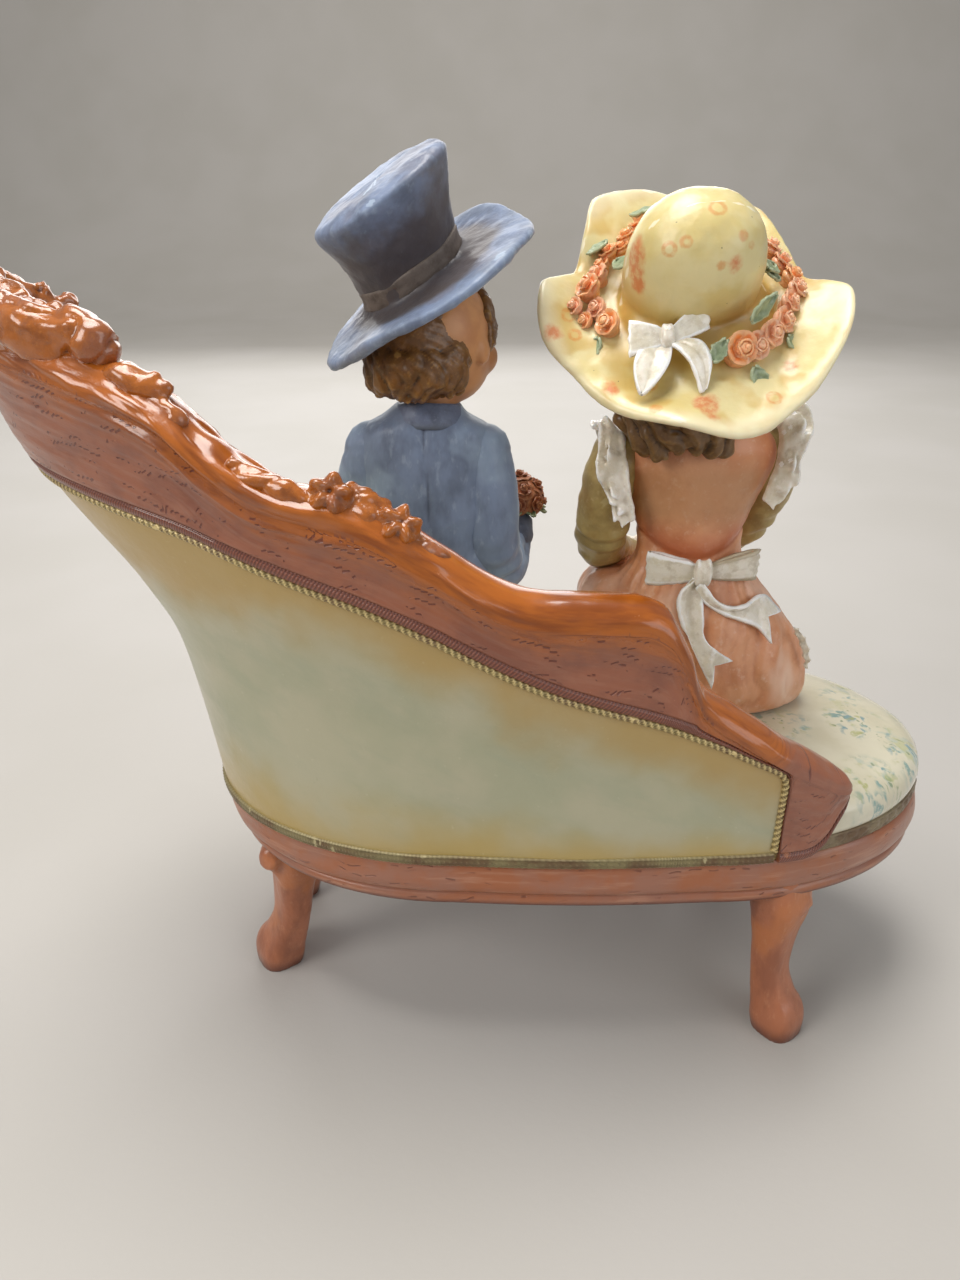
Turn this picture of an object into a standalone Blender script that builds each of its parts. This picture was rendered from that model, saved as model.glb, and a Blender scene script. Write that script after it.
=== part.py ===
"""Courting couple figurine: a painted resin boy and girl on a small chaise longue.

Lengths are in millimetres and become metres when a mesh is made. Layout of the
group: +X to the raised head end of the chaise, -X to its rounded foot end, +Y
to the back rest, -Y to the side the couple face, +Z up, feet on Z = 0.
"""
import math

import bmesh
import bpy
import numpy as np
from mathutils import Matrix, Vector

MM = 0.001

# ---- where the group stands: its bounding box is centred over the origin ----
SHIFT_X, SHIFT_Y = 0.0, 6.5

# ---- seat ----
RAIL_LOW, RAIL_TOP = 32.6, 41.5      # underside and top of the show-wood seat rail
BRAID_TOP = 44.0                     # gimp band above the rail
CROWN_Z = 53.0                       # top of the crowned seat cushion
FOOT_X, FOOT_A = -40.0, 45.8         # centre and half length of the foot end's ellipse
HEAD_X, HEAD_A = 5.0, 42.0           # the same for the head end
HALF_W, BOW = 33.0, 0.9              # half width of the seat and its gentle bow
HEAD_RAKE = 3.0                      # how far the head rail leans out over its height

# ---- back ----
CREST_A, CREST_B = 78.0, 37.5        # half length and half width of the crest line round the head
CREST_POWER = 1.176                  # fullness of the crest line, 1 is an ellipse
REAR_RAKE = 4.5                      # lean of the long back at its highest
ARM_X = -61.0                        # where the long back ends over the seat
BACK_T = 7.6                         # thickness of the upholstered back
BOARD = 1.1                          # how far the carved crest board stands proud
ROLL = 4.3                           # half thickness of the rolled top edge

# crest height against station: -1 is the arm end, 0 the start of the head's
# curve, 1 the middle of the head, beyond that the side facing the viewer
CREST_LINE = [(-1.0, 57.4), (-0.84, 64.6), (-0.695, 71.4), (-0.60, 76.4), (-0.555, 83.0),
              (-0.50, 89.0), (-0.44, 91.0), (-0.34, 91.4), (-0.19, 91.4), (0.03, 97.8),
              (0.13, 102.6), (0.2, 105.6), (0.26, 108.6), (0.33, 115.0), (0.39, 119.4),
              (0.45, 121.6), (0.6, 125.4), (0.8, 127.8),
              (1.0, 128.6), (1.2, 126.0), (1.38, 117.0), (1.52, 102.0), (1.62, 86.0),
              (1.68, 74.0), (1.74, 65.0)]
# the same for the lower edge of the crest board, where the rope gimp runs
GIMP_LINE = [(-1.0, 54.5), (-0.80, 61.2), (-0.60, 68.0), (-0.26, 76.0), (0.0, 84.6),
             (0.19, 92.0), (0.43, 99.6), (0.7, 103.0), (1.0, 104.5), (1.2, 102.0),
             (1.38, 93.0), (1.52, 80.0), (1.62, 68.0), (1.68, 60.0), (1.74, 54.0)]
# how much of the flare is reached at each part of the height
FLARE = [(0.0, 0.0), (0.16, 0.05), (0.39, 0.17), (0.50, 0.33), (0.62, 0.57), (0.72, 0.765),
         (0.87, 0.96), (1.0, 1.0)]

# ---- legs: foot end and head end, for the rear pair; the front pair mirrors them ----
FOOT_LEG = [(-53.6, 25.4, 36.0, 5.6), (-54.6, 26.6, 29.0, 5.3), (-54.4, 26.8, 22.0, 4.1),
            (-54.4, 27.0, 14.0, 3.5), (-55.4, 27.8, 8.0, 4.0), (-56.6, 28.6, 3.5, 4.9),
            (-57.0, 28.9, -3.0, 4.2)]
HEAD_LEG = [(34.0, 13.8, 36.0, 5.6), (35.6, 13.4, 29.0, 5.2), (36.8, 12.8, 22.0, 4.1),
            (37.8, 12.3, 14.0, 3.7), (39.6, 11.4, 8.0, 4.2), (41.4, 10.6, 3.5, 5.0),
            (41.9, 10.4, -3.0, 4.2)]
EARS = [(-57.4, 28.6, 28.8, 2.8), (40.2, 16.4, 30.6, 2.9)]

# ---- boy ----
BOY_HEAD = (8.6, -4.0, 123.0)
BOY_HAT_SEAT = (8.8, -2.6, 130.4)   # middle of the brim
BOY_HAT_LEAN, BOY_HAT_BACK = 27.6, 10.0
BOY_YAW = -40.0                      # head turned to the girl

# ---- girl ----
GIRL_HEAD = (-34.2, -6.0, 120.0)
GIRL_HAT_SEAT = (-35.2, -1.0, 127.4)
GIRL_HAT_LEAN, GIRL_HAT_BACK = 2.0, 40.0
GIRL_YAW = 24.0

GAP = 0.3                            # clearance between castings that touch


def smooth(table, x):
    """Monotone cubic reading of a short table of stations."""
    xs = [p[0] for p in table]
    ys = [p[1] for p in table]
    if x <= xs[0]:
        return ys[0]
    if x >= xs[-1]:
        return ys[-1]
    n = len(xs)
    d = [(ys[i + 1] - ys[i]) / (xs[i + 1] - xs[i]) for i in range(n - 1)]
    m = [d[0]] + [0.0 if d[i - 1] * d[i] <= 0 else 2 * d[i - 1] * d[i] / (d[i - 1] + d[i])
                  for i in range(1, n - 1)] + [d[-1]]
    i = max(k for k in range(n - 1) if xs[k] <= x)
    h = xs[i + 1] - xs[i]
    t = (x - xs[i]) / h
    return (ys[i] * (1 + 2 * t) * (1 - t) ** 2 + h * m[i] * t * (1 - t) ** 2
            + ys[i + 1] * t * t * (3 - 2 * t) + h * m[i + 1] * t * t * (t - 1))


# ---------------------------------------------------------------- plan of the seat
def half_width(x):
    if x < FOOT_X:
        return HALF_W * math.sqrt(max(0.0, 1 - ((x - FOOT_X) / FOOT_A) ** 2))
    if x > HEAD_X:
        return HALF_W * math.sqrt(max(0.0, 1 - ((x - HEAD_X) / HEAD_A) ** 2))
    return HALF_W + BOW * math.sin(math.pi * (x - FOOT_X) / (HEAD_X - FOOT_X))


def seat_ring(n_end, n_side, scale, z, rake):
    """One closed ring of the seat, scaled about the seat's own centre line."""
    pts = []
    for i in range(n_end):                       # head end, from the rear round to the front
        a = math.pi / 2 - math.pi * i / n_end
        pts.append((HEAD_X + HEAD_A * math.cos(a) + rake * math.cos(a) ** 2, HALF_W * math.sin(a)))
    for i in range(n_side):                      # front edge
        x = HEAD_X + (FOOT_X - HEAD_X) * i / n_side
        pts.append((x, -half_width(x)))
    for i in range(n_end):                       # foot end
        a = -math.pi / 2 - math.pi * i / n_end
        pts.append((FOOT_X + FOOT_A * math.cos(a), HALF_W * math.sin(a)))
    for i in range(n_side):                      # rear edge
        x = FOOT_X + (HEAD_X - FOOT_X) * i / n_side
        pts.append((x, half_width(x)))
    ring = []
    for x, y in pts:
        cx = min(max(x, FOOT_X), HEAD_X)
        ring.append((cx + (x - cx) * scale, y * scale, z))
    return ring


# ---------------------------------------------------------------- the back's surface
def base_xy(s):
    if s <= 0:
        x = HEAD_X + s * (HEAD_X - ARM_X)
        return x, half_width(x)
    a = math.pi / 2 * (1 - s)
    return (HEAD_X + HEAD_A * math.cos(a) + HEAD_RAKE * math.cos(a) ** 2, HALF_W * math.sin(a))


def crest_xy(s):
    if s <= 0:
        x = HEAD_X + s * (HEAD_X - ARM_X)
        return x, half_width(x) + REAR_RAKE * (1 - (-s) ** 1.5)
    a = math.pi / 2 * (1 - s)
    c, q = max(0.0, math.cos(a)), math.sin(a)
    return (HEAD_X + CREST_A * c ** CREST_POWER,
            math.copysign(CREST_B * abs(q) ** CREST_POWER, q))


def back_point(s, z):
    """Outer face of the back at a station and a height."""
    top = smooth(CREST_LINE, s)
    h = (z - RAIL_TOP) / (top - RAIL_TOP)
    g = smooth(FLARE, min(max(h, 0.0), 1.0))
    (bx, by), (cx, cy) = base_xy(s), crest_xy(s)
    return np.array((bx + (cx - bx) * g, by + (cy - by) * g))


def back_normal(s, z):
    e = 0.012
    t = back_point(s + e, z) - back_point(s - e, z)
    t /= np.linalg.norm(t)
    return np.array((-t[1], t[0]))               # outward, level


def back_section(s, low, top, thick):
    """Closed section: up the outer face, over the rolled edge, down the inner face."""
    gimp = min(smooth(GIMP_LINE, s), top - 3.0)
    gimp = max(gimp, low + 1.0)
    roll = min(ROLL, thick * 0.55)
    rows = [(low, 0.0), (low + (gimp - low) * 0.36, 0.0), (low + (gimp - low) * 0.7, 0.0),
            (gimp - 0.2, 0.0), (gimp + 0.2, BOARD)]
    face = top - roll
    rows += [(gimp + (face - gimp) * 0.5, BOARD * 1.1), (face - 0.5, BOARD * 1.2)]
    mid = (BOARD * 1.2 - thick - 0.4) / 2        # middle of the roll, measured outward
    half = (BOARD * 1.2 + thick + 0.4) / 2
    for k in range(1, 5):
        a = math.pi * k / 5
        rows.append((face + roll * math.sin(a), mid + half * math.cos(a)))
    rows += [(face - 0.5, -thick - 0.4), (gimp, -thick), (low + (gimp - low) * 0.5, -thick), (low, -thick)]
    out = []
    for z, off in rows:
        p = back_point(s, z) + back_normal(s, z) * off
        out.append((p[0], p[1], z))
    return out


# ---------------------------------------------------------------- making meshes
PARTS = bpy.data.collections.new("courting_couple_figurine")
CUTTERS = bpy.data.collections.new("joined_and_cutting_shapes")
for old in list(bpy.data.objects):
    bpy.data.objects.remove(old, do_unlink=True)
for group in (PARTS, CUTTERS):
    bpy.context.scene.collection.children.link(group)
CUTTERS.hide_render = True


def add_object(name, mesh, group=CUTTERS):
    obj = bpy.data.objects.new(name, mesh)
    group.objects.link(obj)
    if group is CUTTERS:
        obj.hide_render = True
        obj.display_type = "WIRE"
    return obj


def from_bmesh(name, bm, group=CUTTERS):
    bmesh.ops.recalc_face_normals(bm, faces=bm.faces)
    mesh = bpy.data.meshes.new(name)
    bm.to_mesh(mesh)
    bm.free()
    return add_object(name, mesh, group)


def loft(name, rings, group=CUTTERS):
    """Skin a list of closed rings that share one count of points, and cap both ends."""
    bm = bmesh.new()
    rows = [[bm.verts.new(Vector(p) * MM) for p in ring] for ring in rings]
    n = len(rows[0])
    for low, high in zip(rows, rows[1:]):
        for i in range(n):
            bm.faces.new((low[i], low[(i + 1) % n], high[(i + 1) % n], high[i]))
    bm.faces.new(rows[0])
    bm.faces.new(rows[-1])
    return from_bmesh(name, bm, group)


def ball(name, centre, radii, turn=(0.0, 0.0, 0.0), across=14, rows=9, group=CUTTERS):
    """A sphere stretched to an ellipsoid and turned about its centre."""
    bm = bmesh.new()
    bmesh.ops.create_uvsphere(bm, u_segments=across, v_segments=rows, radius=1.0)
    place = (Matrix.Translation(Vector(centre) * MM)
             @ Matrix.Rotation(math.radians(turn[2]), 4, "Z")
             @ Matrix.Rotation(math.radians(turn[1]), 4, "Y")
             @ Matrix.Rotation(math.radians(turn[0]), 4, "X")
             @ Matrix.Diagonal((radii[0] * MM, radii[1] * MM, radii[2] * MM, 1.0)))
    bmesh.ops.transform(bm, matrix=place, verts=bm.verts)
    return from_bmesh(name, bm, group)


def limb(name, stations, sides=1, group=CUTTERS):
    """A tapered tube on a curve: each station is x, y, z and radius."""
    curve = bpy.data.curves.new(name, "CURVE")
    curve.dimensions = "3D"
    curve.bevel_depth = MM
    curve.bevel_resolution = sides
    curve.use_fill_caps = True
    spline = curve.splines.new("POLY")
    spline.points.add(len(stations) - 1)
    for point, (x, y, z, r) in zip(spline.points, stations):
        point.co = (x * MM, y * MM, z * MM, 1.0)
        point.radius = r
    rough = bpy.data.objects.new(name + "_curve", curve)
    bpy.context.scene.collection.objects.link(rough)
    bpy.context.view_layer.update()
    mesh = bpy.data.meshes.new_from_object(rough.evaluated_get(bpy.context.evaluated_depsgraph_get()))
    bpy.data.objects.remove(rough, do_unlink=True)
    bm = bmesh.new()
    bm.from_mesh(mesh)
    bmesh.ops.remove_doubles(bm, verts=bm.verts, dist=0.00001)
    bpy.data.meshes.remove(mesh)
    return from_bmesh(name, bm, group)


def finer(stations, steps):
    """Rounds a short list of limb stations with a Catmull-Rom curve."""
    pts = [np.array(p, float) for p in stations]
    pts = [2 * pts[0] - pts[1]] + pts + [2 * pts[-1] - pts[-2]]
    out = []
    for i in range(1, len(pts) - 2):
        p0, p1, p2, p3 = pts[i - 1:i + 3]
        for k in range(steps):
            t = k / steps
            out.append(tuple(0.5 * (2 * p1 + (p2 - p0) * t + (2 * p0 - 5 * p1 + 4 * p2 - p3) * t * t
                                    + (3 * p1 - p0 - 3 * p2 + p3) * t ** 3)))
    out.append(tuple(pts[-2]))
    return out


def turned(name, profile, steps, place, warp=None, group=CUTTERS):
    """A turned shape: a profile of radius and height under a Screw modifier, then bent."""
    mesh = bpy.data.meshes.new(name)
    mesh.from_pydata([(r * MM, 0.0, z * MM) for r, z in profile],
                     [(i, i + 1) for i in range(len(profile) - 1)], [])
    rough = bpy.data.objects.new(name + "_profile", mesh)
    bpy.context.scene.collection.objects.link(rough)
    screw = rough.modifiers.new("Screw", "SCREW")
    screw.steps = screw.render_steps = steps
    screw.use_merge_vertices = True
    screw.merge_threshold = 0.00001
    bpy.context.view_layer.update()
    done = bpy.data.meshes.new_from_object(rough.evaluated_get(bpy.context.evaluated_depsgraph_get()))
    bpy.data.objects.remove(rough, do_unlink=True)
    bm = bmesh.new()
    bm.from_mesh(done)
    bpy.data.meshes.remove(done)
    bmesh.ops.remove_doubles(bm, verts=bm.verts, dist=0.00001)
    if warp:
        for v in bm.verts:
            v.co = Vector(warp(*(v.co / MM))) * MM
    bmesh.ops.transform(bm, matrix=place, verts=bm.verts)
    return from_bmesh(name, bm, group)


def leaning(centre, lean, back, turn=0.0):
    """Placement of a hat: leant to +X, tipped to +Y, and turned about its own axis."""
    return (Matrix.Translation(Vector(centre) * MM)
            @ Matrix.Rotation(math.radians(lean), 4, "Y")
            @ Matrix.Rotation(math.radians(-back), 4, "X")
            @ Matrix.Rotation(math.radians(turn), 4, "Z"))


def ellipse_ring(cx, cy, z, rx, ry, n=16, front=0.0):
    """A body section; front pushes the side at -Y outward."""
    ring = []
    for i in range(n):
        a = 2 * math.pi * i / n
        y = math.sin(a)
        ring.append((cx + rx * math.cos(a), cy + ry * y - (front * y * y if y < 0 else 0.0), z))
    return ring


def unite(base, others):
    for other in others:
        m = base.modifiers.new("Join_" + other.name, "BOOLEAN")
        m.operation = "UNION"
        m.solver = "EXACT"
        m.object = other


def cut(base, other):
    m = base.modifiers.new("Cut_" + other.name, "BOOLEAN")
    m.operation = "DIFFERENCE"
    m.solver = "EXACT"
    m.object = other


# ---------------------------------------------------------------- chaise longue
def seat_rings(grow):
    """Rings from the rail's underside to the crown; grow widens them for a cutter."""
    rows = [(0.985, RAIL_LOW - grow, 0.0), (1.005, RAIL_LOW + 1.2, 0.2), (1.012, RAIL_LOW + 4.5, 0.6),
            (1.003, RAIL_TOP - 0.8, 0.95), (0.975, RAIL_TOP, 1.0), (0.97, BRAID_TOP - 0.2, 1.0),
            (0.985, BRAID_TOP + 0.4, 1.0), (0.99, 46.6, 1.0), (0.955, 49.4, 1.0), (0.86, 51.4, 1.0),
            (0.66, 52.6, 1.0), (0.35, CROWN_Z, 1.0)]
    return [seat_ring(11, 6, f + grow / HALF_W, z + (grow if z > 45 else 0.0), HEAD_RAKE * r)
            for f, z, r in rows]


chaise = loft("chaise_longue", seat_rings(0.0), PARTS)

stations = [-0.96, -0.88, -0.79, -0.70, -0.625, -0.585, -0.555, -0.525, -0.485, -0.44,
            -0.33, -0.19, -0.07, 0.04, 0.13, 0.20, 0.26, 0.33, 0.40, 0.49, 0.60, 0.72,
            0.86, 1.0, 1.13, 1.24, 1.34, 1.42, 1.49, 1.55, 1.60, 1.65]
back_rings = []
for s, low, top, thick in [(-1.018, 52.0, 55.4, 2.0), (-1.008, 50.0, 56.8, 5.0), (-0.99, 47.6, 58.0, 6.8)]:
    back_rings.append(back_section(s, low, top, thick))
for s in stations:
    low = 40.0 if s > -0.92 else 43.6
    low = low if s < 1.64 else 43.4
    back_rings.append(back_section(s, low, smooth(CREST_LINE, s), BACK_T))
for s, low, top, thick in [(1.70, 45.6, 68.5, 7.0), (1.73, 48.6, 62.5, 5.4), (1.745, 51.8, 58.0, 2.4)]:
    back_rings.append(back_section(s, low, top, thick))
back = loft("back_and_crest", back_rings)

legs = []
for name, path, (ex, ey, ez, er) in (("foot", FOOT_LEG, EARS[0]), ("head", HEAD_LEG, EARS[1])):
    for side, sign in (("rear", 1), ("front", -1)):
        legs.append(limb(f"leg_{name}_{side}", [(x, sign * y, z, r) for x, y, z, r in finer(path, 2)], 1))
        legs.append(ball(f"knee_{name}_{side}", (ex, sign * ey, ez), (er, er, er * 1.25), across=8, rows=6))

carving = []
for i, (s, up, size) in enumerate([(0.135, 0.6, 2.6), (0.185, 0.9, 3.3), (0.235, 0.4, 2.3),
                                   (0.385, 1.4, 2.3), (0.47, 1.6, 4.4), (0.56, 1.2, 5.0), (0.67, 1.6, 5.2),
                                   (0.79, 1.6, 5.2), (0.9, 1.8, 5.4), (1.0, 2.8, 6.2), (1.1, 1.8, 5.0),
                                   (1.2, 1.2, 4.2)]):
    top = smooth(CREST_LINE, s)
    p = back_point(s, top) - back_normal(s, top) * BACK_T * 0.35
    carving.append(ball(f"carving_{i + 1}", (p[0], p[1], top - 1.6 + up), (size, size, size * 0.85),
                        turn=(7 * i, 11 * i, 23 * i), across=7, rows=4))

unite(chaise, [back] + legs + carving)
floor_cut = from_bmesh("ground_cut", (lambda bm: (bmesh.ops.create_cube(
    bm, size=1.0, matrix=Matrix.Translation((0, 0, -0.02)) @ Matrix.Diagonal((0.3, 0.3, 0.04, 1.0))), bm)[1])(bmesh.new()))
cut(chaise, floor_cut)

seat_cut = loft("seat_clearance", seat_rings(GAP))

# ---------------------------------------------------------------- boy
boy = loft("boy", [ellipse_ring(6.8, -3.4, z, rx, ry, front=f) for z, rx, ry, f in (
    (50.0, 13.8, 10.6, 1.0), (55.0, 14.4, 11.0, 1.5))] + [
    ellipse_ring(cx, cy, z, rx, ry) for cx, cy, z, rx, ry in (
        (7.0, -3.6, 63.0, 13.4, 10.4), (7.6, -4.0, 72.0, 12.2, 9.4), (8.2, -4.4, 81.0, 11.8, 8.9),
        (8.8, -4.6, 90.0, 12.6, 8.9), (9.4, -4.4, 99.0, 14.0, 8.6), (9.5, -4.0, 104.4, 13.2, 7.8),
        (9.4, -3.8, 107.6, 10.2, 6.9), (9.2, -3.8, 110.6, 6.6, 6.0), (8.8, -3.8, 114.0, 5.4, 5.4))], PARTS)
boy_bits = [
    ball("boy_face", BOY_HEAD, (9.2, 10.2, 11.6), (0, 4, BOY_YAW), 12, 8),
    ball("boy_hair", (9.6, -2.4, 120.8), (10.2, 10.4, 11.4), (6, 0, BOY_YAW), 12, 8),
    limb("boy_left_arm", finer([(19.8, -4.0, 104.4, 4.6), (21.4, -5.0, 95.0, 5.0), (22.2, -7.6, 82.5, 4.7),
                                (19.6, -15.5, 76.0, 4.1), (14.0, -24.0, 72.6, 3.5), (11.4, -27.6, 71.6, 3.0)], 2)),
    ball("boy_left_hand", (9.6, -29.6, 70.4), (4.0, 3.6, 2.8), (0, 10, -30), 9, 6),
    limb("boy_right_arm", finer([(0.4, -4.0, 102.2, 4.8), (-2.2, -3.8, 94.0, 5.1), (-3.2, -4.6, 82.0, 4.8),
                                 (-4.6, -10.8, 78.6, 4.4), (-6.0, -17.4, 81.6, 3.7), (-6.6, -19.6, 84.4, 3.1)], 2)),
    ball("boy_right_hand", (-7.0, -20.6, 86.6), (3.4, 3.8, 3.2), (20, 0, 20), 9, 6),
    ball("nosegay", (-8.2, -19.6, 91.6), (4.4, 4.2, 4.4), (0, -12, 0), 9, 6),
    limb("nosegay_stems", [(-8.0, -19.8, 91.0, 1.8), (-6.6, -20.4, 82.4, 1.2), (-6.2, -20.3, 79.4, 1.0)], 1),
    limb("boy_left_leg", finer([(12.6, -4.0, 60.5, 7.0), (14.0, -18.0, 60.4, 6.6), (14.6, -34.0, 59.6, 5.8),
                                (14.6, -39.8, 55.0, 5.4), (14.6, -41.2, 40.0, 4.4), (14.6, -41.8, 25.0, 3.4)], 2)),
    limb("boy_right_leg", finer([(1.6, -4.0, 60.5, 7.0), (1.6, -18.0, 60.4, 6.6), (1.2, -34.0, 59.6, 5.8),
                                 (1.0, -39.8, 55.0, 5.4), (0.8, -41.2, 40.0, 4.4), (0.6, -41.8, 24.0, 3.4)], 2)),
    ball("boy_left_shoe", (14.8, -44.6, 24.6), (4.0, 7.6, 3.6), (6, 0, 4), 9, 6),
    ball("boy_right_shoe", (0.4, -44.6, 23.6), (4.0, 7.6, 3.6), (6, 0, -4), 9, 6),
]


def top_hat(x, y, z):
    r = math.hypot(x, y)
    if r > 10.8:
        f = ((r - 10.8) / 9.4) ** 1.5
        z += f * (1.2 * (x * x - y * y) / (r * r) + 1.8 * x / r - 1.0)
    return x, y, z


boy_bits.append(turned("boy_hat", [(0, 17.2), (9.0, 17.0), (12.4, 16.3), (12.7, 15.4), (11.2, 8.0),
                                   (10.4, 2.2), (11.2, 1.0), (15.5, 0.9), (19.4, 0.9), (20.1, 0.1),
                                   (19.3, -0.8), (14.0, -0.8), (9.6, -0.9), (6.0, -2.4), (0, -3.0)],
                       24, leaning(BOY_HAT_SEAT, BOY_HAT_LEAN, BOY_HAT_BACK), top_hat))
unite(boy, boy_bits)
cut(boy, seat_cut)

# ---------------------------------------------------------------- girl
girl = loft("girl", [ellipse_ring(cx, cy, z, rx, ry, 16, front) for cx, cy, z, rx, ry, front in (
    (-42.8, -8.4, 48.0, 21.6, 12.8, 8.0), (-42.8, -8.2, 53.5, 22.8, 13.6, 8.0), (-42.6, -8.0, 59.0, 22.9, 13.8, 7.0),
    (-41.8, -7.8, 66.0, 20.8, 12.8, 5.0), (-40.6, -7.6, 73.0, 16.8, 11.0, 2.5), (-39.6, -7.4, 79.0, 12.6, 8.9, 1.0),
    (-39.0, -7.2, 83.4, 9.9, 7.6, 0.0), (-38.4, -7.0, 89.0, 10.2, 7.7, 0.0), (-37.8, -6.8, 96.0, 11.6, 8.0, 0.4),
    (-37.4, -6.6, 101.5, 13.0, 7.8, 0.0), (-37.0, -6.4, 105.0, 10.6, 6.8, 0.0), (-36.4, -6.2, 108.0, 5.6, 5.4, 0.0),
    (-35.4, -6.0, 113.0, 4.6, 4.8, 0.0))], PARTS)
girl_bits = [
    ball("girl_face", GIRL_HEAD, (9.2, 9.8, 11.4), (0, 4, GIRL_YAW), 12, 8),
    ball("girl_hair", (-34.6, -3.6, 118.6), (10.6, 10.4, 11.6), (8, 0, GIRL_YAW), 12, 8),
    loft("girl_lap", [[(x, y, z) for x, z in ((cx + rx * math.cos(a), cz + rz * math.sin(a)) for a in
                       (2 * math.pi * k / 14 for k in range(14)))] for y, cx, cz, rx, rz in (
        (-8.0, -42.0, 61.5, 19.5, 9.0), (-18.0, -41.6, 61.5, 19.6, 8.6), (-28.0, -41.0, 61.0, 18.6, 8.2),
        (-35.0, -40.6, 59.0, 17.6, 7.8), (-39.6, -40.4, 56.4, 15.4, 6.0))]),
    loft("girl_skirt_front", [ellipse_ring(cx, cy, z, rx, ry, 14) for cx, cy, z, rx, ry in (
        (-40.6, -37.6, 61.5, 13.6, 4.4), (-40.6, -39.6, 56.0, 17.2, 5.2), (-40.6, -41.0, 48.0, 18.2, 5.6),
        (-40.6, -42.4, 40.0, 19.4, 6.6), (-40.6, -42.8, 37.6, 19.0, 6.2))]),
    limb("girl_left_arm", finer([(-24.4, -6.0, 101.4, 4.8), (-23.2, -5.6, 94.0, 5.1), (-23.4, -7.6, 87.4, 4.8),
                                 (-24.4, -14.6, 81.6, 4.2), (-29.6, -23.0, 77.4, 3.4), (-32.6, -26.2, 76.0, 2.8)], 2)),
    limb("girl_right_arm", finer([(-52.2, -6.2, 101.8, 5.0), (-54.2, -7.4, 94.6, 4.9), (-52.6, -10.6, 87.4, 4.6),
                                  (-48.8, -17.6, 81.4, 4.0), (-43.4, -24.0, 77.2, 3.3), (-41.0, -26.6, 75.8, 2.8)], 2)),
    ball("girl_hands", (-36.8, -27.0, 74.4), (7.2, 4.6, 4.2), (0, 0, 0), 9, 6),
    ball("girl_turned_knee", (-27.4, -14.0, 71.0), (8.6, 13.0, 9.4), (0, 0, 0), 9, 6),
    ball("girl_left_ruffle", (-22.6, -4.8, 102.0), (4.9, 6.6, 5.6), (0, 28, 0), 9, 6),
    ball("girl_right_ruffle", (-53.4, -5.0, 102.6), (4.9, 6.6, 5.6), (0, -28, 0), 9, 6),
    ball("waist_bow_left", (-32.8, 1.2, 81.8), (6.0, 2.4, 3.8), (0, -8, 14), 9, 6),
    ball("waist_bow_right", (-47.4, 1.2, 82.2), (6.0, 2.4, 3.8), (0, 10, -14), 9, 6),
    ball("waist_bow_knot", (-40.0, 1.6, 81.0), (2.6, 2.4, 3.0), (0, 0, 0), 9, 6),
    limb("girl_left_shin", [(-34.6, -42.0, 46.0, 3.8), (-34.4, -42.2, 32.0, 3.2), (-34.4, -42.4, 25.0, 2.8)]),
    limb("girl_right_shin", [(-46.4, -42.0, 46.0, 3.8), (-46.0, -42.2, 32.0, 3.2), (-45.8, -42.4, 26.0, 2.8)]),
    ball("girl_left_shoe", (-34.2, -45.2, 22.6), (3.5, 6.4, 3.2), (6, 0, 6), 9, 6),
    ball("girl_right_shoe", (-45.8, -45.2, 23.6), (3.5, 6.4, 3.2), (6, 0, -4), 9, 6),
]


# the wide brim at each bearing round the crown (0 is +X, 90 is behind): reach and lift
BRIM = [(-90, 24.0, 1.5), (-56, 26.5, 3.5), (-41, 22.9, 2.6), (-25, 21.2, 0.8), (-8, 25.5, 3.0),
        (10, 26.0, 1.2), (35, 23.6, -1.5), (58, 24.6, -1.0), (84, 26.4, 0.5), (103, 28.0, 0.0),
        (125, 26.3, 1.0), (144, 25.6, 2.5), (176, 24.4, 5.0), (198, 19.6, 0.4), (222, 21.4, 0.8),
        (243, 24.6, 1.1), (270, 24.0, 1.5)]


def sun_hat(x, y, z):
    """The wide brim waves in uneven lobes."""
    r = math.hypot(x, y)
    if r > 12.6:
        a = (math.degrees(math.atan2(y, x)) + 90) % 360 - 90
        f = (r - 12.6) / 12.4
        reach = smooth([(p[0], p[1]) for p in BRIM], a)
        z += smooth([(p[0], p[2]) for p in BRIM], a) * f ** 1.3
        grow = (12.6 + (reach - 12.6) * f) / r
        x, y = x * grow, y * grow
    return x, y, z


hat_place = leaning(GIRL_HAT_SEAT, GIRL_HAT_LEAN, GIRL_HAT_BACK)
girl_bits.append(turned("girl_hat", [(0, 20.2), (5.0, 19.3), (9.2, 16.4), (11.6, 11.4), (12.3, 5.4),
                                     (12.6, 1.6), (14.5, 0.9), (19.0, 0.9), (24.2, 0.8), (25.0, 0.0),
                                     (24.0, -0.8), (18.0, -0.8), (11.0, -1.0), (6.5, -3.0), (0, -4.0)],
                        24, hat_place, sun_hat))
for i in range(10):
    a = math.radians(-70 + 33 * i + (34 if i > 4 else 0))
    p = hat_place @ Vector((13.6 * math.cos(a) * MM, 13.6 * math.sin(a) * MM, 2.6 * MM))
    girl_bits.append(ball(f"rose_{i + 1}", tuple(p / MM), (3.1, 3.1, 2.7), (20 * i, 0, 31 * i), 6, 4))
unite(girl, girl_bits)
cut(girl, seat_cut)

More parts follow.
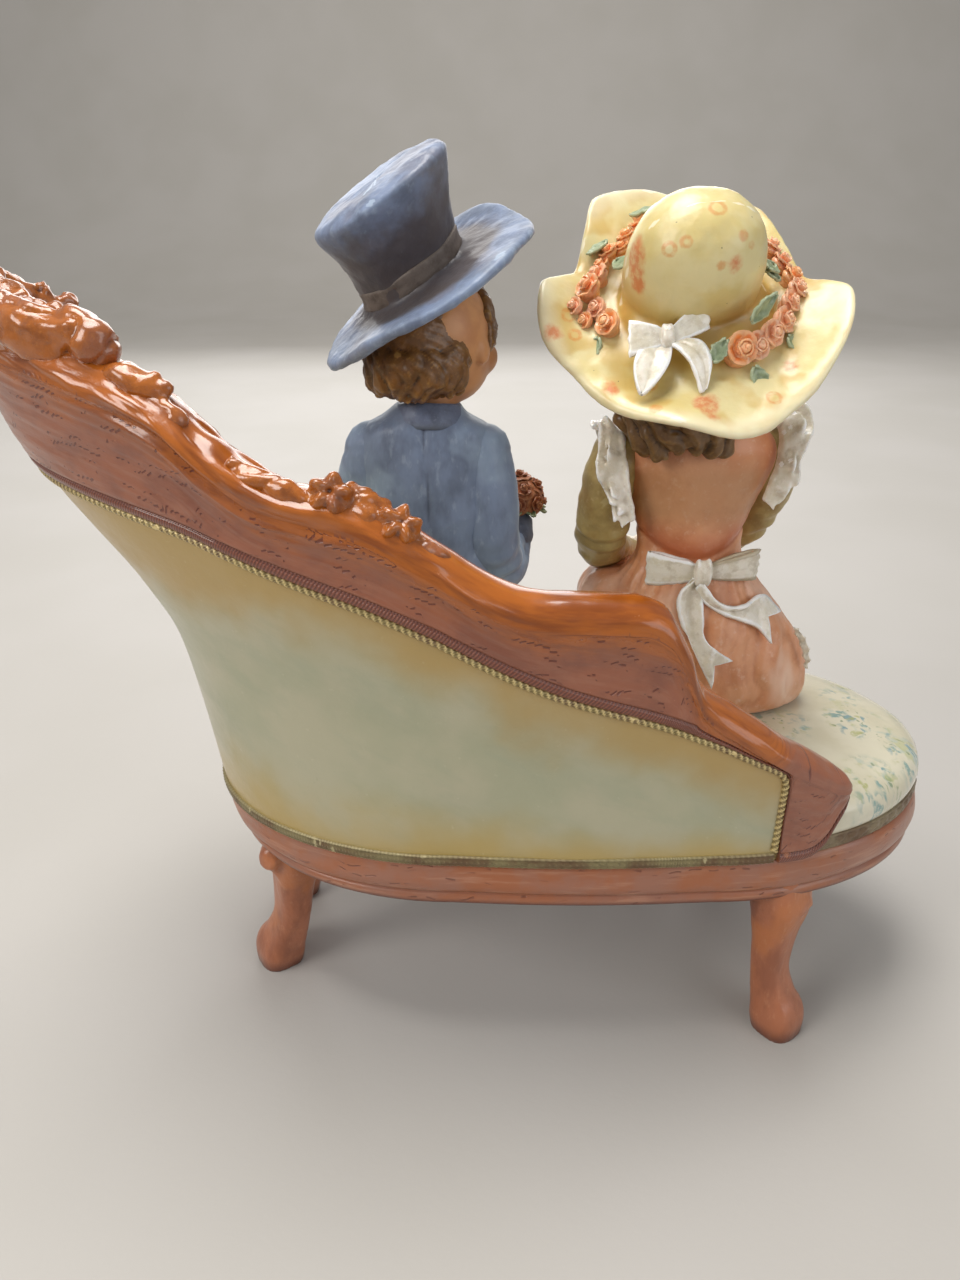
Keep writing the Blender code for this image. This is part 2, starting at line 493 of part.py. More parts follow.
# ---------------------------------------------------------------- materials
LOOKS = {"chaise_longue": ((0.42, 0.13, 0.035), 0.28), "boy": ((0.17, 0.23, 0.32), 0.55),
         "girl": ((0.72, 0.42, 0.27), 0.5)}
home = bpy.data.objects.new("group_origin", None)
PARTS.objects.link(home)
home.location = (SHIFT_X * MM, SHIFT_Y * MM, 0.0)
for node in (chaise, boy, girl):
    colour, rough = LOOKS[node.name]
    mat = bpy.data.materials.new(node.name + "_paint")
    mat.use_nodes = True
    shader = mat.node_tree.nodes["Principled BSDF"]
    shader.inputs["Base Color"].default_value = (*colour, 1.0)
    shader.inputs["Roughness"].default_value = rough
    shader.inputs["Metallic"].default_value = 0.0
    node.data.materials.clear()
    node.data.materials.append(mat)
    node.data.shade_smooth()
    node.data.set_sharp_from_angle(angle=math.radians(40))
    node.parent = home
for helper in CUTTERS.objects:
    helper.parent = home
bpy.context.view_layer.update()
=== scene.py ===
"""Courting couple figurine: the painted looks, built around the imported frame.

Shapes are worked out in millimetres in the figure's own layout (seat centred on
y = 0) and moved by SHIFT into the row frame when a mesh is made.
"""

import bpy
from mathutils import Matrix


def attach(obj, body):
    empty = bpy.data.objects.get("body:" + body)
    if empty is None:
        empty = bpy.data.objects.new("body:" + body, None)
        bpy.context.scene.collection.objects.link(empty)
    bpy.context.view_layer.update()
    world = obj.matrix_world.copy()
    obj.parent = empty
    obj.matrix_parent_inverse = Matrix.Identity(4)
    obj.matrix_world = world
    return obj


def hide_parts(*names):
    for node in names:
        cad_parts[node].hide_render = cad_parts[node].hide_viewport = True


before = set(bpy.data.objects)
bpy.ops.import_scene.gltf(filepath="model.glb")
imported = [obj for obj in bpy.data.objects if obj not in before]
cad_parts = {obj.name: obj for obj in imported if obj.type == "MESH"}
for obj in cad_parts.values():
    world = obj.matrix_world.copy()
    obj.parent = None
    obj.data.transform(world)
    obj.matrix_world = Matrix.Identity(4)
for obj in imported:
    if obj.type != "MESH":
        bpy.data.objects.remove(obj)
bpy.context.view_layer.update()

import math

import bmesh
import bpy
import numpy as np
from mathutils import Matrix, Vector
from mathutils.bvhtree import BVHTree

MM = 0.001
SHIFT = np.array((0.0, 6.5, 0.0))
TAU = 2 * math.pi

# ------------------------------------------------------------------ camera
cam_data = bpy.data.cameras.new("view")
cam = bpy.data.objects.new("view", cam_data)
bpy.context.scene.collection.objects.link(cam)
cam_data.sensor_fit = "VERTICAL"
cam_data.sensor_height = 36.0
cam_data.lens = 27.0
cam_data.clip_start = 0.005
tilt = math.radians(25.0)
look_at = Vector((0, -math.cos(tilt), -math.sin(tilt)))
look_up = Vector((0, -math.sin(tilt), math.cos(tilt)))
place = Matrix((Vector((-1, 0, 0)), look_up, -look_at)).transposed().to_4x4()
place.translation = Vector((0.0, 0.1715, 0.145))
cam.matrix_world = place
bpy.context.scene.camera = cam

# ------------------------------------------------------------------ the frame's measures
RAIL_LOW, RAIL_TOP, BRAID_TOP, CROWN_Z = 32.6, 41.5, 44.0, 53.0
FOOT_X, FOOT_A, HEAD_X, HEAD_A = -40.0, 45.8, 5.0, 42.0
HALF_W, BOW, HEAD_RAKE = 33.0, 0.9, 3.0
CREST_A, CREST_B, CREST_POWER, REAR_RAKE = 78.0, 37.5, 1.176, 4.5
ARM_X, BACK_T, BOARD, ROLL = -61.0, 7.6, 1.1, 4.3
CREST_LINE = [(-1.018, 55.4), (-1.008, 56.8), (-0.99, 58.0), (-0.96, 59.4), (-0.84, 64.6), (-0.695, 71.4),
              (-0.60, 76.4), (-0.555, 83.0),
              (-0.50, 89.0), (-0.44, 91.0), (-0.34, 91.5), (-0.19, 92.2), (0.03, 99.8),
              (0.13, 105.0), (0.2, 106.8), (0.26, 108.4), (0.33, 113.2), (0.39, 118.6),
              (0.45, 121.6), (0.6, 125.4), (0.8, 127.8),
              (1.0, 128.6), (1.2, 126.0), (1.38, 117.0), (1.52, 102.0), (1.62, 86.0),
              (1.68, 74.0), (1.74, 60.0), (1.745, 58.0)]
GIMP_LINE = [(-1.0, 54.5), (-0.80, 61.2), (-0.60, 68.0), (-0.26, 76.0), (0.0, 84.6),
             (0.19, 92.0), (0.43, 99.6), (0.7, 103.0), (1.0, 104.5), (1.2, 102.0),
             (1.38, 93.0), (1.52, 80.0), (1.62, 68.0), (1.68, 60.0), (1.74, 54.0)]
LOW_LINE = [(-1.018, 52.0), (-1.008, 50.0), (-0.99, 47.6), (-0.96, 43.6), (-0.93, 41.9), (-0.90, 41.5),
            (1.60, 41.5), (1.65, 43.4), (1.70, 45.6), (1.73, 48.6), (1.745, 51.8)]
THICK_LINE = [(-1.018, 2.0), (-1.008, 5.0), (-0.99, 6.8), (-0.96, 7.6), (1.65, 7.6), (1.70, 7.0),
              (1.73, 5.4), (1.745, 2.4)]
FLARE = [(0.0, 0.0), (0.16, 0.05), (0.39, 0.17), (0.50, 0.33), (0.62, 0.57), (0.72, 0.765),
         (0.87, 0.96), (1.0, 1.0)]


def smooth(table, x):
    """Monotone cubic reading of a short table of stations."""
    xs = [p[0] for p in table]
    ys = [p[1] for p in table]
    if x <= xs[0]:
        return ys[0]
    if x >= xs[-1]:
        return ys[-1]
    n = len(xs)
    d = [(ys[i + 1] - ys[i]) / (xs[i + 1] - xs[i]) for i in range(n - 1)]
    m = [d[0]] + [0.0 if d[i - 1] * d[i] <= 0 else 2 * d[i - 1] * d[i] / (d[i - 1] + d[i])
                  for i in range(1, n - 1)] + [d[-1]]
    i = max(k for k in range(n - 1) if xs[k] <= x)
    h = xs[i + 1] - xs[i]
    t = (x - xs[i]) / h
    return (ys[i] * (1 + 2 * t) * (1 - t) ** 2 + h * m[i] * t * (1 - t) ** 2
            + ys[i + 1] * t * t * (3 - 2 * t) + h * m[i + 1] * t * t * (t - 1))


def read(table, xs):
    """The same for an array."""
    xs = np.asarray(xs, float)
    return np.array([smooth(table, x) for x in xs.ravel()]).reshape(xs.shape)


def step(x, a, b):
    """0 below a, 1 above b, eased between; works either way round."""
    t = np.clip((np.asarray(x, float) - a) / (b - a), 0, 1)
    return t * t * (3 - 2 * t)


def bump_at(x, centre, width):
    """A soft bell, 1 at the centre and 0 past the width."""
    t = np.clip(1 - ((np.asarray(x, float) - centre) / width) ** 2, 0, 1)
    return t * t


# ------------------------------------------------------------------ noise
def _hash(i, j, k, seed):
    h = (i * 73856093) ^ (j * 19349663) ^ (k * 83492791) ^ (seed * 40503)
    h = ((h ^ (h >> 13)) * 1274126177) & 0xFFFFFFFF
    h = ((h ^ (h >> 15)) * 668265263) & 0xFFFFFFFF
    return (h & 0xFFFF) / 32767.5 - 1.0


def noise(P, scale, seed=0):
    """Smooth value noise in -1..1; scale is the size of a lump in mm, one number or three."""
    Q = np.asarray(P, float) / np.asarray(scale, float)
    I = np.floor(Q).astype(np.int64)
    f = Q - I
    w = f * f * f * (f * (f * 6 - 15) + 10)
    out = np.zeros(Q.shape[:-1])
    for a in (0, 1):
        for b in (0, 1):
            for c in (0, 1):
                g = ((w[..., 0] if a else 1 - w[..., 0]) * (w[..., 1] if b else 1 - w[..., 1])
                     * (w[..., 2] if c else 1 - w[..., 2]))
                out += g * _hash(I[..., 0] + a, I[..., 1] + b, I[..., 2] + c, seed)
    return out


def rough_noise(P, scale, octaves=3, seed=0):
    scale = np.asarray(scale, float)
    return sum(noise(P, scale / 2 ** k, seed + 17 * k) * 0.5 ** k for k in range(octaves))


# ------------------------------------------------------------------ shapes as (points, faces)
def grid_faces(nu, nv, wrap_u=False, wrap_v=False):
    u = np.arange(nu if wrap_u else nu - 1)
    v = np.arange(nv if wrap_v else nv - 1)
    U, W = np.meshgrid(u, v, indexing="ij")
    U2, W2 = (U + 1) % nu, (W + 1) % nv
    return np.stack([U * nv + W, U2 * nv + W, U2 * nv + W2, U * nv + W2], -1).reshape(-1, 4)


def join(parts):
    V, F, n = [], [], 0
    for v, f in parts:
        V.append(np.asarray(v, float))
        F += [[i + n for i in face] for face in (f.tolist() if isinstance(f, np.ndarray) else f)]
        n += len(v)
    return np.concatenate(V), F


def skin(rings, caps=True):
    """Skin over an array of closed rings (stations, points, 3), with both ends closed by a fan."""
    rings = np.asarray(rings, float)
    nu, nv = rings.shape[:2]
    V = rings.reshape(-1, 3)
    F = grid_faces(nu, nv, wrap_v=True).tolist()
    if caps:
        V = np.concatenate([V, [rings[0].mean(0)], [rings[-1].mean(0)]])
        a, b, last = nu * nv, nu * nv + 1, (nu - 1) * nv
        for i in range(nv):
            j = (i + 1) % nv
            F.append([a, j, i])
            F.append([b, last + i, last + j])
    return V, F


def turn_matrix(turn):
    rx, ry, rz = (math.radians(a) for a in turn)
    return np.array(Matrix.Rotation(rz, 3, "Z") @ Matrix.Rotation(ry, 3, "Y") @ Matrix.Rotation(rx, 3, "X"))


def ellipsoid(centre, radii, turn=(0, 0, 0), n=36, m=22):
    a = np.linspace(0, TAU, n, endpoint=False)
    b = np.linspace(-math.pi / 2, math.pi / 2, m + 2)[1:-1]
    rings = np.stack([np.cos(b)[:, None] * np.cos(a), np.cos(b)[:, None] * np.sin(a),
                      np.repeat(np.sin(b)[:, None], n, 1)], -1)
    V, F = skin(rings)
    V[-2], V[-1] = (0, 0, -1), (0, 0, 1)
    return V * np.asarray(radii, float) @ turn_matrix(turn).T + np.asarray(centre, float), F


def finer(stations, steps):
    """Rounds a short list of stations with a Catmull-Rom curve."""
    pts = [np.array(p, float) for p in stations]
    pts = [2 * pts[0] - pts[1]] + pts + [2 * pts[-1] - pts[-2]]
    out = []
    for i in range(1, len(pts) - 2):
        p0, p1, p2, p3 = pts[i - 1:i + 3]
        for k in range(steps):
            t = k / steps
            out.append(0.5 * (2 * p1 + (p2 - p0) * t + (2 * p0 - 5 * p1 + 4 * p2 - p3) * t * t
                              + (3 * p1 - p0 - 3 * p2 + p3) * t ** 3))
    out.append(pts[-2])
    return np.array(out)


def frames_along(P, first=None):
    """Tangent, side and up vectors carried along a path without twisting."""
    P = np.asarray(P, float)
    T = np.gradient(P, axis=0)
    T /= np.maximum(np.linalg.norm(T, axis=1, keepdims=True), 1e-9)
    N = np.zeros_like(P)
    n = np.asarray(first if first is not None else (0.13, 0.22, 1.0), float)
    for i, t in enumerate(T):
        n = n - t * (n @ t)
        if np.linalg.norm(n) < 1e-6:
            n = np.cross(t, (0.3, 0.7, 0.2))
        n /= np.linalg.norm(n)
        N[i] = n
    return T, N, np.cross(T, N)


def tube(stations, sides=16, flat=1.0, first=None, steps=0, round_ends=True):
    """A tapered tube: stations hold x, y, z and radius; flat squashes it along its up vector."""
    S = finer(stations, steps) if steps else np.asarray(stations, float)
    if round_ends:
        a, b = S[0], S[-1]
        ta, tb = S[0, :3] - S[1, :3], S[-1, :3] - S[-2, :3]
        ta, tb = ta / np.linalg.norm(ta), tb / np.linalg.norm(tb)
        head = [np.append(a[:3] + ta * a[3] * k, a[3] * math.sqrt(1 - k * k)) for k in (0.97, 0.8, 0.45)]
        tail = [np.append(b[:3] + tb * b[3] * k, b[3] * math.sqrt(1 - k * k)) for k in (0.45, 0.8, 0.97)]
        S = np.concatenate([head, S, tail])
    T, N, B = frames_along(S[:, :3], first)
    a = np.linspace(0, TAU, sides, endpoint=False)
    r = S[:, 3][:, None, None]
    rings = S[:, None, :3] + r * (np.cos(a)[None, :, None] * B[:, None] + flat * np.sin(a)[None, :, None] * N[:, None])
    return skin(rings)


def rope(path, radius, pitch, strands=2, sides=14, depth=0.28, first=None):
    """A twisted cord along a path of points."""
    P = np.asarray(path, float)
    T, N, B = frames_along(P, first)
    run = np.concatenate([[0], np.cumsum(np.linalg.norm(np.diff(P, axis=0), axis=1))])
    a = np.linspace(0, TAU, sides, endpoint=False)
    ang = a[None, :] + TAU * run[:, None] / pitch / strands
    r = radius * (1 - depth + depth * np.abs(np.cos(strands * ang / 2 + 0 * a)) ** 0.7)
    rings = P[:, None] + r[..., None] * (np.cos(a)[None, :, None] * B[:, None] + np.sin(a)[None, :, None] * N[:, None])
    return skin(rings)


def even(path, gap):
    """Points spaced evenly along a path."""
    P = np.asarray(path, float)
    run = np.concatenate([[0], np.cumsum(np.linalg.norm(np.diff(P[:, :3], axis=0), axis=1))])
    t = np.linspace(0, run[-1], max(3, int(run[-1] / gap)))
    return np.stack([np.interp(t, run, P[:, k]) for k in range(P.shape[1])], 1)


def sheet(top, thick, wrap_u=False):
    """A thin closed sheet over a grid of points (nu, nv, 3); thick goes against the grid's normal."""
    top = np.asarray(top, float)
    nu, nv = top.shape[:2]
    du = np.gradient(top, axis=0) if not wrap_u else (np.roll(top, -1, 0) - np.roll(top, 1, 0))
    dv = np.gradient(top, axis=1)
    n = np.cross(du, dv)
    n /= np.maximum(np.linalg.norm(n, axis=2, keepdims=True), 1e-9)
    th = np.asarray(thick, float)
    th = th[..., None] if th.ndim == 2 else th
    low = top - n * th
    loop = np.concatenate([top, low[:, ::-1]], axis=1)
    if wrap_u:
        return loop.reshape(-1, 3), grid_faces(nu, 2 * nv, wrap_u=True, wrap_v=True)
    V, F = loop.reshape(-1, 3), grid_faces(nu, 2 * nv, wrap_v=True).tolist()
    for row, flip in ((0, False), (nu - 1, True)):
        base = row * 2 * nv
        for j in range(nv - 1):
            q = [base + j, base + j + 1, base + 2 * nv - 2 - j, base + 2 * nv - 1 - j]
            F.append(q[::-1] if flip else q)
    return V, F


def lathe(profile, steps, place=None, warp=None):
    """A turned shape: profile of (radius, height) from the axis back to the axis."""
    prof = np.asarray(profile, float)
    inner = prof[1:-1]
    a = np.linspace(0, TAU, steps, endpoint=False)
    rings = np.stack([inner[:, 0, None] * np.cos(a), inner[:, 0, None] * np.sin(a),
                      np.repeat(inner[:, 1, None], steps, 1)], -1)
    V, F = skin(rings)
    V[-2], V[-1] = (0, 0, prof[0, 1]), (0, 0, prof[-1, 1])
    if warp is not None:
        V = warp(V)
    return (apply(place, V) if place is not None else V), F


def apply(place, V):
    M = np.array(place)
    return V @ M[:3, :3].T + M[:3, 3]


def leaning(centre, lean, back, turn=0.0):
    """Placement of a hat in mm: leant to +X, tipped to +Y, turned about its own axis."""
    return (Matrix.Translation(Vector(centre)) @ Matrix.Rotation(math.radians(lean), 4, "Y")
            @ Matrix.Rotation(math.radians(-back), 4, "X") @ Matrix.Rotation(math.radians(turn), 4, "Z"))


def facing(point, out, up=(0, 0, 1), spin=0.0):
    """Placement whose Z looks along out and whose Y leans towards up."""
    z = Vector(out).normalized()
    x = Vector(up).cross(z)
    x = x.normalized() if x.length > 1e-5 else Vector((1, 0, 0))
    y = z.cross(x)
    m = Matrix((x, y, z)).transposed().to_4x4()
    m.translation = Vector(point)
    return m @ Matrix.Rotation(math.radians(spin), 4, "Z")


# ------------------------------------------------------------------ meshes
def new_mesh(name, V, F, shift=True):
    me = bpy.data.meshes.new(name)
    V = (np.asarray(V, float) + (SHIFT if shift else 0)) * MM
    me.from_pydata(V, [], F)
    me.validate()
    return me


def arrays(me):
    V = np.empty(len(me.vertices) * 3)
    me.vertices.foreach_get("co", V)
    L = np.empty(len(me.loops), np.int64)
    me.loops.foreach_get("vertex_index", L)
    start = np.empty(len(me.polygons), np.int64)
    me.polygons.foreach_get("loop_start", start)
    total = np.diff(np.append(start, len(L)))
    if len(total) and (total == 4).all():
        return V.reshape(-1, 3), L.reshape(-1, 4)
    return V.reshape(-1, 3), [L[s:s + t].tolist() for s, t in zip(start, total)]


def remesh(parts, voxel, smooth_times=2):
    """One skin over overlapping closed shapes."""
    V, F = join(parts)
    me = bpy.data.meshes.new("rough")
    me.from_pydata(V * MM, [], F)
    ob = bpy.data.objects.new("rough", me)
    bpy.context.scene.collection.objects.link(ob)
    mod = ob.modifiers.new("Remesh", "REMESH")
    mod.mode = "VOXEL"
    mod.voxel_size = voxel * MM
    mod.adaptivity = 0.0
    dg = bpy.context.evaluated_depsgraph_get()
    dg.update()
    done = bpy.data.meshes.new_from_object(ob.evaluated_get(dg))
    bpy.data.objects.remove(ob, do_unlink=True)
    bpy.data.meshes.remove(me)
    V, F = arrays(done)
    bpy.data.meshes.remove(done)
    V = V / MM
    return relax(V, F, smooth_times), F


def edges_of(F):
    if isinstance(F, np.ndarray):
        e = np.concatenate([F[:, [i, (i + 1) % F.shape[1]]] for i in range(F.shape[1])])
    else:
        e = np.array([(f[i], f[(i + 1) % len(f)]) for f in F for i in range(len(f))])
    return e


def relax(V, F, times, amount=0.5):
    if not times:
        return V
    e = edges_of(F)
    n = len(V)
    count = np.bincount(e[:, 0], minlength=n) + np.bincount(e[:, 1], minlength=n)
    count = np.maximum(count, 1)[:, None]
    for _ in range(times):
        s = np.stack([np.bincount(e[:, 0], V[e[:, 1], k], n) + np.bincount(e[:, 1], V[e[:, 0], k], n)
                      for k in range(3)], 1)
        V = V + amount * (s / count - V)
    return V


def normals(V, F):
    if isinstance(F, np.ndarray):
        A = V[F]
        n = np.cross(A[:, 2] - A[:, 0], A[:, 3] - A[:, 1]) if F.shape[1] == 4 else np.cross(A[:, 1] - A[:, 0], A[:, 2] - A[:, 0])
        idx = F
    else:
        idx, rows = [], []
        for f in F:
            p = V[f]
            rows.append(np.cross(p[1] - p[0], p[2] - p[0]) + (np.cross(p[2] - p[0], p[3] - p[0]) if len(f) > 3 else 0))
        out = np.zeros_like(V)
        for f, r in zip(F, rows):
            out[f] += r
        return out / np.maximum(np.linalg.norm(out, axis=1, keepdims=True), 1e-12)
    out = np.stack([sum(np.bincount(idx[:, c], n[:, k], len(V)) for c in range(idx.shape[1])) for k in range(3)], 1)
    return out / np.maximum(np.linalg.norm(out, axis=1, keepdims=True), 1e-12)


def raised(V, F, height):
    """Moves each point along its normal; height is an array or a function of points and normals."""
    N = normals(V, F)
    h = height(V, N) if callable(height) else height
    return V + N * np.asarray(h)[:, None]


def piece(name, VF, mat, node, attrs=None, sharp=None, fix_normals=True):
    """A finished piece that rides on the body and stands for a node of the frame."""
    V, F = VF
    me = new_mesh(name, V, F)
    if fix_normals:
        bm = bmesh.new()
        bm.from_mesh(me)
        bmesh.ops.recalc_face_normals(bm, faces=bm.faces)
        bm.to_mesh(me)
        bm.free()
    for key, values in (attrs or {}).items():
        values = np.asarray(values, float)
        if values.ndim == 1:
            layer = me.attributes.new(key, "FLOAT", "POINT")
            layer.data.foreach_set("value", values)
        else:
            layer = me.attributes.new(key, "FLOAT_VECTOR", "POINT")
            layer.data.foreach_set("vector", values.ravel())
    me.shade_smooth()
    if sharp:
        me.set_sharp_from_angle(angle=math.radians(sharp))
    ob = bpy.data.objects.new(name, me)
    bpy.context.scene.collection.objects.link(ob)
    me.materials.append(mat)
    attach(ob, "root")
    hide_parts(node)
    return ob


# ------------------------------------------------------------------ paint
def tone(code):
    """A colour written the way a paint chart does, as linear light."""
    c = [int(code[i:i + 2], 16) / 255 for i in (1, 3, 5)]
    return tuple(v / 12.92 if v <= 0.04045 else ((v + 0.055) / 1.055) ** 2.4 for v in c) + (1.0,)


class Paint:
    """A small helper that wires one procedural material; coordinates are in millimetres."""

    def __init__(self, name):
        self.mat = bpy.data.materials.new(name)
        self.mat.use_nodes = True
        self.tree = self.mat.node_tree
        self.shader = self.tree.nodes["Principled BSDF"]
        self.cache = {}

    def node(self, kind, **props):
        n = self.tree.nodes.new("ShaderNode" + kind)
        for k, v in props.items():
            setattr(n, k, v)
        return n

    def put(self, socket, value):
        if isinstance(value, bpy.types.NodeSocket):
            self.tree.links.new(value, socket)
        elif isinstance(value, str):
            socket.default_value = tone(value)
        else:
            socket.default_value = value

    def here(self):
        if "here" not in self.cache:
            c = self.node("TexCoord")
            self.cache["here"] = self.vec("MULTIPLY", c.outputs["Object"], (1000.0, 1000.0, 1000.0))
        return self.cache["here"]

    def pointy(self):
        if "pointy" not in self.cache:
            self.cache["pointy"] = self.node("NewGeometry").outputs["Pointiness"]
        return self.cache["pointy"]

    def attr(self, name, out="Vector"):
        key = ("attr", name)
        if key not in self.cache:
            self.cache[key] = self.node("Attribute", attribute_name=name)
        return self.cache[key].outputs[out]

    def split(self, v):
        n = self.node("SeparateXYZ")
        self.put(n.inputs[0], v)
        return n.outputs[0], n.outputs[1], n.outputs[2]

    def pack(self, x, y, z=0.0):
        n = self.node("CombineXYZ")
        for s, v in zip(n.inputs, (x, y, z)):
            self.put(s, v)
        return n.outputs[0]

    def maths(self, op, a, b=0.0, clamp=False):
        n = self.node("Math", operation=op, use_clamp=clamp)
        self.put(n.inputs[0], a)
        if len(n.inputs) > 1:
            self.put(n.inputs[1], b)
        return n.outputs[0]

    def vec(self, op, a, b):
        n = self.node("VectorMath", operation=op)
        self.put(n.inputs[0], a)
        self.put(n.inputs[1], b)
        return n.outputs[0]

    def band(self, v, a, b, low=0.0, high=1.0):
        n = self.node("MapRange", interpolation_type="SMOOTHSTEP")
        n.clamp = True
        for s, x in zip(n.inputs, (v, a, b, low, high)):
            self.put(s, x)
        return n.outputs[0]

    def noise(self, size, detail=3.0, rough=0.55, at=None, stretch=(1, 1, 1), bend=0.0, seed=0.0):
        """Noise whose lumps are about size mm; seed moves it elsewhere."""
        n = self.node("TexNoise")
        v = at if at is not None else self.here()
        v = self.vec("MULTIPLY", v, tuple(1.0 / (size * s) for s in stretch))
        if seed:
            v = self.vec("ADD", v, (seed, seed * 1.7, -seed))
        self.put(n.inputs["Vector"], v)
        n.inputs["Scale"].default_value = 1.0
        n.inputs["Detail"].default_value = detail
        n.inputs["Roughness"].default_value = rough
        n.inputs["Distortion"].default_value = bend
        return n.outputs["Fac"]

    def cells(self, at, size, out="Distance", feature="F1", random=1.0):
        n = self.node("TexVoronoi", feature=feature)
        self.put(n.inputs["Vector"], self.vec("MULTIPLY", at, tuple(1.0 / s for s in size)))
        n.inputs["Scale"].default_value = 1.0
        n.inputs["Randomness"].default_value = random
        return n.outputs[out] if out else n

    def mix(self, fac, a, b, how="MIX"):
        n = self.node("Mix", data_type="RGBA", blend_type=how)
        n.clamp_factor = True
        self.put(n.inputs[0], fac)
        self.put(n.inputs[6], a)
        self.put(n.inputs[7], b)
        return n.outputs[2]

    def blend(self, fac, a, b):
        n = self.node("Mix", data_type="FLOAT")
        n.clamp_factor = True
        self.put(n.inputs[0], fac)
        self.put(n.inputs[2], a)
        self.put(n.inputs[3], b)
        return n.outputs[0]

    def done(self, colour, rough, bumps=(), coat=0.0, coat_rough=0.1, sheen=0.0, specular=0.5, metal=0.0,
             soft=0.0, glow=None):
        """bumps holds (height, depth in mm)."""
        s = self.shader
        self.put(s.inputs["Base Color"], colour)
        self.put(s.inputs["Roughness"], rough)
        s.inputs["Coat Weight"].default_value = coat
        s.inputs["Coat Roughness"].default_value = coat_rough
        s.inputs["Sheen Weight"].default_value = sheen
        s.inputs["Specular IOR Level"].default_value = specular
        s.inputs["Metallic"].default_value = metal
        if soft:
            s.inputs["Subsurface Weight"].default_value = soft
            s.inputs["Subsurface Scale"].default_value = 0.0015
            s.inputs["Subsurface Radius"].default_value = glow or (1.0, 0.6, 0.4)
        last = None
        for height, depth in bumps:
            b = self.node("Bump")
            b.inputs["Strength"].default_value = 1.0
            b.inputs["Distance"].default_value = depth * MM
            self.put(b.inputs["Height"], height)
            if last is not None:
                self.put(b.inputs["Normal"], last)
            last = b.outputs["Normal"]
        if last is not None:
            self.put(s.inputs["Normal"], last)
        return self.mat


def brushed(name, base, deep, worn, size=4.0, rough=0.5, deep_amount=0.6, worn_amount=0.5, streak=(1, 1, 1),
            wash=None, wash_size=9.0, wash_amount=0.5, coat=0.0, coat_rough=0.15, sheen=0.0, soft=0.0,
            grain=0.03, cavity=(0.5, 0.44), edge=(0.53, 0.60), specular=0.5, extra=None):
    """Hand-brushed paint: uneven coverage, darker in the hollows, rubbed on the edges."""
    p = Paint(name)
    cover = p.noise(size, 4.0, 0.6, stretch=streak)
    colour = p.mix(p.band(cover, 0.42, 0.66), base, p.mix(0.45, base, deep))
    if wash:
        colour = p.mix(p.maths("MULTIPLY", p.band(p.noise(wash_size, 3.0, 0.5, seed=7.3), 0.48, 0.64), wash_amount),
                       colour, wash)
    fine = p.noise(size * 0.22, 3.0, 0.6, stretch=streak, seed=3.1)
    colour = p.mix(p.maths("MULTIPLY", p.band(fine, 0.56, 0.72), 0.25), colour, worn)
    if extra:
        colour = extra(p, colour)
    hollow = p.maths("MULTIPLY", p.band(p.pointy(), cavity[0], cavity[1]), deep_amount)
    colour = p.mix(hollow, colour, deep)
    rub = p.maths("MULTIPLY", p.band(p.maths("ADD", p.pointy(), p.maths("MULTIPLY", p.maths("SUBTRACT", fine, 0.5), 0.05)),
                                     edge[0], edge[1]), worn_amount)
    colour = p.mix(rub, colour, worn)
    shine = p.blend(p.band(cover, 0.35, 0.7), rough - 0.06, rough + 0.08)
    return p.done(colour, shine, [(p.noise(size * 0.3, 2.0, 0.5, stretch=streak), 0.12 * size / 4),
                                  (p.noise(0.5, 2.0, 0.6), grain)],
                  coat=coat, coat_rough=coat_rough, sheen=sheen, soft=soft, specular=specular)


def dashes(p, at, size=(2.3, 0.82), half=(0.82, 0.11), keep=0.85, skew=0.0, random=0.5, patch=(9.0, 2.2), where=(0.53, 0.60), turn=0.0):
    """Short incised grain marks laid along the first coordinate; 1 inside a mark."""
    x, y, z = p.split(at)
    wobble = p.maths("MULTIPLY", p.maths("SUBTRACT", p.noise(9.0, 2.0, 0.5, at=at), 0.5), 5.0)
    flat = p.pack(p.maths("ADD", x, p.maths("MULTIPLY", y, skew)), p.maths("ADD", y, wobble), 0.0)
    n = p.cells(flat, (size[0], size[1], 1.0), out=None, random=random)
    scaled = p.vec("MULTIPLY", flat, (1 / size[0], 1 / size[1], 1.0))
    away = p.vec("SUBTRACT", scaled, n.outputs["Position"])
    dx, dy, _ = p.split(away)
    dx, dy = p.maths("MULTIPLY", dx, size[0]), p.maths("MULTIPLY", dy, size[1])
    if turn:
        c, s = math.cos(math.radians(turn)), math.sin(math.radians(turn))
        dx, dy = (p.maths("ADD", p.maths("MULTIPLY", dx, c), p.maths("MULTIPLY", dy, s)),
                  p.maths("SUBTRACT", p.maths("MULTIPLY", dy, c), p.maths("MULTIPLY", dx, s)))
    dx, dy = p.maths("ABSOLUTE", dx), p.maths("ABSOLUTE", dy)
    pick, other, _ = p.split(n.outputs["Color"])
    long = p.maths("MULTIPLY", p.maths("ADD", 0.45, other), half[0])
    inside = p.maths("MULTIPLY", p.band(p.maths("SUBTRACT", dx, long), 0.12, -0.12), p.band(dy, half[1] + 0.09, half[1] - 0.03))
    rows = p.noise(1.0, 2.0, 0.5, at=p.vec("MULTIPLY", flat, (1 / patch[0], 1 / patch[1], 1.0)), seed=17.0)
    inside = p.maths("MULTIPLY", inside, p.band(rows, where[0], where[1]))
    return p.maths("MULTIPLY", inside, p.maths("LESS_THAN", pick, keep))


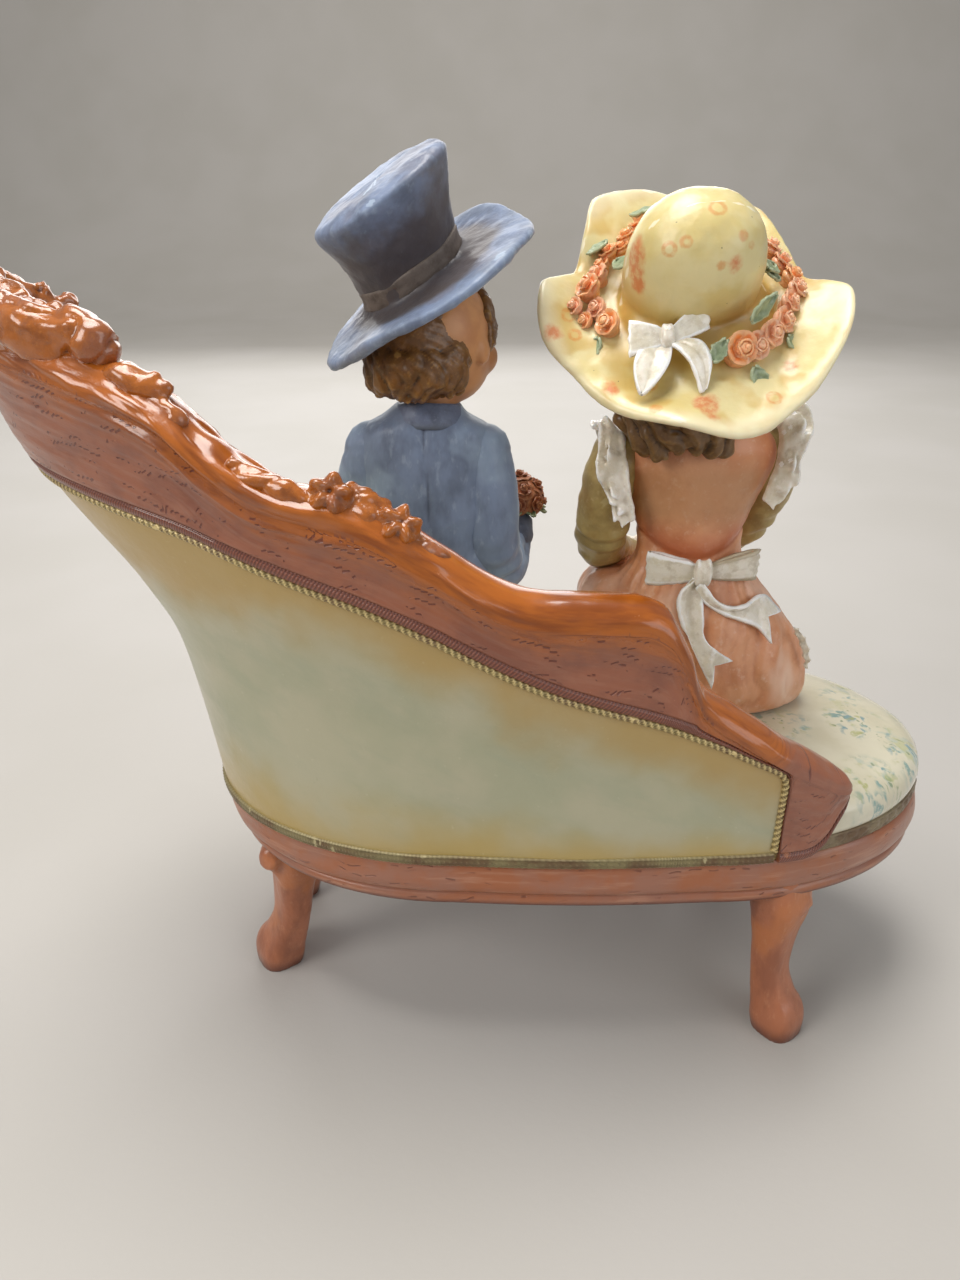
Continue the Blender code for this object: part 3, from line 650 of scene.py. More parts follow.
def crest_wood():
    """Glossy red-brown wood: attribute run holds mm along the crest, above the gimp and below the roll."""
    p = Paint("crest_wood")
    run = p.attr("run")
    u, d, e = p.split(run)
    blot = p.noise(7.0, 4.0, 0.6, stretch=(1, 1, 1))
    long = p.noise(2.4, 3.0, 0.6, at=run, stretch=(5.0, 0.8, 0.8))
    # painted reflection: the outer face is painted mauve-pink, the orange-brown wood with a pale reflection painted in,
    # and its pinker streaks along the grain are a painted sheen; nearer the roll it keeps the wood's orange
    face = p.mix(p.band(blot, 0.4, 0.66), "#96593f", "#854e39")
    face = p.mix(p.maths("MULTIPLY", p.band(long, 0.45, 0.7), 0.35), face, "#a47058")
    orange = p.mix(p.band(long, 0.38, 0.68), "#aa5c18", "#85420e")
    near = p.band(p.maths("ADD", e, p.maths("MULTIPLY", p.maths("SUBTRACT", blot, 0.5), 8.0)), 6.5, -0.5)
    colour = p.mix(near, face, orange)
    mark = p.maths("MULTIPLY", dashes(p, run, size=(1.15, 1.7), half=(0.85, 0.085), keep=0.95, random=0.22, where=(0.555, 0.575), patch=(6.5, 2.6), turn=-26.0), p.maths("MULTIPLY", p.band(d, 2.2, 2.8), p.band(e, -0.4, 0.6)))
    colour = p.mix(p.maths("MULTIPLY", mark, 0.82), colour, "#67281a")
    hatch = p.maths("SINE", p.maths("MULTIPLY", p.maths("ADD", u, p.maths("MULTIPLY", d, 0.7)), 11.0))
    strip = p.mix(p.band(hatch, -0.5, 0.6), "#6a3526", "#854b36")
    colour = p.mix(p.band(d, 2.0, 1.8), colour, strip)
    colour = p.mix(p.maths("MULTIPLY", p.band(p.pointy(), 0.49, 0.42), 0.6), colour, "#5a240f")
    colour = p.mix(p.maths("MULTIPLY", p.band(p.pointy(), 0.53, 0.62), 0.45), colour, "#c87c40")
    # painted highlights: small pale specks over the wood
    highlight_speck = p.band(p.noise(0.9, 2.0, 0.5, seed=5.0), 0.74, 0.8)
    colour = p.mix(p.maths("MULTIPLY", highlight_speck, 0.3), colour, "#d79a72")
    rough = p.blend(near, 0.4, 0.24)
    return p.done(colour, rough, [(p.maths("MULTIPLY", mark, -1.0), 0.16), (p.maths("MULTIPLY", hatch, p.band(d, 2.0, 1.8)), 0.05),
                                  (long, 0.13), (p.noise(0.6, 2.0, 0.5), 0.02)], coat=0.5, coat_rough=0.08)


def rail_wood(name="rail_wood", base="#9a6853", deep="#6b3a2a", worn="#b98a70", glow_colour="#a1603c", coat=0.3):
    p = Paint(name)
    run = p.attr("run")
    u, v, w = p.split(run)
    blot = p.noise(9.0, 4.0, 0.6)
    colour = p.mix(p.band(blot, 0.38, 0.66), base, glow_colour)
    long = p.noise(2.0, 3.0, 0.6, at=run, stretch=(6.0, 0.7, 1.0))
    colour = p.mix(p.maths("MULTIPLY", p.band(long, 0.5, 0.72), 0.5), colour, worn)
    mark = dashes(p, run, size=(3.2, 1.3), half=(0.9, 0.09), keep=0.7, where=(0.5, 0.6))
    colour = p.mix(p.maths("MULTIPLY", mark, 0.65), colour, deep)
    colour = p.mix(p.maths("MULTIPLY", p.band(p.pointy(), 0.495, 0.44), 0.7), colour, deep)
    colour = p.mix(p.maths("MULTIPLY", p.band(p.pointy(), 0.52, 0.6), 0.5), colour, worn)
    colour = p.mix(p.band(v, 34.2, 32.6), colour, "#57281a")
    return p.done(colour, p.blend(p.band(blot, 0.3, 0.7), 0.34, 0.46),
                  [(p.maths("MULTIPLY", mark, -1.0), 0.1), (long, 0.1), (p.noise(0.6, 2.0, 0.5), 0.025)],
                  coat=coat, coat_rough=0.2)


def celadon():
    """Pale green upholstery: attribute run holds mm along, height fraction and mm below the gimp."""
    p = Paint("celadon_panel")
    run = p.attr("run")
    u, v, e = p.split(run)
    soft = p.noise(14.0, 3.0, 0.5)
    streak = p.noise(5.0, 4.0, 0.6, at=run, stretch=(3.0, 0.25, 1.0))
    colour = p.mix(p.band(soft, 0.35, 0.65), "#a7a78b", "#b1ad92")
    colour = p.mix(p.maths("MULTIPLY", p.band(streak, 0.45, 0.7), 0.3), colour, "#9aa088")
    head_end = p.band(u, 96.0, 150.0)
    top = p.band(p.maths("SUBTRACT", p.maths("ADD", e, p.maths("MULTIPLY", p.maths("SUBTRACT", soft, 0.5), 18.0)), p.maths("MULTIPLY", head_end, 9.0)), 14.0, 1.0)
    colour = p.mix(p.maths("MULTIPLY", top, 0.85), colour, "#b0904f")
    low = p.band(p.maths("ADD", v, p.maths("MULTIPLY", p.maths("SUBTRACT", soft, 0.5), 0.4)), 0.34, 0.02)
    colour = p.mix(p.maths("MULTIPLY", low, 0.8), colour, "#b6994f")
    smudge = p.band(p.noise(6.0, 5.0, 0.7, seed=11.0), 0.66, 0.76)
    colour = p.mix(p.maths("MULTIPLY", smudge, 0.28), colour, "#7d7c66")
    colour = p.mix(p.maths("MULTIPLY", p.band(p.noise(1.3, 2.0, 0.5, seed=4.0), 0.7, 0.78), 0.12), colour, "#d9d3b4")
    colour = p.mix(p.maths("MULTIPLY", p.band(p.pointy(), 0.49, 0.43), 0.6), colour, "#6e6240")
    return p.done(colour, p.blend(p.band(streak, 0.3, 0.7), 0.3, 0.42),
                  [(p.noise(3.0, 3.0, 0.5), 0.12), (streak, 0.1), (p.noise(0.6, 2.0, 0.6), 0.02)], coat=0.35, coat_rough=0.25)


def floral(name, coords="run"):
    """Glossy cream with loose painted sprigs in blue-green and yellow-green, on the first two coordinates of run."""
    p = Paint(name)
    run = p.attr(coords)
    x, y, z = p.split(run)
    warp_a = p.maths("MULTIPLY", p.maths("SUBTRACT", p.noise(5.0, 3.0, 0.6, at=run), 0.5), 6.0)
    warp_b = p.maths("MULTIPLY", p.maths("SUBTRACT", p.noise(5.0, 3.0, 0.6, at=run, seed=9.0), 0.5), 6.0)
    bent = p.pack(p.maths("ADD", x, warp_a), p.maths("ADD", y, warp_b), 0.0)
    colour = p.mix(p.band(p.noise(9.0, 3.0, 0.5), 0.4, 0.65), "#d8d3bd", "#cfc9b0")
    group = p.cells(p.vec("ADD", run, (4.0, 3.0, 0.0)), (14.0, 14.0, 40.0), random=0.8)
    near = p.band(group, 0.56, 0.3)
    brush = p.noise(1.3, 4.0, 0.75, seed=2.0)
    haze = p.maths("MULTIPLY", p.band(p.noise(4.5, 3.0, 0.6, at=run, seed=13.0), 0.5, 0.62), near)
    colour = p.mix(p.maths("MULTIPLY", haze, 0.6), colour, p.mix(p.band(p.noise(3.5, 2.0, 0.5, seed=19.0), 0.44, 0.56), "#b4b884", "#9fb8b2"))
    for size, code, grow, seed, amount in (((3.6, 1.7, 9.0), "#7b9f9b", 0.44, 0.0, 0.9), ((1.7, 3.4, 9.0), "#6a95a0", 0.42, 5.0, 0.85),
                                           ((2.8, 2.3, 9.0), "#a9ad6e", 0.42, 11.0, 0.8), ((1.3, 1.3, 9.0), "#7c9273", 0.33, 23.0, 0.85)):
        at = p.vec("ADD", bent, (seed, seed * 2.0, 0.0))
        leaf = p.band(p.cells(at, size, random=0.9), grow, grow - 0.16)
        patch = p.band(p.noise(6.0, 2.0, 0.5, at=run, seed=seed + 30.0), 0.44, 0.54)
        colour = p.mix(p.maths("MULTIPLY", p.maths("MULTIPLY", leaf, p.maths("MULTIPLY", near, patch)), p.maths("MULTIPLY", p.band(brush, 0.3, 0.55), amount)), colour, code)
    colour = p.mix(p.maths("MULTIPLY", p.band(p.pointy(), 0.49, 0.43), 0.5), colour, "#9d8f6a")
    return p.done(colour, p.blend(p.band(p.noise(5.0, 2.0, 0.5, seed=2.0), 0.3, 0.7), 0.16, 0.26),
                  [(p.noise(4.0, 2.0, 0.5), 0.14), (p.noise(0.7, 2.0, 0.5), 0.015)], coat=0.6, coat_rough=0.12)


def old_gold(name, base="#7c6a3f", deep="#3b2c16", worn="#d8c58a", edge=(0.52, 0.62)):
    p = Paint(name)
    blot = p.noise(6.0, 3.0, 0.5)
    colour = p.mix(p.band(blot, 0.4, 0.66), base, "#6a5136")
    fine = p.noise(0.7, 3.0, 0.6)
    colour = p.mix(p.maths("MULTIPLY", p.band(fine, 0.5, 0.7), 0.35), colour, deep)
    colour = p.mix(p.maths("MULTIPLY", p.band(p.pointy(), 0.5, 0.42), 0.9), colour, deep)
    colour = p.mix(p.maths("MULTIPLY", p.band(p.pointy(), edge[0], edge[1]), 0.8), colour, worn)
    return p.done(colour, p.blend(p.band(fine, 0.3, 0.7), 0.32, 0.5), [(fine, 0.04)], metal=0.25, coat=0.2, coat_rough=0.3)


# ================================================================== chaise longue
FLARE_X = np.linspace(0, 1, 1201)
FLARE_Y = read(FLARE, FLARE_X)


def half_width(x):
    x = np.asarray(x, float)
    foot = HALF_W * np.sqrt(np.clip(1 - ((x - FOOT_X) / FOOT_A) ** 2, 0, 1))
    head = HALF_W * np.sqrt(np.clip(1 - ((x - HEAD_X) / HEAD_A) ** 2, 0, 1))
    mid = HALF_W + BOW * np.sin(math.pi * (x - FOOT_X) / (HEAD_X - FOOT_X))
    return np.where(x < FOOT_X, foot, np.where(x > HEAD_X, head, mid))


def base_xy(s):
    x = HEAD_X + s * (HEAD_X - ARM_X)
    a = math.pi / 2 * (1 - s)
    c = np.cos(a)
    return np.stack([np.where(s <= 0, x, HEAD_X + HEAD_A * c + HEAD_RAKE * c ** 2),
                     np.where(s <= 0, half_width(np.where(s <= 0, x, 0)), HALF_W * np.sin(a))], -1)


def crest_xy(s):
    x = HEAD_X + s * (HEAD_X - ARM_X)
    a = math.pi / 2 * (1 - s)
    c, q = np.clip(np.cos(a), 0, None), np.sin(a)
    long_y = half_width(np.where(s <= 0, x, 0)) + REAR_RAKE * (1 - np.clip(-s, 0, None) ** 1.5)
    return np.stack([np.where(s <= 0, x, HEAD_X + CREST_A * c ** CREST_POWER),
                     np.where(s <= 0, long_y, np.sign(q) * CREST_B * np.abs(q) ** CREST_POWER)], -1)


def back_xy(s, z):
    """Outer face of the back: s (n,), z (n, m)."""
    top = read(CREST_LINE, np.clip(s, -1.0, 1.74))
    h = np.clip((z - RAIL_TOP) / (top[:, None] - RAIL_TOP), 0, 1)
    g = np.interp(h, FLARE_X, FLARE_Y)[..., None]
    a, b = base_xy(s)[:, None], crest_xy(s)[:, None]
    return a + (b - a) * g


def back_out(s, z):
    e = 0.012
    t = back_xy(s + e, z) - back_xy(s - e, z)
    t /= np.linalg.norm(t, axis=-1, keepdims=True)
    return np.stack([-t[..., 1], t[..., 0]], -1)


def on_back(s, z, off):
    xy = back_xy(s, z) + back_out(s, z) * np.asarray(off)[..., None]
    return np.concatenate([xy, z[..., None]], -1)


def stations(gap, a=-1.018, b=1.745, extra=()):
    """Stations spaced evenly by length along the crest."""
    s = np.linspace(a, b, 900)
    z = read(CREST_LINE, np.clip(s, -1.0, 1.74))[:, None]
    p = np.concatenate([back_xy(s, z)[:, 0], z], 1)
    run = np.concatenate([[0], np.cumsum(np.linalg.norm(np.diff(p, axis=0), axis=1))])
    out = np.interp(np.arange(0, run[-1], gap), run, s)
    return np.unique(np.concatenate([out, [a, b], list(extra)])), (run, s)


ARM_STILE, FRONT_STILE = -0.835, 1.60


def fillet(s):
    """Rounds the panel's corner at the arm."""
    t = np.clip((np.asarray(s, float) - ARM_STILE) / 0.034, 0, 1)
    return 2.3 * (1 - np.sqrt(1 - (1 - t) ** 2))


def board_low(s):
    """Lower edge of the carved board on the outer face: it drops to the rail at both ends."""
    gimp, low = read(GIMP_LINE, s) - fillet(s), read(LOW_LINE, s)
    k = np.maximum(step(s, ARM_STILE + 0.003, ARM_STILE - 0.006), step(s, FRONT_STILE - 0.003, FRONT_STILE + 0.006))
    return gimp + (low - gimp) * k


def board_low_inside(s):
    top, low = read(CREST_LINE, s), read(LOW_LINE, s)
    k = np.maximum(step(s, -0.925, -0.945), step(s, 1.672, 1.686))
    return (top - 9.0) + (low - top + 9.0) * k


# ---- the carved board: outer face, rolled top edge and a lip on the inner face
S, (RUN, RUN_S) = stations(0.62, extra=np.linspace(ARM_STILE - 0.012, ARM_STILE + 0.036, 19).tolist()
                           + np.linspace(FRONT_STILE - 0.009, FRONT_STILE + 0.012, 9).tolist())
top, thick = read(CREST_LINE, S), read(THICK_LINE, S)
low, low_in = board_low(S), board_low_inside(S)
roll = np.minimum(ROLL, thick * 0.55)
arm_end = np.maximum(step(S, -0.76, -0.86), step(S, 1.53, 1.62))
face = top - roll
low = np.minimum(low, face - 1.2)
low_in = np.minimum(low_in, face - 1.0)
depth = face - low
along = np.interp(S, RUN_S, RUN)
rows_z, rows_off, rows_d, rows_e = [], [], [], []


def row(z, off, d=None):
    rows_z.append(z)
    rows_off.append(off)
    rows_d.append(z - low if d is None else d)
    rows_e.append(face - z)


grow = np.clip(depth / 6.0, 0.25, 1.0)
row(low, -0.6 + 0 * low)
for d, off in ((0.0, 0.55), (0.12, 0.95), (0.5, 1.2), (1.0, 1.25), (1.45, 1.2), (1.72, 0.95), (1.9, 0.72), (2.1, 0.95), (2.4, 1.15)):
    row(low + d * grow, off + 0 * low, d + 0 * low)
for k in range(1, 46):
    q = k / 46
    z = low + 2.4 * grow + (face - 0.55 - low - 2.4 * grow) * q
    row(z, 1.15 - 0.75 * (1 - 0.85 * arm_end) * np.sin(math.pi * q) ** 1.3 * np.clip(depth / 14, 0.1, 1)
        + 0.35 * q, np.maximum(z - low, 2.45))
mid, half = (BOARD * 1.2 - thick - 0.4) / 2, (BOARD * 1.2 + thick + 0.4) / 2
row(face - 0.35, BOARD * 1.345 + 0 * low, 9 + 0 * low)
row(face - 0.05, BOARD * 1.27 + 0 * low, 9 + 0 * low)
for k in range(1, 30):
    a = math.pi * k / 30
    row(face + roll * math.sin(a), mid + half * math.cos(a), 9 + 0 * low)
row(face - 0.1, -thick - 0.2, 9 + 0 * low)
row(face - 0.5, -thick - 0.1, 9 + 0 * low)
for q in (0.25, 0.5, 0.75, 1.0):
    row(face - 0.6 + (low_in - face + 0.6) * q, -thick - 0.5 + 0.1 * q, 9 + 0 * low)
row(low_in + 0.1, -thick + 1.2, 9 + 0 * low)
for q in (0.25, 0.75):
    row(low_in + (low - low_in) * q, -thick + 1.2 + (thick - 1.8) * q, 9 + 0 * low)
Z, OFF = np.stack(rows_z, 1), np.stack(rows_off, 1)
D, E = np.stack(rows_d, 1), np.stack(rows_e, 1)
OFF = np.where(thick[:, None] < 7.5, OFF * (0.35 + 0.65 * thick[:, None] / 7.6), OFF)
P = on_back(S, Z, OFF)
nu, nv = Z.shape
V, F = P.reshape(-1, 3), grid_faces(nu, nv, wrap_v=True)
U3 = np.stack([np.repeat(along[:, None], nv, 1), D, E], -1).reshape(-1, 3)
PAINT3 = np.stack([U3[:, 0], U3[:, 1], U3[:, 2] + 7.0 * arm_end[:, None].repeat(nv, 1).ravel()], -1)
on_face = (step(U3[:, 1], 2.4, 3.2) * step(U3[:, 2], -0.2, 0.8)).ravel()
on_roll = step(U3[:, 2], 0.2, -0.5)
# soft flutes that follow the crest below the roll, and a hand-carved, uneven roll
e = U3[:, 2]
wave = rough_noise(np.stack([U3[:, 0], e * 0, e * 0], -1), (26.0, 1, 1), 2, 5)
flute = sum(bump_at(e, c + 0.35 * wave, w) * a for c, w, a in ((1.9, 0.75, -0.32), (3.6, 0.7, -0.26), (5.4, 0.65, -0.2)))
fade = 0.35 + 0.65 * step(noise(np.stack([U3[:, 0], e * 0, e * 0], -1), (19.0, 1, 1), 9), -0.4, 0.5)
lump = rough_noise(U3 * (1, 1, 1), (9.0, 3.0, 2.2), 3, 21)
carve = rough_noise(np.stack([U3[:, 0] + e * 1.6, e, e * 0], -1), (7.0, 1.4, 1), 2, 33)
head_side = step(S, -0.05, 0.35)[:, None].repeat(nv, 1).ravel() * step(S, 1.35, 1.1)[:, None].repeat(nv, 1).ravel()
end_mask = arm_end[:, None].repeat(nv, 1).ravel()
ridge_side = (step(S, 0.10, 0.2) * step(S, 0.50, 0.42))[:, None].repeat(nv, 1).ravel()
ridge = 0.8 * bump_at(e, 0.5 + 0.5 * wave, 1.7) - 0.55 * bump_at(e, -2.0 + 0.5 * wave, 1.7) + 0.3 * bump_at(e, -3.6 + 0.5 * wave, 1.0)
height = ridge_side * ridge + on_face * (0.3 * flute * fade * (1 - end_mask) + 0.14 * lump) + on_roll * ((0.16 + 0.3 * head_side) * lump + (0.10 + 0.36 * head_side) * carve)
# the flutes, lumps and carving are raised along the normals; the incised grain marks are in the crest paint, not in the
# mesh
V = raised(V, F, height)
ends_a = [int(nv * 0 + j) for j in range(nv)]
V = np.concatenate([V, [V[:nv].mean(0)], [V[-nv:].mean(0)]])
U3 = np.concatenate([PAINT3, PAINT3[:1], PAINT3[-1:]])
F = F.tolist()
nu_last, ca, cb = (nu - 1) * nv, nu * nv, nu * nv + 1
for j in range(nv):
    k = (j + 1) % nv
    F += [[ca, k, j], [cb, nu_last + j, nu_last + k]]
CREST = crest_wood()
piece("crest_board", (V, F), CREST, "chaise_longue", {"run": U3})

# ---- upholstered back: outer panel and padded inner face
Sp, _ = stations(1.3, a=-0.972, b=1.705)
topp, lowp = read(CREST_LINE, Sp), np.maximum(read(LOW_LINE, Sp), 41.7)
gimp = np.minimum(read(GIMP_LINE, Sp), topp - 4.5)
n_out, n_in = 36, 36
q = np.linspace(0, 1, n_out)
Zo = lowp[:, None] + (gimp + 0.8 - lowp)[:, None] * q
edge_q = np.minimum(q * (gimp - lowp)[:, None], (1 - q) * (gimp - lowp)[:, None])
Oo = 0.05 + 0.5 * (1 - np.exp(-np.clip(edge_q, 0, None) / 3.0))
Zt = np.stack([np.minimum(gimp + 3.0, topp - 3.4), topp - 5.0, topp - 5.0], 1)
thickp = read(THICK_LINE, Sp)
endp = np.maximum(step(Sp, ARM_STILE + 0.16, ARM_STILE + 0.04), step(Sp, FRONT_STILE - 0.2, FRONT_STILE - 0.05))
fit_in = (1 - 0.5 * endp) * np.minimum(7.2, np.maximum(thickp - 0.8, 1.5)) * np.where(thickp < 7.5, 0.35 + 0.65 * thickp / 7.6, 1.0)
Ot = np.stack([0 * topp - 0.3 * np.minimum(2.6, fit_in), 0 * topp - 0.3 * np.minimum(4.0, fit_in), -0.85 * fit_in], 1)
qi = np.linspace(1, 0, n_in)
Zi = (lowp + 1.5)[:, None] + (topp - 10.0 - lowp)[:, None] * qi
Oi = -fit_in[:, None] - (1.1 * np.sin(math.pi * np.clip(qi, 0, 1)) ** 0.6)[None] * (step(thickp, 4.5, 7.5) * (1 - endp))[:, None]
Zt[:, 1:] = np.maximum(Zt[:, 1:], Zt[:, :1])
Zp, Op = np.concatenate([Zo, Zt, Zi], 1), np.concatenate([Oo, Ot, Oi], 1)
Pp = on_back(Sp, Zp, Op)
alongp = np.interp(Sp, RUN_S, RUN)
frac = (Zp - RAIL_TOP) / np.maximum(gimp - RAIL_TOP, 1)[:, None]
below = gimp[:, None] - Zp
Rp = np.stack([np.repeat(alongp[:, None], Zp.shape[1], 1), frac, below], -1)
Rin = np.stack([np.repeat(alongp[:, None], Zp.shape[1], 1), Zp, 0 * Zp], -1)
nvp = Zp.shape[1]
cut = n_out + 2
Vp, Fp = Pp.reshape(-1, 3), grid_faces(len(Sp), nvp, wrap_v=True)
flat_noise = rough_noise(Vp, 16.0, 2, 3) * 0.18
Vp = raised(Vp, Fp, flat_noise)
Pp = Vp.reshape(len(Sp), nvp, 3)
seam = 0.5 * (Pp[:, :1] * 0.5 + Pp[:, -1:] * 0.5) + 0.5 * (Pp[:, :1] * 0.5 + Pp[:, -1:] * 0.5)
outer = np.concatenate([Pp[:, :cut]], 1)
inner = np.concatenate([Pp[:, cut - 1:]], 1)
n_wall = 14
wall_z = Zp[:, cut - 1:cut] + (lowp[:, None] - Zp[:, cut - 1:cut]) * np.linspace(0, 1, n_wall)[None]
wall = on_back(Sp, wall_z, np.repeat(-np.minimum(3.2, 0.5 * fit_in)[:, None], n_wall, 1))
rings_out = np.concatenate([outer, wall], 1)
rings_in = np.concatenate([inner, wall[:, ::-1]], 1)
VFo, VFi = skin(rings_out), skin(rings_in)


def tail(values, extra_cols, count):
    """Attribute rows for the grid's own points, then for the extra wall points and the two fans."""
    full = np.concatenate([values, np.repeat(values[:, -1:], extra_cols, 1)], 1).reshape(-1, 3)
    return np.concatenate([full, full[:1], full[-1:]])[:count]


piece("back_panel", VFo, celadon(), "chaise_longue", {"run": tail(Rp[:, :cut], n_wall, len(VFo[0]))})
FLORAL = floral("floral_cover")
piece("inner_padding", VFi, FLORAL, "chaise_longue", {"run": tail(Rin[:, cut - 1:], n_wall, len(VFi[0]))})

# ---- twisted gimp along the board's lower edge, down both ends
Sg, _ = stations(0.5, a=ARM_STILE + 0.006, b=FRONT_STILE - 0.006, extra=np.linspace(ARM_STILE + 0.007, ARM_STILE + 0.04, 14).tolist())
zg = (read(GIMP_LINE, Sg) - fillet(Sg - 0.006))[:, None] - 0.55
path = on_back(Sg, zg, np.full_like(zg, 0.55))[:, 0]


def drop(s, z_from, z_to, off):
    zz = np.linspace(z_from, z_to, 24)[None]
    return on_back(np.array([s]), zz, np.full_like(zz, off))[0]


left = drop(ARM_STILE + 0.006, 44.0, zg[0, 0] - 0.3, 0.55)
right = drop(FRONT_STILE - 0.008, zg[-1, 0] - 0.6, 44.0, 0.55)
path = even(np.concatenate([left, path, right]), 0.26)
ROPE = old_gold("gold_cord", base="#78683c", deep="#30260f", worn="#ecd596", edge=(0.51, 0.58))
piece("corded_gimp", rope(path, 0.66, 1.15, strands=2, sides=12, depth=0.36), ROPE, "chaise_longue")

# ---- flat woven gimp along the foot of the panel
Sb, _ = stations(0.35, a=ARM_STILE + 0.004, b=FRONT_STILE - 0.004)
ub = np.interp(Sb, RUN_S, RUN)
prof = [(41.3, -0.2), (41.4, 0.5), (41.6, 0.7), (41.8, 0.6), (42.0, 0.7), (42.4, 0.78), (42.8, 0.7), (42.95, 0.6),
        (43.15, 0.74), (43.35, 0.55), (43.45, -0.2)]
Zb = np.repeat(np.array([[z for z, _ in prof]]), len(Sb), 0)
rib = 0.07 * np.sin(TAU * ub / 1.15)[:, None] * np.array([[0, 1, 1, 0, 1, 1, 1, 0, 1, 1, 0]])
Ob = np.repeat(np.array([[o for _, o in prof]]), len(Sb), 0) + rib
piece("flat_gimp", skin(on_back(Sb, Zb, Ob)), old_gold("flat_gold", base="#857a54", deep="#4a3d24", worn="#c3b78c", edge=(0.52, 0.62)),
      "chaise_longue")


# ---- seat: rail, braid and cushion
def seat_outline(count):
    """Evenly spaced outline of the seat, from the rear of the head round by the front: x, y and the centre line's x."""
    pts = []
    for i in range(200):
        a = math.pi / 2 - math.pi * i / 200
        pts.append((HEAD_X + HEAD_A * math.cos(a), HALF_W * math.sin(a), math.cos(a) ** 2))
    for i in range(120):
        x = HEAD_X + (FOOT_X - HEAD_X) * i / 120
        pts.append((x, -float(half_width(x)), 0.0))
    for i in range(200):
        a = -math.pi / 2 - math.pi * i / 200
        pts.append((FOOT_X + FOOT_A * math.cos(a), HALF_W * math.sin(a), 0.0))
    for i in range(121):
        x = FOOT_X + (HEAD_X - FOOT_X) * i / 120
        pts.append((x, float(half_width(x)), 0.0))
    pts = np.array(pts)
    pts = np.roll(pts, -200 - int(np.argmin(np.abs(pts[200:320, 0] - 8.0))), axis=0)  # the join lies behind the boy's legs
    pts = np.concatenate([pts, pts[:1]])
    run = np.concatenate([[0], np.cumsum(np.linalg.norm(np.diff(pts[:, :2], axis=0), axis=1))])
    t = np.linspace(0, run[-1], count, endpoint=False)
    return np.stack([np.interp(t, run, pts[:, k]) for k in range(3)], 1), t


OUT, OUT_T = seat_outline(570)


def seat_body(rows, name, mat, relief=None, coords=None):
    """Rings of the seat from (scale, z, rake) rows, closed above and below."""
    rings = []
    for f, z, r in rows:
        cx = np.clip(OUT[:, 0], FOOT_X, HEAD_X)
        x = cx + (OUT[:, 0] - cx + HEAD_RAKE * r * OUT[:, 2]) * f
        rings.append(np.stack([x, OUT[:, 1] * f, np.full(len(x), z)], 1))
    V, F = skin(np.array(rings))
    T = np.concatenate([np.tile(OUT_T, len(rows)), [0, 0]])
    if relief is not None:
        V = raised(V, F, relief(V, T))
    run = np.stack([T, V[:, 2], 0 * T], 1) if coords is None else coords(V)
    return piece(name, (V, F), mat, "chaise_longue", {"run": run})


rail_rows = [(0.6, 33.0, 0), (0.9, 32.7, 0), (0.972, 32.6, 0.0), (0.984, 32.7, 0.0), (0.993, 33.0, 0.1), (0.998, 33.5, 0.2), (0.999, 34.0, 0.25),
             (0.994, 34.5, 0.3), (0.986, 34.8, 0.35), (0.9855, 35.1, 0.4), (0.992, 35.35, 0.45), (1.003, 35.7, 0.5),
             (1.010, 36.3, 0.55), (1.0135, 37.1, 0.6), (1.0125, 38.0, 0.7), (1.009, 38.9, 0.75), (1.006, 39.6, 0.85),
             (1.003, 40.2, 0.95), (0.998, 40.7, 1.0), (0.990, 41.2, 1.0), (0.98, 41.5, 1.0), (0.95, 41.6, 1.0)]
rail_rows = [tuple(np.array(a) + (np.array(b) - np.array(a)) * k) for a, b in zip(rail_rows, rail_rows[1:]) for k in (0, 0.5)] + rail_rows[-1:]
piece_rail = seat_body(rail_rows, "seat_rail", rail_wood(),
                       relief=lambda V, T: 0.16 * rough_noise(V, (14, 14, 5), 2, 2) * step(V[:, 2], 32.8, 34.0))
braid_rows = [(0.95, 41.4, 1), (0.985, 41.5, 1), (0.991, 41.75, 1), (0.9885, 42.05, 1), (0.989, 42.3, 1), (0.993, 42.7, 1), (0.994, 43.1, 1),
              (0.992, 43.5, 1), (0.988, 43.75, 1), (0.992, 44.0, 1), (0.989, 44.3, 1), (0.95, 44.5, 1)]
seat_body(braid_rows, "seat_braid", old_gold("seat_gold", base="#85765a", deep="#42331f", worn="#b9ab82", edge=(0.53, 0.66)),
          relief=lambda V, T: 0.14 * np.sin(TAU * T / 2.8 + 2.0 * (V[:, 2] - 42.9)) * step(np.abs(V[:, 2] - 42.9), 1.3, 0.6))
cushion_rows = [(0.94, 43.9, 1), (0.975, 44.1, 1), (0.9865, 44.6, 1), (0.991, 45.4, 1), (0.992, 46.2, 1), (0.988, 47.2, 1), (0.978, 48.3, 1),
                (0.958, 49.4, 1), (0.925, 50.4, 1), (0.875, 51.2, 1), (0.80, 51.9, 1), (0.70, 52.4, 1), (0.58, 52.7, 1),
                (0.44, 52.9, 1), (0.28, 53.0, 1), (0.1, 53.0, 1)]
cushion_rows = [tuple(np.array(a) + (np.array(b) - np.array(a)) * k) for a, b in zip(cushion_rows, cushion_rows[1:]) for k in (0, 0.5)] + cushion_rows[-1:]
seat_body(cushion_rows, "seat_cushion", FLORAL,
          relief=lambda V, T: 0.3 * rough_noise(V, (22, 22, 12), 2, 8) * step(V[:, 2], 44.4, 47.0),
          coords=lambda V: np.stack([V[:, 0], V[:, 1] * 1.0, V[:, 2] * 0.3], 1))


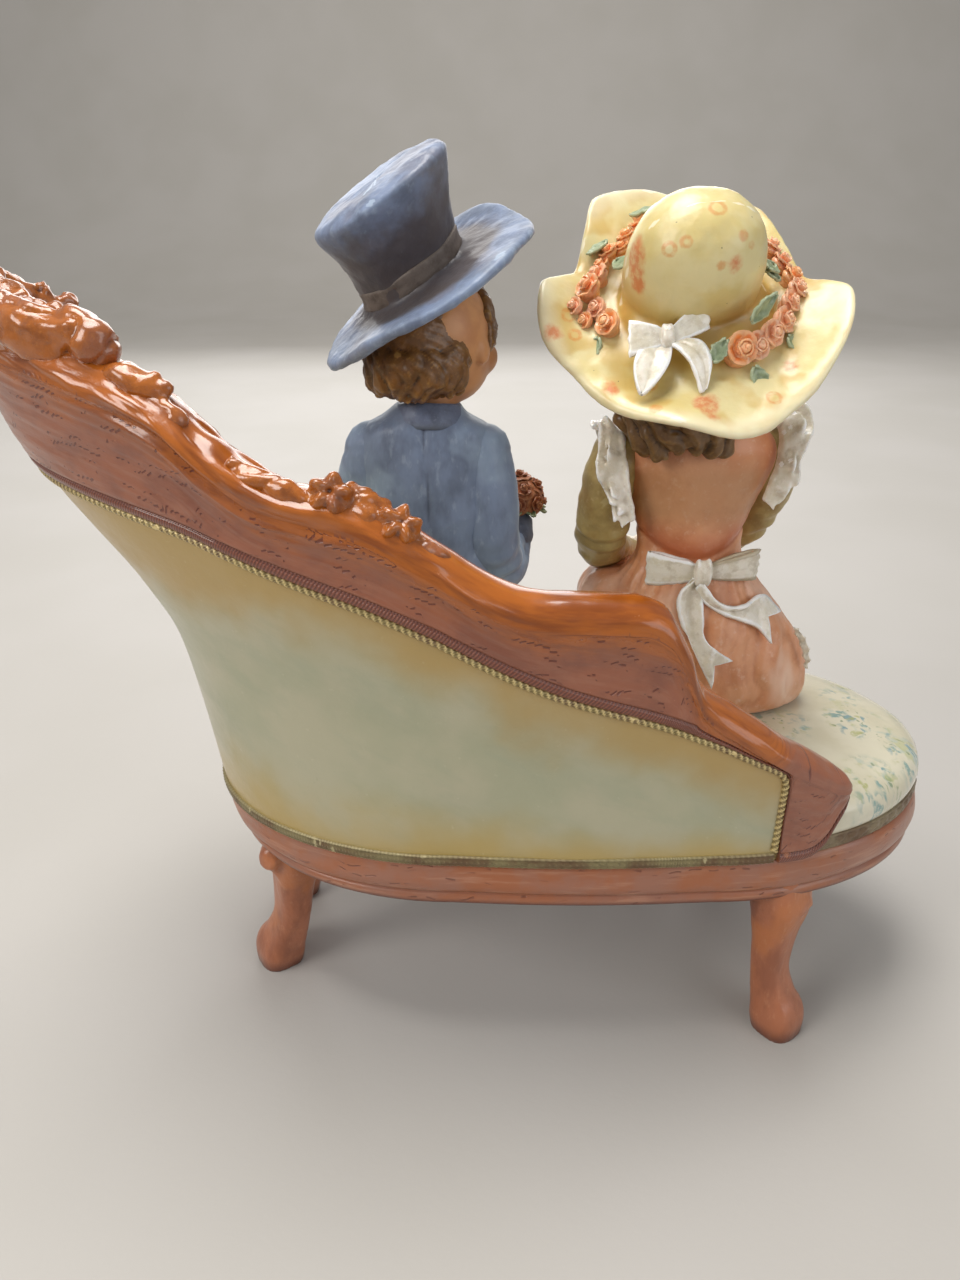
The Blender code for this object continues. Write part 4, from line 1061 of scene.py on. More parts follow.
# ---- four short bowed legs with a carved curl at each knee
FOOT_LEG = [(-53.6, 25.4, 36.0, 5.6), (-54.6, 26.6, 29.0, 5.3), (-54.4, 26.8, 22.0, 4.1),
            (-54.4, 27.0, 14.0, 3.5), (-55.4, 27.8, 8.0, 4.0), (-56.6, 28.6, 3.5, 4.9),
            (-57.0, 28.9, -3.0, 4.2)]
HEAD_LEG = [(34.0, 13.8, 36.0, 5.6), (35.6, 13.4, 29.0, 5.2), (36.8, 12.8, 22.0, 4.1),
            (37.8, 12.3, 14.0, 3.7), (39.6, 11.4, 8.0, 4.2), (41.4, 10.6, 3.5, 5.0),
            (41.9, 10.4, -3.0, 4.2)]
EARS = [(-56.2, 28.4, 29.4, 2.7), (39.2, 16.4, 30.6, 2.7)]


def spiral(centre, out, r0, r1, turns, thick, spin=0.0, hand=1):
    """A flat curl of tube facing out."""
    M = facing(centre, out, spin=spin)
    t = np.linspace(0, 1, 40)
    a = hand * TAU * turns * t
    r = r0 + (r1 - r0) * t ** 0.8
    P = np.stack([r * np.cos(a), r * np.sin(a), 0.35 * t], 1)
    return tube(np.concatenate([apply(M, P), (thick * (1 - 0.35 * t))[:, None]], 1), sides=10)


LEG = brushed("leg_paint", "#ab6846", "#6b3723", "#c88f6a", size=5.0, rough=0.36, deep_amount=0.75, worn_amount=0.2,
              streak=(1, 1, 2.5), wash="#b96f3c", wash_amount=0.7, coat=0.4, coat_rough=0.2,
              extra=lambda p, c: p.mix(p.maths("MULTIPLY", p.band(p.split(p.here())[2], 3.4, 0.2), 0.75), c, "#5c2c1e"))
for which, path, (ex, ey, ez, er), mirror in (("foot", FOOT_LEG, EARS[0], -1), ("head", HEAD_LEG, EARS[1], 1)):
    S0 = finer([(x, y, z, r) for x, y, z, r in path], 12)
    T, N, B = frames_along(S0[:, :3], (1.0, 0.0, 0.0))
    a = np.linspace(0, TAU, 36, endpoint=False)
    shape = 1.0 + 0.055 * np.cos(4 * a + 0.6) - 0.02
    ring = S0[:, None, :3] + (S0[:, 3][:, None] * shape[None])[..., None] * (
        np.cos(a)[None, :, None] * B[:, None] + np.sin(a)[None, :, None] * N[:, None])
    out = np.array((mirror * 0.45, 0.75, 0.12))
    knee = np.array((ex, ey, ez))
    parts = [skin(ring), ellipsoid(knee, (er, er, er * 1.25)),
             spiral(knee + out / np.linalg.norm(out) * er * 0.82, out, er * 0.78, 0.35, 1.6, 0.62, hand=-mirror),
             tube([(ex, ey, ez + er * 0.9, 1.5), (ex - mirror * 1.2, ey + 0.4, ez + er * 1.8, 1.8), (ex - mirror * 3.4, ey - 0.6, ez + er * 2.4, 1.9)], 12, steps=4),
             tube([(ex, ey + 0.3, ez - er * 0.8, 1.3), (ex - mirror * 0.6, ey - 0.2, ez - er * 1.9, 0.9), (ex - mirror * 1.1, ey - 0.8, ez - er * 3.0, 0.5)], 10, steps=4)]
    V, F = remesh(parts, 0.54, 2)
    V = raised(V, F, 0.12 * rough_noise(V, (5, 5, 9), 2, 4))
    V[:, 2] = np.where(V[:, 2] < 0.25, 0.0 + 0 * V[:, 2], V[:, 2])
    for side, sign in (("rear", 1), ("front", -1)):
        piece(f"leg_{which}_{side}", (V * (1, sign, 1), F), LEG, "chaise_longue")


# ---- carved flowers and curled leaves on the crest
def crest_frame(s, up=0.0, out=0.0):
    """A point above the middle of the rolled edge, with the directions along, outward and up."""
    t = read(CREST_LINE, [s])
    xy = back_xy(np.array([s]), t[:, None])[0, 0]
    n = back_out(np.array([s]), t[:, None])[0, 0]
    e = 0.01
    t2 = read(CREST_LINE, [s + e])
    xy2 = back_xy(np.array([s + e]), t2[:, None])[0, 0]
    a = np.append(xy2 - xy, t2 - t)
    a /= np.linalg.norm(a)
    o = np.append(n, 0.0)
    w = np.cross(a, o)
    w = w / np.linalg.norm(w)
    w = w if w[2] > 0 else -w
    p = np.append(xy - n * BACK_T * 0.42, t[0]) - w * 1.0
    return p + w * up + o * out, a, o, w


def blossom(s, size, up=1.6, out=2.2, petals=5, seed=0, tip=0.55):
    """A carved flower with a hollow eye, facing up and outward."""
    p, a, o, w = crest_frame(s, up, out)
    n = w * (1 - tip) + o * tip
    M = np.array(facing(p, n, up=tuple(a), spin=31 * seed))
    parts = []
    for k in range(petals):
        t = TAU * k / petals
        c = M[:3, :3] @ np.array((math.cos(t) * size * 0.62, math.sin(t) * size * 0.62, 0.15 * size)) + M[:3, 3]
        parts.append(ellipsoid(c, (size * 0.44, size * 0.34, size * 0.36), turn=(17 * k + seed, 23 * k, math.degrees(t)), n=18, m=12))
        c2 = M[:3, :3] @ np.array((math.cos(t + 0.5) * size * 0.34, math.sin(t + 0.5) * size * 0.34, -0.05 * size)) + M[:3, 3]
        parts.append(ellipsoid(c2, (size * 0.36,) * 3, n=14, m=10))
    parts.append(ellipsoid(M[:3, 3] - M[:3, 2] * size * 0.45, (size * 0.75, size * 0.75, size * 0.55), n=18, m=12))
    return parts


def leaf_curl(s0, s1, height, r0, r1, out0=1.0, out1=2.6, hook=1.0, n=9):
    """A plump leaf that runs along the crest from s0 and curls over at s1."""
    pts = []
    for k in range(n):
        t = k / (n - 1)
        s = s0 + (s1 - s0) * (t if t < 0.75 else 0.75 + (t - 0.75) * (1 - hook * (t - 0.75) * 4))
        up = height * math.sin(math.pi * min(t * 0.62 + 0.12, 1.0)) - (0.9 * hook * max(0, t - 0.8) * 5 * 0.4)
        p, a, o, w = crest_frame(s, up, out0 + (out1 - out0) * t)
        pts.append(np.append(p, r0 + (r1 - r0) * t))
    return tube(pts, sides=16, steps=4)


def lump(s, up, out, size, turn=0.0, lean=0.0):
    """A smooth carved swelling measured along, outward and up."""
    p, a, o, w = crest_frame(s, up, out)
    V0, F0 = ellipsoid((0, 0, 0), size, (lean, 0, turn), n=34, m=22)
    return V0 @ np.stack([a, o, w], 1).T + p, F0


carvings = {
    "mid": [lump(0.078, 0.9, 1.5, (3.4, 2.4, 3.0)), lump(0.170, 1.3, 1.6, (3.3, 2.4, 3.2)),
            leaf_curl(0.295, 0.205, 0.5, 1.5, 2.0, 1.2, 2.2), lump(0.255, -0.2, 2.2, (5.4, 1.4, 2.0)), lump(0.215, 0.0, 2.4, (3.6, 1.3, 1.8)),
            lump(0.130, 1.6, -0.2, (2.2, 1.9, 1.9)), lump(0.106, 1.2, -0.9, (1.7, 1.5, 1.6)), lump(0.150, 1.8, -1.0, (1.8, 1.6, 1.7)),
            lump(0.122, -0.2, 1.6, (5.4, 1.4, 1.9)), lump(0.030, -0.2, 1.2, (4.6, 1.5, 1.6)), lump(0.165, -0.6, 1.8, (5.4, 1.3, 2.0))],
    "small": [lump(0.43, 0.6, 0.4, (5.2, 2.6, 2.1), 8), lump(0.396, 1.7, -0.5, (1.4, 1.3, 1.4)), lump(0.414, 2.0, -0.8, (1.3, 1.2, 1.2)), lump(0.445, 1.5, -0.3, (2.4, 1.4, 1.2)),
              lump(0.432, 0.2, 1.9, (4.0, 1.1, 1.4)), lump(0.375, -0.1, 0.9, (3.0, 1.6, 1.6))],
    "lobes": [lump(0.506, 2.6, -0.2, (3.9, 3.4, 4.6), 16, -8), lump(0.535, 3.2, -0.2, (4.4, 3.4, 4.2), 0), lump(0.570, 2.0, 1.2, (4.6, 2.6, 4.4), -8), lump(0.612, 2.2, 2.4, (6.4, 2.9, 4.6), 0),
              lump(0.66, 2.2, 2.5, (6.6, 2.8, 4.6), -4), lump(0.71, 2.6, 2.4, (6.2, 2.9, 4.6), 6), lump(0.77, 1.8, 2.8, (6.0, 2.7, 4.4), 0),
              lump(0.84, 2.8, 2.4, (4.4, 3.0, 4.2), -8), lump(0.91, 1.6, 3.2, (4.2, 2.8, 3.4)), lump(1.09, 1.6, 3.2, (4.2, 2.8, 3.4)),
              lump(1.15, 2.8, 2.4, (4.2, 3.0, 4.0), 8), lump(1.21, 1.6, 2.6, (4.0, 2.6, 3.4)), lump(1.27, 2.4, 1.4, (3.4, 2.8, 3.2), 10)],
    "leaves": [],
}
for k, s in enumerate(np.linspace(0.555, 0.93, 9)):
    carvings["leaves"] += [leaf_curl(s - 0.02, s + 0.035, 3.0 + 0.6 * math.sin(2.1 * k), 1.9, 1.6, -1.6, -0.4 - 0.4 * (k % 2), hook=0.8),
                           lump(s, 3.9 + 0.5 * math.cos(1.7 * k), -1.2, (3.0, 1.8, 2.2), 20 * k)]
for k, s in enumerate(np.linspace(1.07, 1.25, 5)):
    carvings["leaves"] += [leaf_curl(s + 0.02, s - 0.03, 3.4 + 0.7 * math.sin(2.1 * k), 1.8, 1.5, -1.4, -0.2, hook=0.8),
                           lump(s, 4.4 + 0.5 * math.cos(1.7 * k), -1.0, (1.9, 1.7, 2.3), 20 * k)]
carvings["leaves"] += [*blossom(1.0, 5.0, 3.4, 1.8, petals=7, seed=6, tip=0.45), *blossom(0.735, 2.8, 4.6, 0.8, seed=5, tip=0.3)]
CARVED = brushed("carved_wood", "#a85e1e", "#56250e", "#cc8440", size=3.0, rough=0.26, deep_amount=0.95, worn_amount=0.22,
                 wash="#965a3c", wash_size=7.0, wash_amount=0.75, coat=0.6, coat_rough=0.08, grain=0.02, cavity=(0.49, 0.42),
                 edge=(0.54, 0.64))
for key, parts in carvings.items():
    V, F = remesh(parts, 0.33 if key in ("mid", "small") else 0.42, {"lobes": 9, "leaves": 5, "mid": 6}.get(key, 4))
    if key == "lobes":
        cuts = np.exp(-np.abs(noise(V + np.stack([0.7 * V[:, 2], 0 * V[:, 0], 0 * V[:, 0]], 1), (5.5, 9.0, 7.0), 40)) * 9)
        V = raised(V, F, 0.5 * rough_noise(V, (4.5, 4.5, 3.4), 3, 12) - 0.6 * cuts)
    elif key == "leaves":
        V = raised(V, F, 0.55 * rough_noise(V, 2.6, 3, 12) - 0.5 * np.exp(-np.abs(noise(V, 3.4, 40)) * 10))
    elif key == "small":
        V = raised(V, F, 0.22 * rough_noise(V, 2.4, 2, 12) - 0.3 * np.exp(-np.abs(noise(V, (5.0, 5.0, 1.6), 40)) * 10))
    else:
        relief = 0.25 * rough_noise(V, 2.6, 2, 12) - 0.3 * np.exp(-np.abs(noise(V, (5.0, 3.0, 2.2), 40)) * 9)
        for s, up, out, seed, eye in ((0.078, 2.4, 3.0, 0.4, 0.9), (0.170, 2.6, 3.4, 1.7, 1.5)):
            c, a, o, w = crest_frame(s, up, out)
            n = w * 0.45 + o * 0.55
            n = n / np.linalg.norm(n)
            b = np.cross(n, a)
            q = V - c
            rho, th = np.hypot(q @ a, q @ b), np.arctan2(q @ b, q @ a)
            close = np.exp(-((q @ n) / 3.0) ** 2)
            relief = relief * (1 - 0.8 * close * step(rho, 3.6, 2.6)) + close * (0.62 * np.cos(5 * th + seed) * bump_at(rho, 2.3, 1.7) - eye * np.exp(-(rho / 0.85) ** 2)
                                                                                 - 0.35 * np.exp(-((rho - 3.5) / 0.5) ** 2))
        V = raised(V, F, relief)
    V = relax(V, F, 1)
    piece("crest_carving_" + key, (V, F), CARVED, "chaise_longue")


# ================================================================== boy
def polar(V, centre, turn):
    """Directions of the points about a centre, in the head's own layout: x right, y back, z up."""
    return (V - np.asarray(centre, float)) @ turn_matrix(turn)


def ring_body(rows, n=72, power=2.0):
    """A body from rows of (cx, cy, z, rx, ry, front) with rounded-square sections."""
    R = finer([list(r) for r in rows], 6)
    a = np.linspace(0, TAU, n, endpoint=False)
    c, s = np.cos(a), np.sin(a)
    k = 2.0 / power
    cx = np.sign(c) * np.abs(c) ** k
    sy = np.sign(s) * np.abs(s) ** k
    rings = np.stack([R[:, 0, None] + R[:, 3, None] * cx, R[:, 1, None] + R[:, 4, None] * sy - R[:, 5, None] * np.where(sy < 0, sy ** 2, 0),
                      np.repeat(R[:, 2, None], n, 1)], -1)
    return skin(rings)


def face_parts(centre, turn, k=1.0):
    """A plain doll's head: rounded skull, full cheeks, small nose, lips and chin. -Y is the face."""
    R = turn_matrix(turn)

    def at(x, y, z):
        return np.asarray(centre, float) + R @ (np.array((x, y, z)) * k)

    parts = [ellipsoid(at(0, 0.6, 1.6), np.array((8.6, 9.4, 9.4)) * k, turn, 48, 30),
             ellipsoid(at(0, -1.2, -3.2), np.array((7.5, 7.4, 7.4)) * k, turn, 48, 30),
             ellipsoid(at(0, -4.6, -8.2), np.array((3.0, 3.0, 2.5)) * k, turn),
             ellipsoid(at(0, -9.2, -2.3), np.array((1.3, 1.7, 1.2)) * k, turn, 20, 14),
             ellipsoid(at(0, -8.5, -0.6), np.array((0.85, 1.2, 2.3)) * k, turn, 20, 14),
             ellipsoid(at(0, -7.75, -5.0), np.array((1.75, 0.85, 0.5)) * k, turn, 20, 12),
             ellipsoid(at(0, -7.5, -5.95), np.array((1.45, 0.95, 0.6)) * k, turn, 20, 12)]
    for sx in (-1, 1):
        parts += [ellipsoid(at(sx * 4.3, -4.7, -3.2), np.array((3.5, 3.2, 3.3)) * k, turn),
                  ellipsoid(at(sx * 3.2, -7.1, 2.9), np.array((2.2, 1.1, 0.7)) * k, turn, 20, 12),
                  ellipsoid(at(sx * 0.95, -8.6, -2.55), np.array((0.7, 0.8, 0.6)) * k, turn, 16, 10),
                  ellipsoid(at(sx * 8.2, 0.6, -1.4), np.array((1.0, 1.7, 2.4)) * k, turn, 20, 14)]
    return parts, at


def eyes(prefix, at, turn, k, mat_white, mat_dark, mat_brow, node, head, mat_lips):
    """Eyes, lids, brows and lips laid on the finished head (points, faces)."""
    tree = BVHTree.FromPolygons([tuple(v) for v in head[0]], [tuple(f) for f in head[1]])
    inward = np.array(turn_matrix(turn)) @ np.array((0.0, 1.0, 0.0))

    def on_face(x, z, lift=0.0):
        start = at(x, -20.0, z)
        hit = tree.ray_cast(Vector(start), Vector(inward))
        p = np.array(hit[0]) if hit[0] is not None else at(x, -8.0, z)
        return p - inward * lift * k

    for sx, side in ((-1, "right"), (1, "left")):
        c = on_face(sx * 3.05, 0.7, -0.42)
        piece(f"{prefix}_eye_{side}", ellipsoid(c, np.array((1.7, 0.85, 1.15)) * k, turn, 32, 20), mat_white, node)
        c = on_face(sx * 2.95, 0.66, 0.12)
        piece(f"{prefix}_iris_{side}", ellipsoid(c, np.array((0.85, 0.42, 0.92)) * k, turn, 24, 14), mat_dark, node)
        lid = [np.append(on_face(sx * 3.05 + x, 0.78 + z, 0.2), r * k)
               for x, z, r in ((-1.75, 0.1, 0.14), (-1.0, 0.86, 0.24), (0, 1.12, 0.28), (1.0, 0.86, 0.24), (1.75, 0.1, 0.14))]
        piece(f"{prefix}_lid_{side}", tube(lid, 10, steps=5), mat_brow, node)
        brow = [np.append(on_face(sx * (3.1 + x), 3.1 + z, 0.04), r * k)
                for x, z, r in ((-1.9, 0.0, 0.12), (-0.9, 0.5, 0.22), (0.1, 0.7, 0.26), (1.2, 0.5, 0.2), (2.2, -0.1, 0.1))]
        piece(f"{prefix}_brow_{side}", tube(brow, 10, steps=5), mat_brow, node)
    upper = [np.append(on_face(x, -4.95 + z, 0.0), r * k) for x, z, r in ((-1.75, 0.1, 0.14), (-0.8, 0.16, 0.34), (0, -0.02, 0.32), (0.8, 0.16, 0.34), (1.75, 0.1, 0.14))]
    lower = [np.append(on_face(x, -5.55 + z, 0.0), r * k) for x, z, r in ((-1.35, 0.42, 0.12), (-0.7, 0.06, 0.36), (0, -0.04, 0.42), (0.7, 0.06, 0.36), (1.35, 0.42, 0.12))]
    piece(f"{prefix}_lips", join([tube(upper, 12, steps=6), tube(lower, 12, steps=6)]), mat_lips, node)


def skin_paint(name, centre, turn, k, tan="#c08a66"):
    """Warm flesh paint; the cheeks and lips are flushed where the head's own places say so."""
    p = Paint(name)
    R = turn_matrix(turn)
    c0 = (np.asarray(centre, float) + SHIFT)
    blot = p.noise(4.0, 3.0, 0.5)
    colour = p.mix(p.maths("MULTIPLY", p.band(blot, 0.38, 0.66), 0.6), tan, "#b67c54")

    def spot(x, y, z, r, soft=1.0):
        c = c0 + R @ (np.array((x, y, z)) * k)
        d = p.node("VectorMath", operation="DISTANCE")
        p.put(d.inputs[0], p.here())
        d.inputs[1].default_value = tuple(c)
        return p.band(d.outputs["Value"], r * k, (r - soft) * k)

    for sx in (-1, 1):
        colour = p.mix(p.maths("MULTIPLY", spot(sx * 4.3, -6.8, -2.8, 3.6, 3.4), 0.34), colour, "#cf7654")
    colour = p.mix(p.maths("MULTIPLY", spot(0, -9.8, -2.5, 1.6, 1.4), 0.2), colour, "#cf7654")
    colour = p.mix(p.maths("MULTIPLY", p.band(p.pointy(), 0.495, 0.44), 0.55), colour, "#7c4a30")
    return p.done(colour, p.blend(blot, 0.42, 0.52), [(p.noise(0.8, 2.0, 0.5), 0.02)], coat=0.15, coat_rough=0.3, soft=0.15)


def hand(wrist, palm, tips, thumb, r=1.0, palm_r=(2.6, 2.1)):
    """A small hand: a palm and four slim fingers and a thumb, each from the knuckle by a bend to the tip."""
    palm, wrist = np.asarray(palm, float), np.asarray(wrist, float)
    parts = [tube([np.append(wrist, palm_r[1]), np.append((wrist + palm) / 2, palm_r[0] * 0.9), np.append(palm, palm_r[0])], 18, flat=0.75, steps=4),
             ellipsoid(palm, (palm_r[0], palm_r[0], palm_r[1] * 0.9))]
    for knuckle, bend, tip in tips:
        parts.append(tube([np.append(knuckle, r), np.append(bend, r * 0.92), np.append(tip, r * 0.78)], 12, steps=5))
    knuckle, bend, tip = thumb
    parts.append(tube([np.append(knuckle, r * 1.15), np.append(bend, r * 1.05), np.append(tip, r * 0.85)], 12, steps=5))
    return parts


BOY_HEAD, BOY_TURN = (6.5, -4.8, 122.0), (0, 4, -28)
COAT = brushed("coat_paint", "#7b8ca8", "#3a4050", "#adbdd0", size=6.0, rough=0.55, deep_amount=0.8, worn_amount=0.45,
               streak=(1, 1, 2.2), wash="#8ea2ba", wash_size=9.0, wash_amount=0.7, sheen=0.1, coat=0.1, grain=0.03)
# painted shade: a darker copy of the coat paint standing for the shade round the neck; the collar, lapels and cuffs
# take it
COAT_SHADED = brushed("coat_shaded_paint", "#626d86", "#343844", "#8b97ac", size=3.0, rough=0.55)
def hat_shade(p, c):
    x, y, z = p.split(p.attr("run"))
    r = p.maths("SQRT", p.maths("ADD", p.maths("MULTIPLY", x, x), p.maths("MULTIPLY", y, y)))
    soft = p.maths("MULTIPLY", p.maths("SUBTRACT", p.noise(5.0, 3.0, 0.55, seed=5.0), 0.5), 9.0)
    # painted shade: the crown's lower sides darkened to brown-grey
    low = p.maths("MULTIPLY", p.band(p.maths("ADD", z, soft), 17.0, 9.0), p.band(p.maths("ADD", r, p.maths("MULTIPLY", soft, 0.5)), 15.5, 12.0))
    c = p.mix(p.maths("MULTIPLY", low, 0.9), c, "#4a3f3b")
    pale = p.maths("MULTIPLY", p.band(r, 15.5, 19.5), p.band(p.noise(5.0, 3.0, 0.6, seed=15.0), 0.42, 0.6))
    return p.mix(p.maths("MULTIPLY", pale, 0.35), c, "#8794a6")


HAT = brushed("top_hat_paint", "#7686a4", "#3c4250", "#9cadc2", size=5.0, rough=0.5, deep_amount=0.85, worn_amount=0.8,
              wash="#6a6c7c", wash_size=8.0, wash_amount=0.7, streak=(1, 1, 1.4), sheen=0.1, coat=0.08, edge=(0.515, 0.57), extra=hat_shade)
HAIR = brushed("hair_paint", "#7d5426", "#37200e", "#b58a4a", size=2.6, rough=0.42, deep_amount=0.95, worn_amount=0.55,
               wash="#5f3c1a", wash_size=4.0, coat=0.2, cavity=(0.495, 0.43), edge=(0.52, 0.58))
TROUSER = brushed("trouser_paint", "#8b8373", "#4a4338", "#b3ab98", size=5.0, rough=0.55, streak=(1, 1, 2))
SHOE = brushed("shoe_paint", "#3a2c26", "#1a1310", "#6d5a4d", size=4.0, rough=0.3, coat=0.4)
WHITE = brushed("eye_white", "#ded6c6", "#a89a84", "#efe9dd", size=1.0, rough=0.25, coat=0.5, grain=0.01)
IRIS = brushed("eye_dark", "#3a2418", "#1c110b", "#5a3a26", size=0.6, rough=0.15, coat=0.8, grain=0.01)
BROW = brushed("brow_paint", "#5a3a1e", "#2c1a0c", "#7c5630", size=0.8, rough=0.4, grain=0.01)
LINEN = brushed("linen_paint", "#d8cfbd", "#8f7f68", "#efe8da", size=2.5, rough=0.4, coat=0.15)

torso = ring_body([(6.8, -3.4, 50.5, 13.6, 10.4, 1.0), (6.8, -3.5, 55.0, 14.0, 10.6, 1.5), (7.0, -3.6, 63.0, 13.2, 10.2, 0.6),
                   (7.6, -4.0, 72.0, 12.0, 9.2, 0.3), (8.2, -4.4, 81.0, 11.6, 8.8, 0.2), (8.8, -4.6, 90.0, 12.3, 8.8, 0.2),
                   (9.3, -4.4, 98.0, 12.9, 8.5, 0), (9.3, -4.0, 103.4, 13.0, 7.9, 0), (9.2, -3.8, 107.6, 11.4, 6.8, 0),
                   (9.3, -3.8, 110.0, 7.4, 5.9, 0), (9.0, -3.8, 112.0, 5.4, 5.3, 0)], power=2.15)
left_arm = tube([(19.0, -4.0, 103.8, 5.0), (21.2, -5.0, 95.5, 4.9), (22.2, -7.4, 84.0, 4.7), (19.8, -14.5, 76.8, 4.2),
                 (15.2, -21.8, 73.6, 3.8), (12.6, -25.6, 72.4, 3.9)], 30, steps=8)
right_arm = tube([(-0.6, -3.0, 103.6, 5.0), (-2.2, -1.6, 96.0, 4.8), (-2.0, -1.8, 87.6, 5.3), (-3.2, -6.4, 80.8, 5.0), (-4.8, -11.4, 79.8, 4.5),
                  (-5.8, -15.6, 81.2, 4.0), (-6.2, -17.8, 83.0, 4.0)], 30, steps=8)
V, F = remesh([torso], 0.62, 3)
N = normals(V, F)
back_seam = bump_at(V[:, 0] - (9.4 - (104 - V[:, 2]) * 0.055), 0, 0.42) * step(V[:, 1], 0.5, 1.5) * step(V[:, 2], 60, 64)
side = np.abs(V[:, 0] - 8.9)
folds = rough_noise(np.stack([V[:, 0], V[:, 1], V[:, 2] + 0.5 * V[:, 0]], 1), (6.0, 6.0, 3.0), 2, 7)
waist = np.exp(-((V[:, 2] - 76) / 5) ** 2) * np.sin((V[:, 2] + 0.3 * side) * 1.1) * 0.25 * (1 - step(side, 9, 11))
pull = 0.3 * np.sin((V[:, 0] * 0.5 + V[:, 2]) * 0.55 + 1.4 * noise(V, 9, 6)) * step(V[:, 1], -2, 2)
V = raised(V, F, 0.16 * folds + 0.6 * pull + waist - 0.42 * back_seam + 0.05 * rough_noise(V, 2.4, 2, 9))
piece("boy_coat", (V, F), COAT, "boy")
for nm, arm in (("left", left_arm), ("right", right_arm)):
    V, F = remesh([arm], 0.55, 2)
    elbow = np.exp(-((V[:, 2] - 80) / 6) ** 2)
    creases = np.sin((V[:, 2] + 0.6 * V[:, 1] + 1.5 * noise(V, 6, 2)) * 1.25) * elbow
    head_seam = bump_at(V[:, 2], 103.2 + 0.3 * (V[:, 1] + 4), 0.7)
    V = raised(V, F, 0.16 * rough_noise(V, (5, 5, 4), 2, 7) + 0.36 * creases + 0.05 * rough_noise(V, 2.4, 2, 9) - 0.1 * head_seam)
    piece(f"boy_sleeve_{nm}", (V, F), COAT, "boy")

# collar and lapels
t = np.linspace(-math.pi * 0.86, math.pi * 0.86, 90)
rim = []
for k, (r, dz) in enumerate(((1.22, -1.6), (1.26, -0.4), (1.16, 1.0), (1.02, 2.2), (0.99, 2.6))):
    rim.append(np.stack([9.0 + 5.7 * r * np.sin(t), -3.9 + 5.5 * r * np.cos(t), 110.2 + dz - 2.6 * (1 - np.cos(t)) * 0.5 * r + 0 * t], 1))
V, F = sheet(np.stack(rim, 1)[::-1], 0.8)
V = raised(V, F, 0.1 * rough_noise(V, 3, 2, 3))
piece("boy_collar", (V, F), COAT_SHADED, "boy")
for sx, side_name in ((-1, "right"), (1, "left")):
    g = []
    for q in np.linspace(0, 1, 16):
        z = 106.4 - 20 * q
        w = 3.6 * math.sin(math.pi * min(1, 0.25 + q * 0.75)) + 0.3
        yc = -4.6 - (8.6 + 0.4 * math.sin(math.pi * q)) - 0.5
        x0 = 9.0 + sx * (0.6 + 3.6 * (1 - q))
        g.append([(x0 + sx * w * v, yc + 0.10 * (w * v) ** 2 * 0.6 + 3.2 * (1 - q) ** 3 + 0.35 * (1 - v), z + 0.8 * v) for v in np.linspace(0, 1, 7)])
    V, F = sheet(np.array(g), 0.7)
    piece(f"boy_lapel_{side_name}", (V, F), COAT_SHADED, "boy")
shirt = ellipsoid((8.9, -10.6, 101.0), (3.9, 2.9, 7.2), n=36, m=24)
piece("boy_shirt", (raised(*shirt, 0.2 * rough_noise(shirt[0], (1.2, 3, 6), 2, 3)), shirt[1]), LINEN, "boy")
cravat = remesh([ellipsoid((7.0, -12.0, 107.4), (2.6, 1.5, 1.6), (0, 14, 10)), ellipsoid((11.0, -11.8, 107.2), (2.6, 1.5, 1.6), (0, -14, -10)),
                 ellipsoid((9.0, -12.6, 107.2), (1.1, 1.2, 1.2)), tube([(9, -11.8, 107, 5.2 * 0.2), (8.2, -13.3, 103.6, 1.5), (7.8, -13.4, 101.2, 1.2)], 14, flat=0.5, steps=4),
                 tube([(9, -11.8, 107, 1.0), (10.0, -13.2, 104.0, 1.4), (10.6, -13.4, 101.8, 1.1)], 14, flat=0.5, steps=4)], 0.3, 2)
CRAVAT = brushed("cravat_paint", "#a4603f", "#5c2f1d", "#c98a62", size=2.0, rough=0.45)
piece("boy_cravat", (raised(*cravat, 0.12 * rough_noise(cravat[0], 1.2, 2, 3)), cravat[1]), CRAVAT, "boy")
BUTTON = old_gold("button_gold", base="#8c7440", worn="#e0cc8c")
for k, z in enumerate((92.5, 87.0, 81.5)):
    m = facing((8.2 - 0.1 * k, -13.75 + 0.12 * k, z), (0, -1, 0.05))
    piece(f"boy_button_{k + 1}", lathe([(0, 0.9), (0.5, 0.86), (0.95, 0.55), (1.1, 0.2), (1.0, -0.3), (0, -0.6)], 24, m), BUTTON, "boy")
for sx, nm, a0, a1 in ((1, "left", (13.2, -24.9, 72.6), (11.6, -26.9, 72.0)), (-1, "right", (-6.1, -17.1, 82.4), (-6.6, -18.9, 84.2))):
    d = np.array(a1) - np.array(a0)
    pts = [np.append(np.array(a0) + d * t, 4.1 + 0.25 * math.sin(math.pi * t)) for t in np.linspace(0, 1, 8)]
    V, F = tube(pts, 30)
    piece(f"boy_cuff_{nm}", (raised(V, F, 0.1 * rough_noise(V, 2, 2, 5)), F), COAT_SHADED, "boy")

# head, neck and face
HAT_AT = leaning((8.5, -2.8, 132.0), 33.0, 12.0)


def under(place, V, top=-1.1, reach=13.0):
    """Keeps the head and hair below the hat they are under."""
    inv = np.array(place.inverted())
    L = V @ inv[:3, :3].T + inv[:3, 3]
    r = np.hypot(L[:, 0], L[:, 1])
    limit = top - 0.35 * (1 - step(r, 4.0, reach))
    L[:, 2] = np.where(L[:, 2] > limit - 1.0, limit - 1.0 + 1.0 * np.tanh((L[:, 2] - limit + 1.0) / 1.0), L[:, 2])
    return apply(place, L)


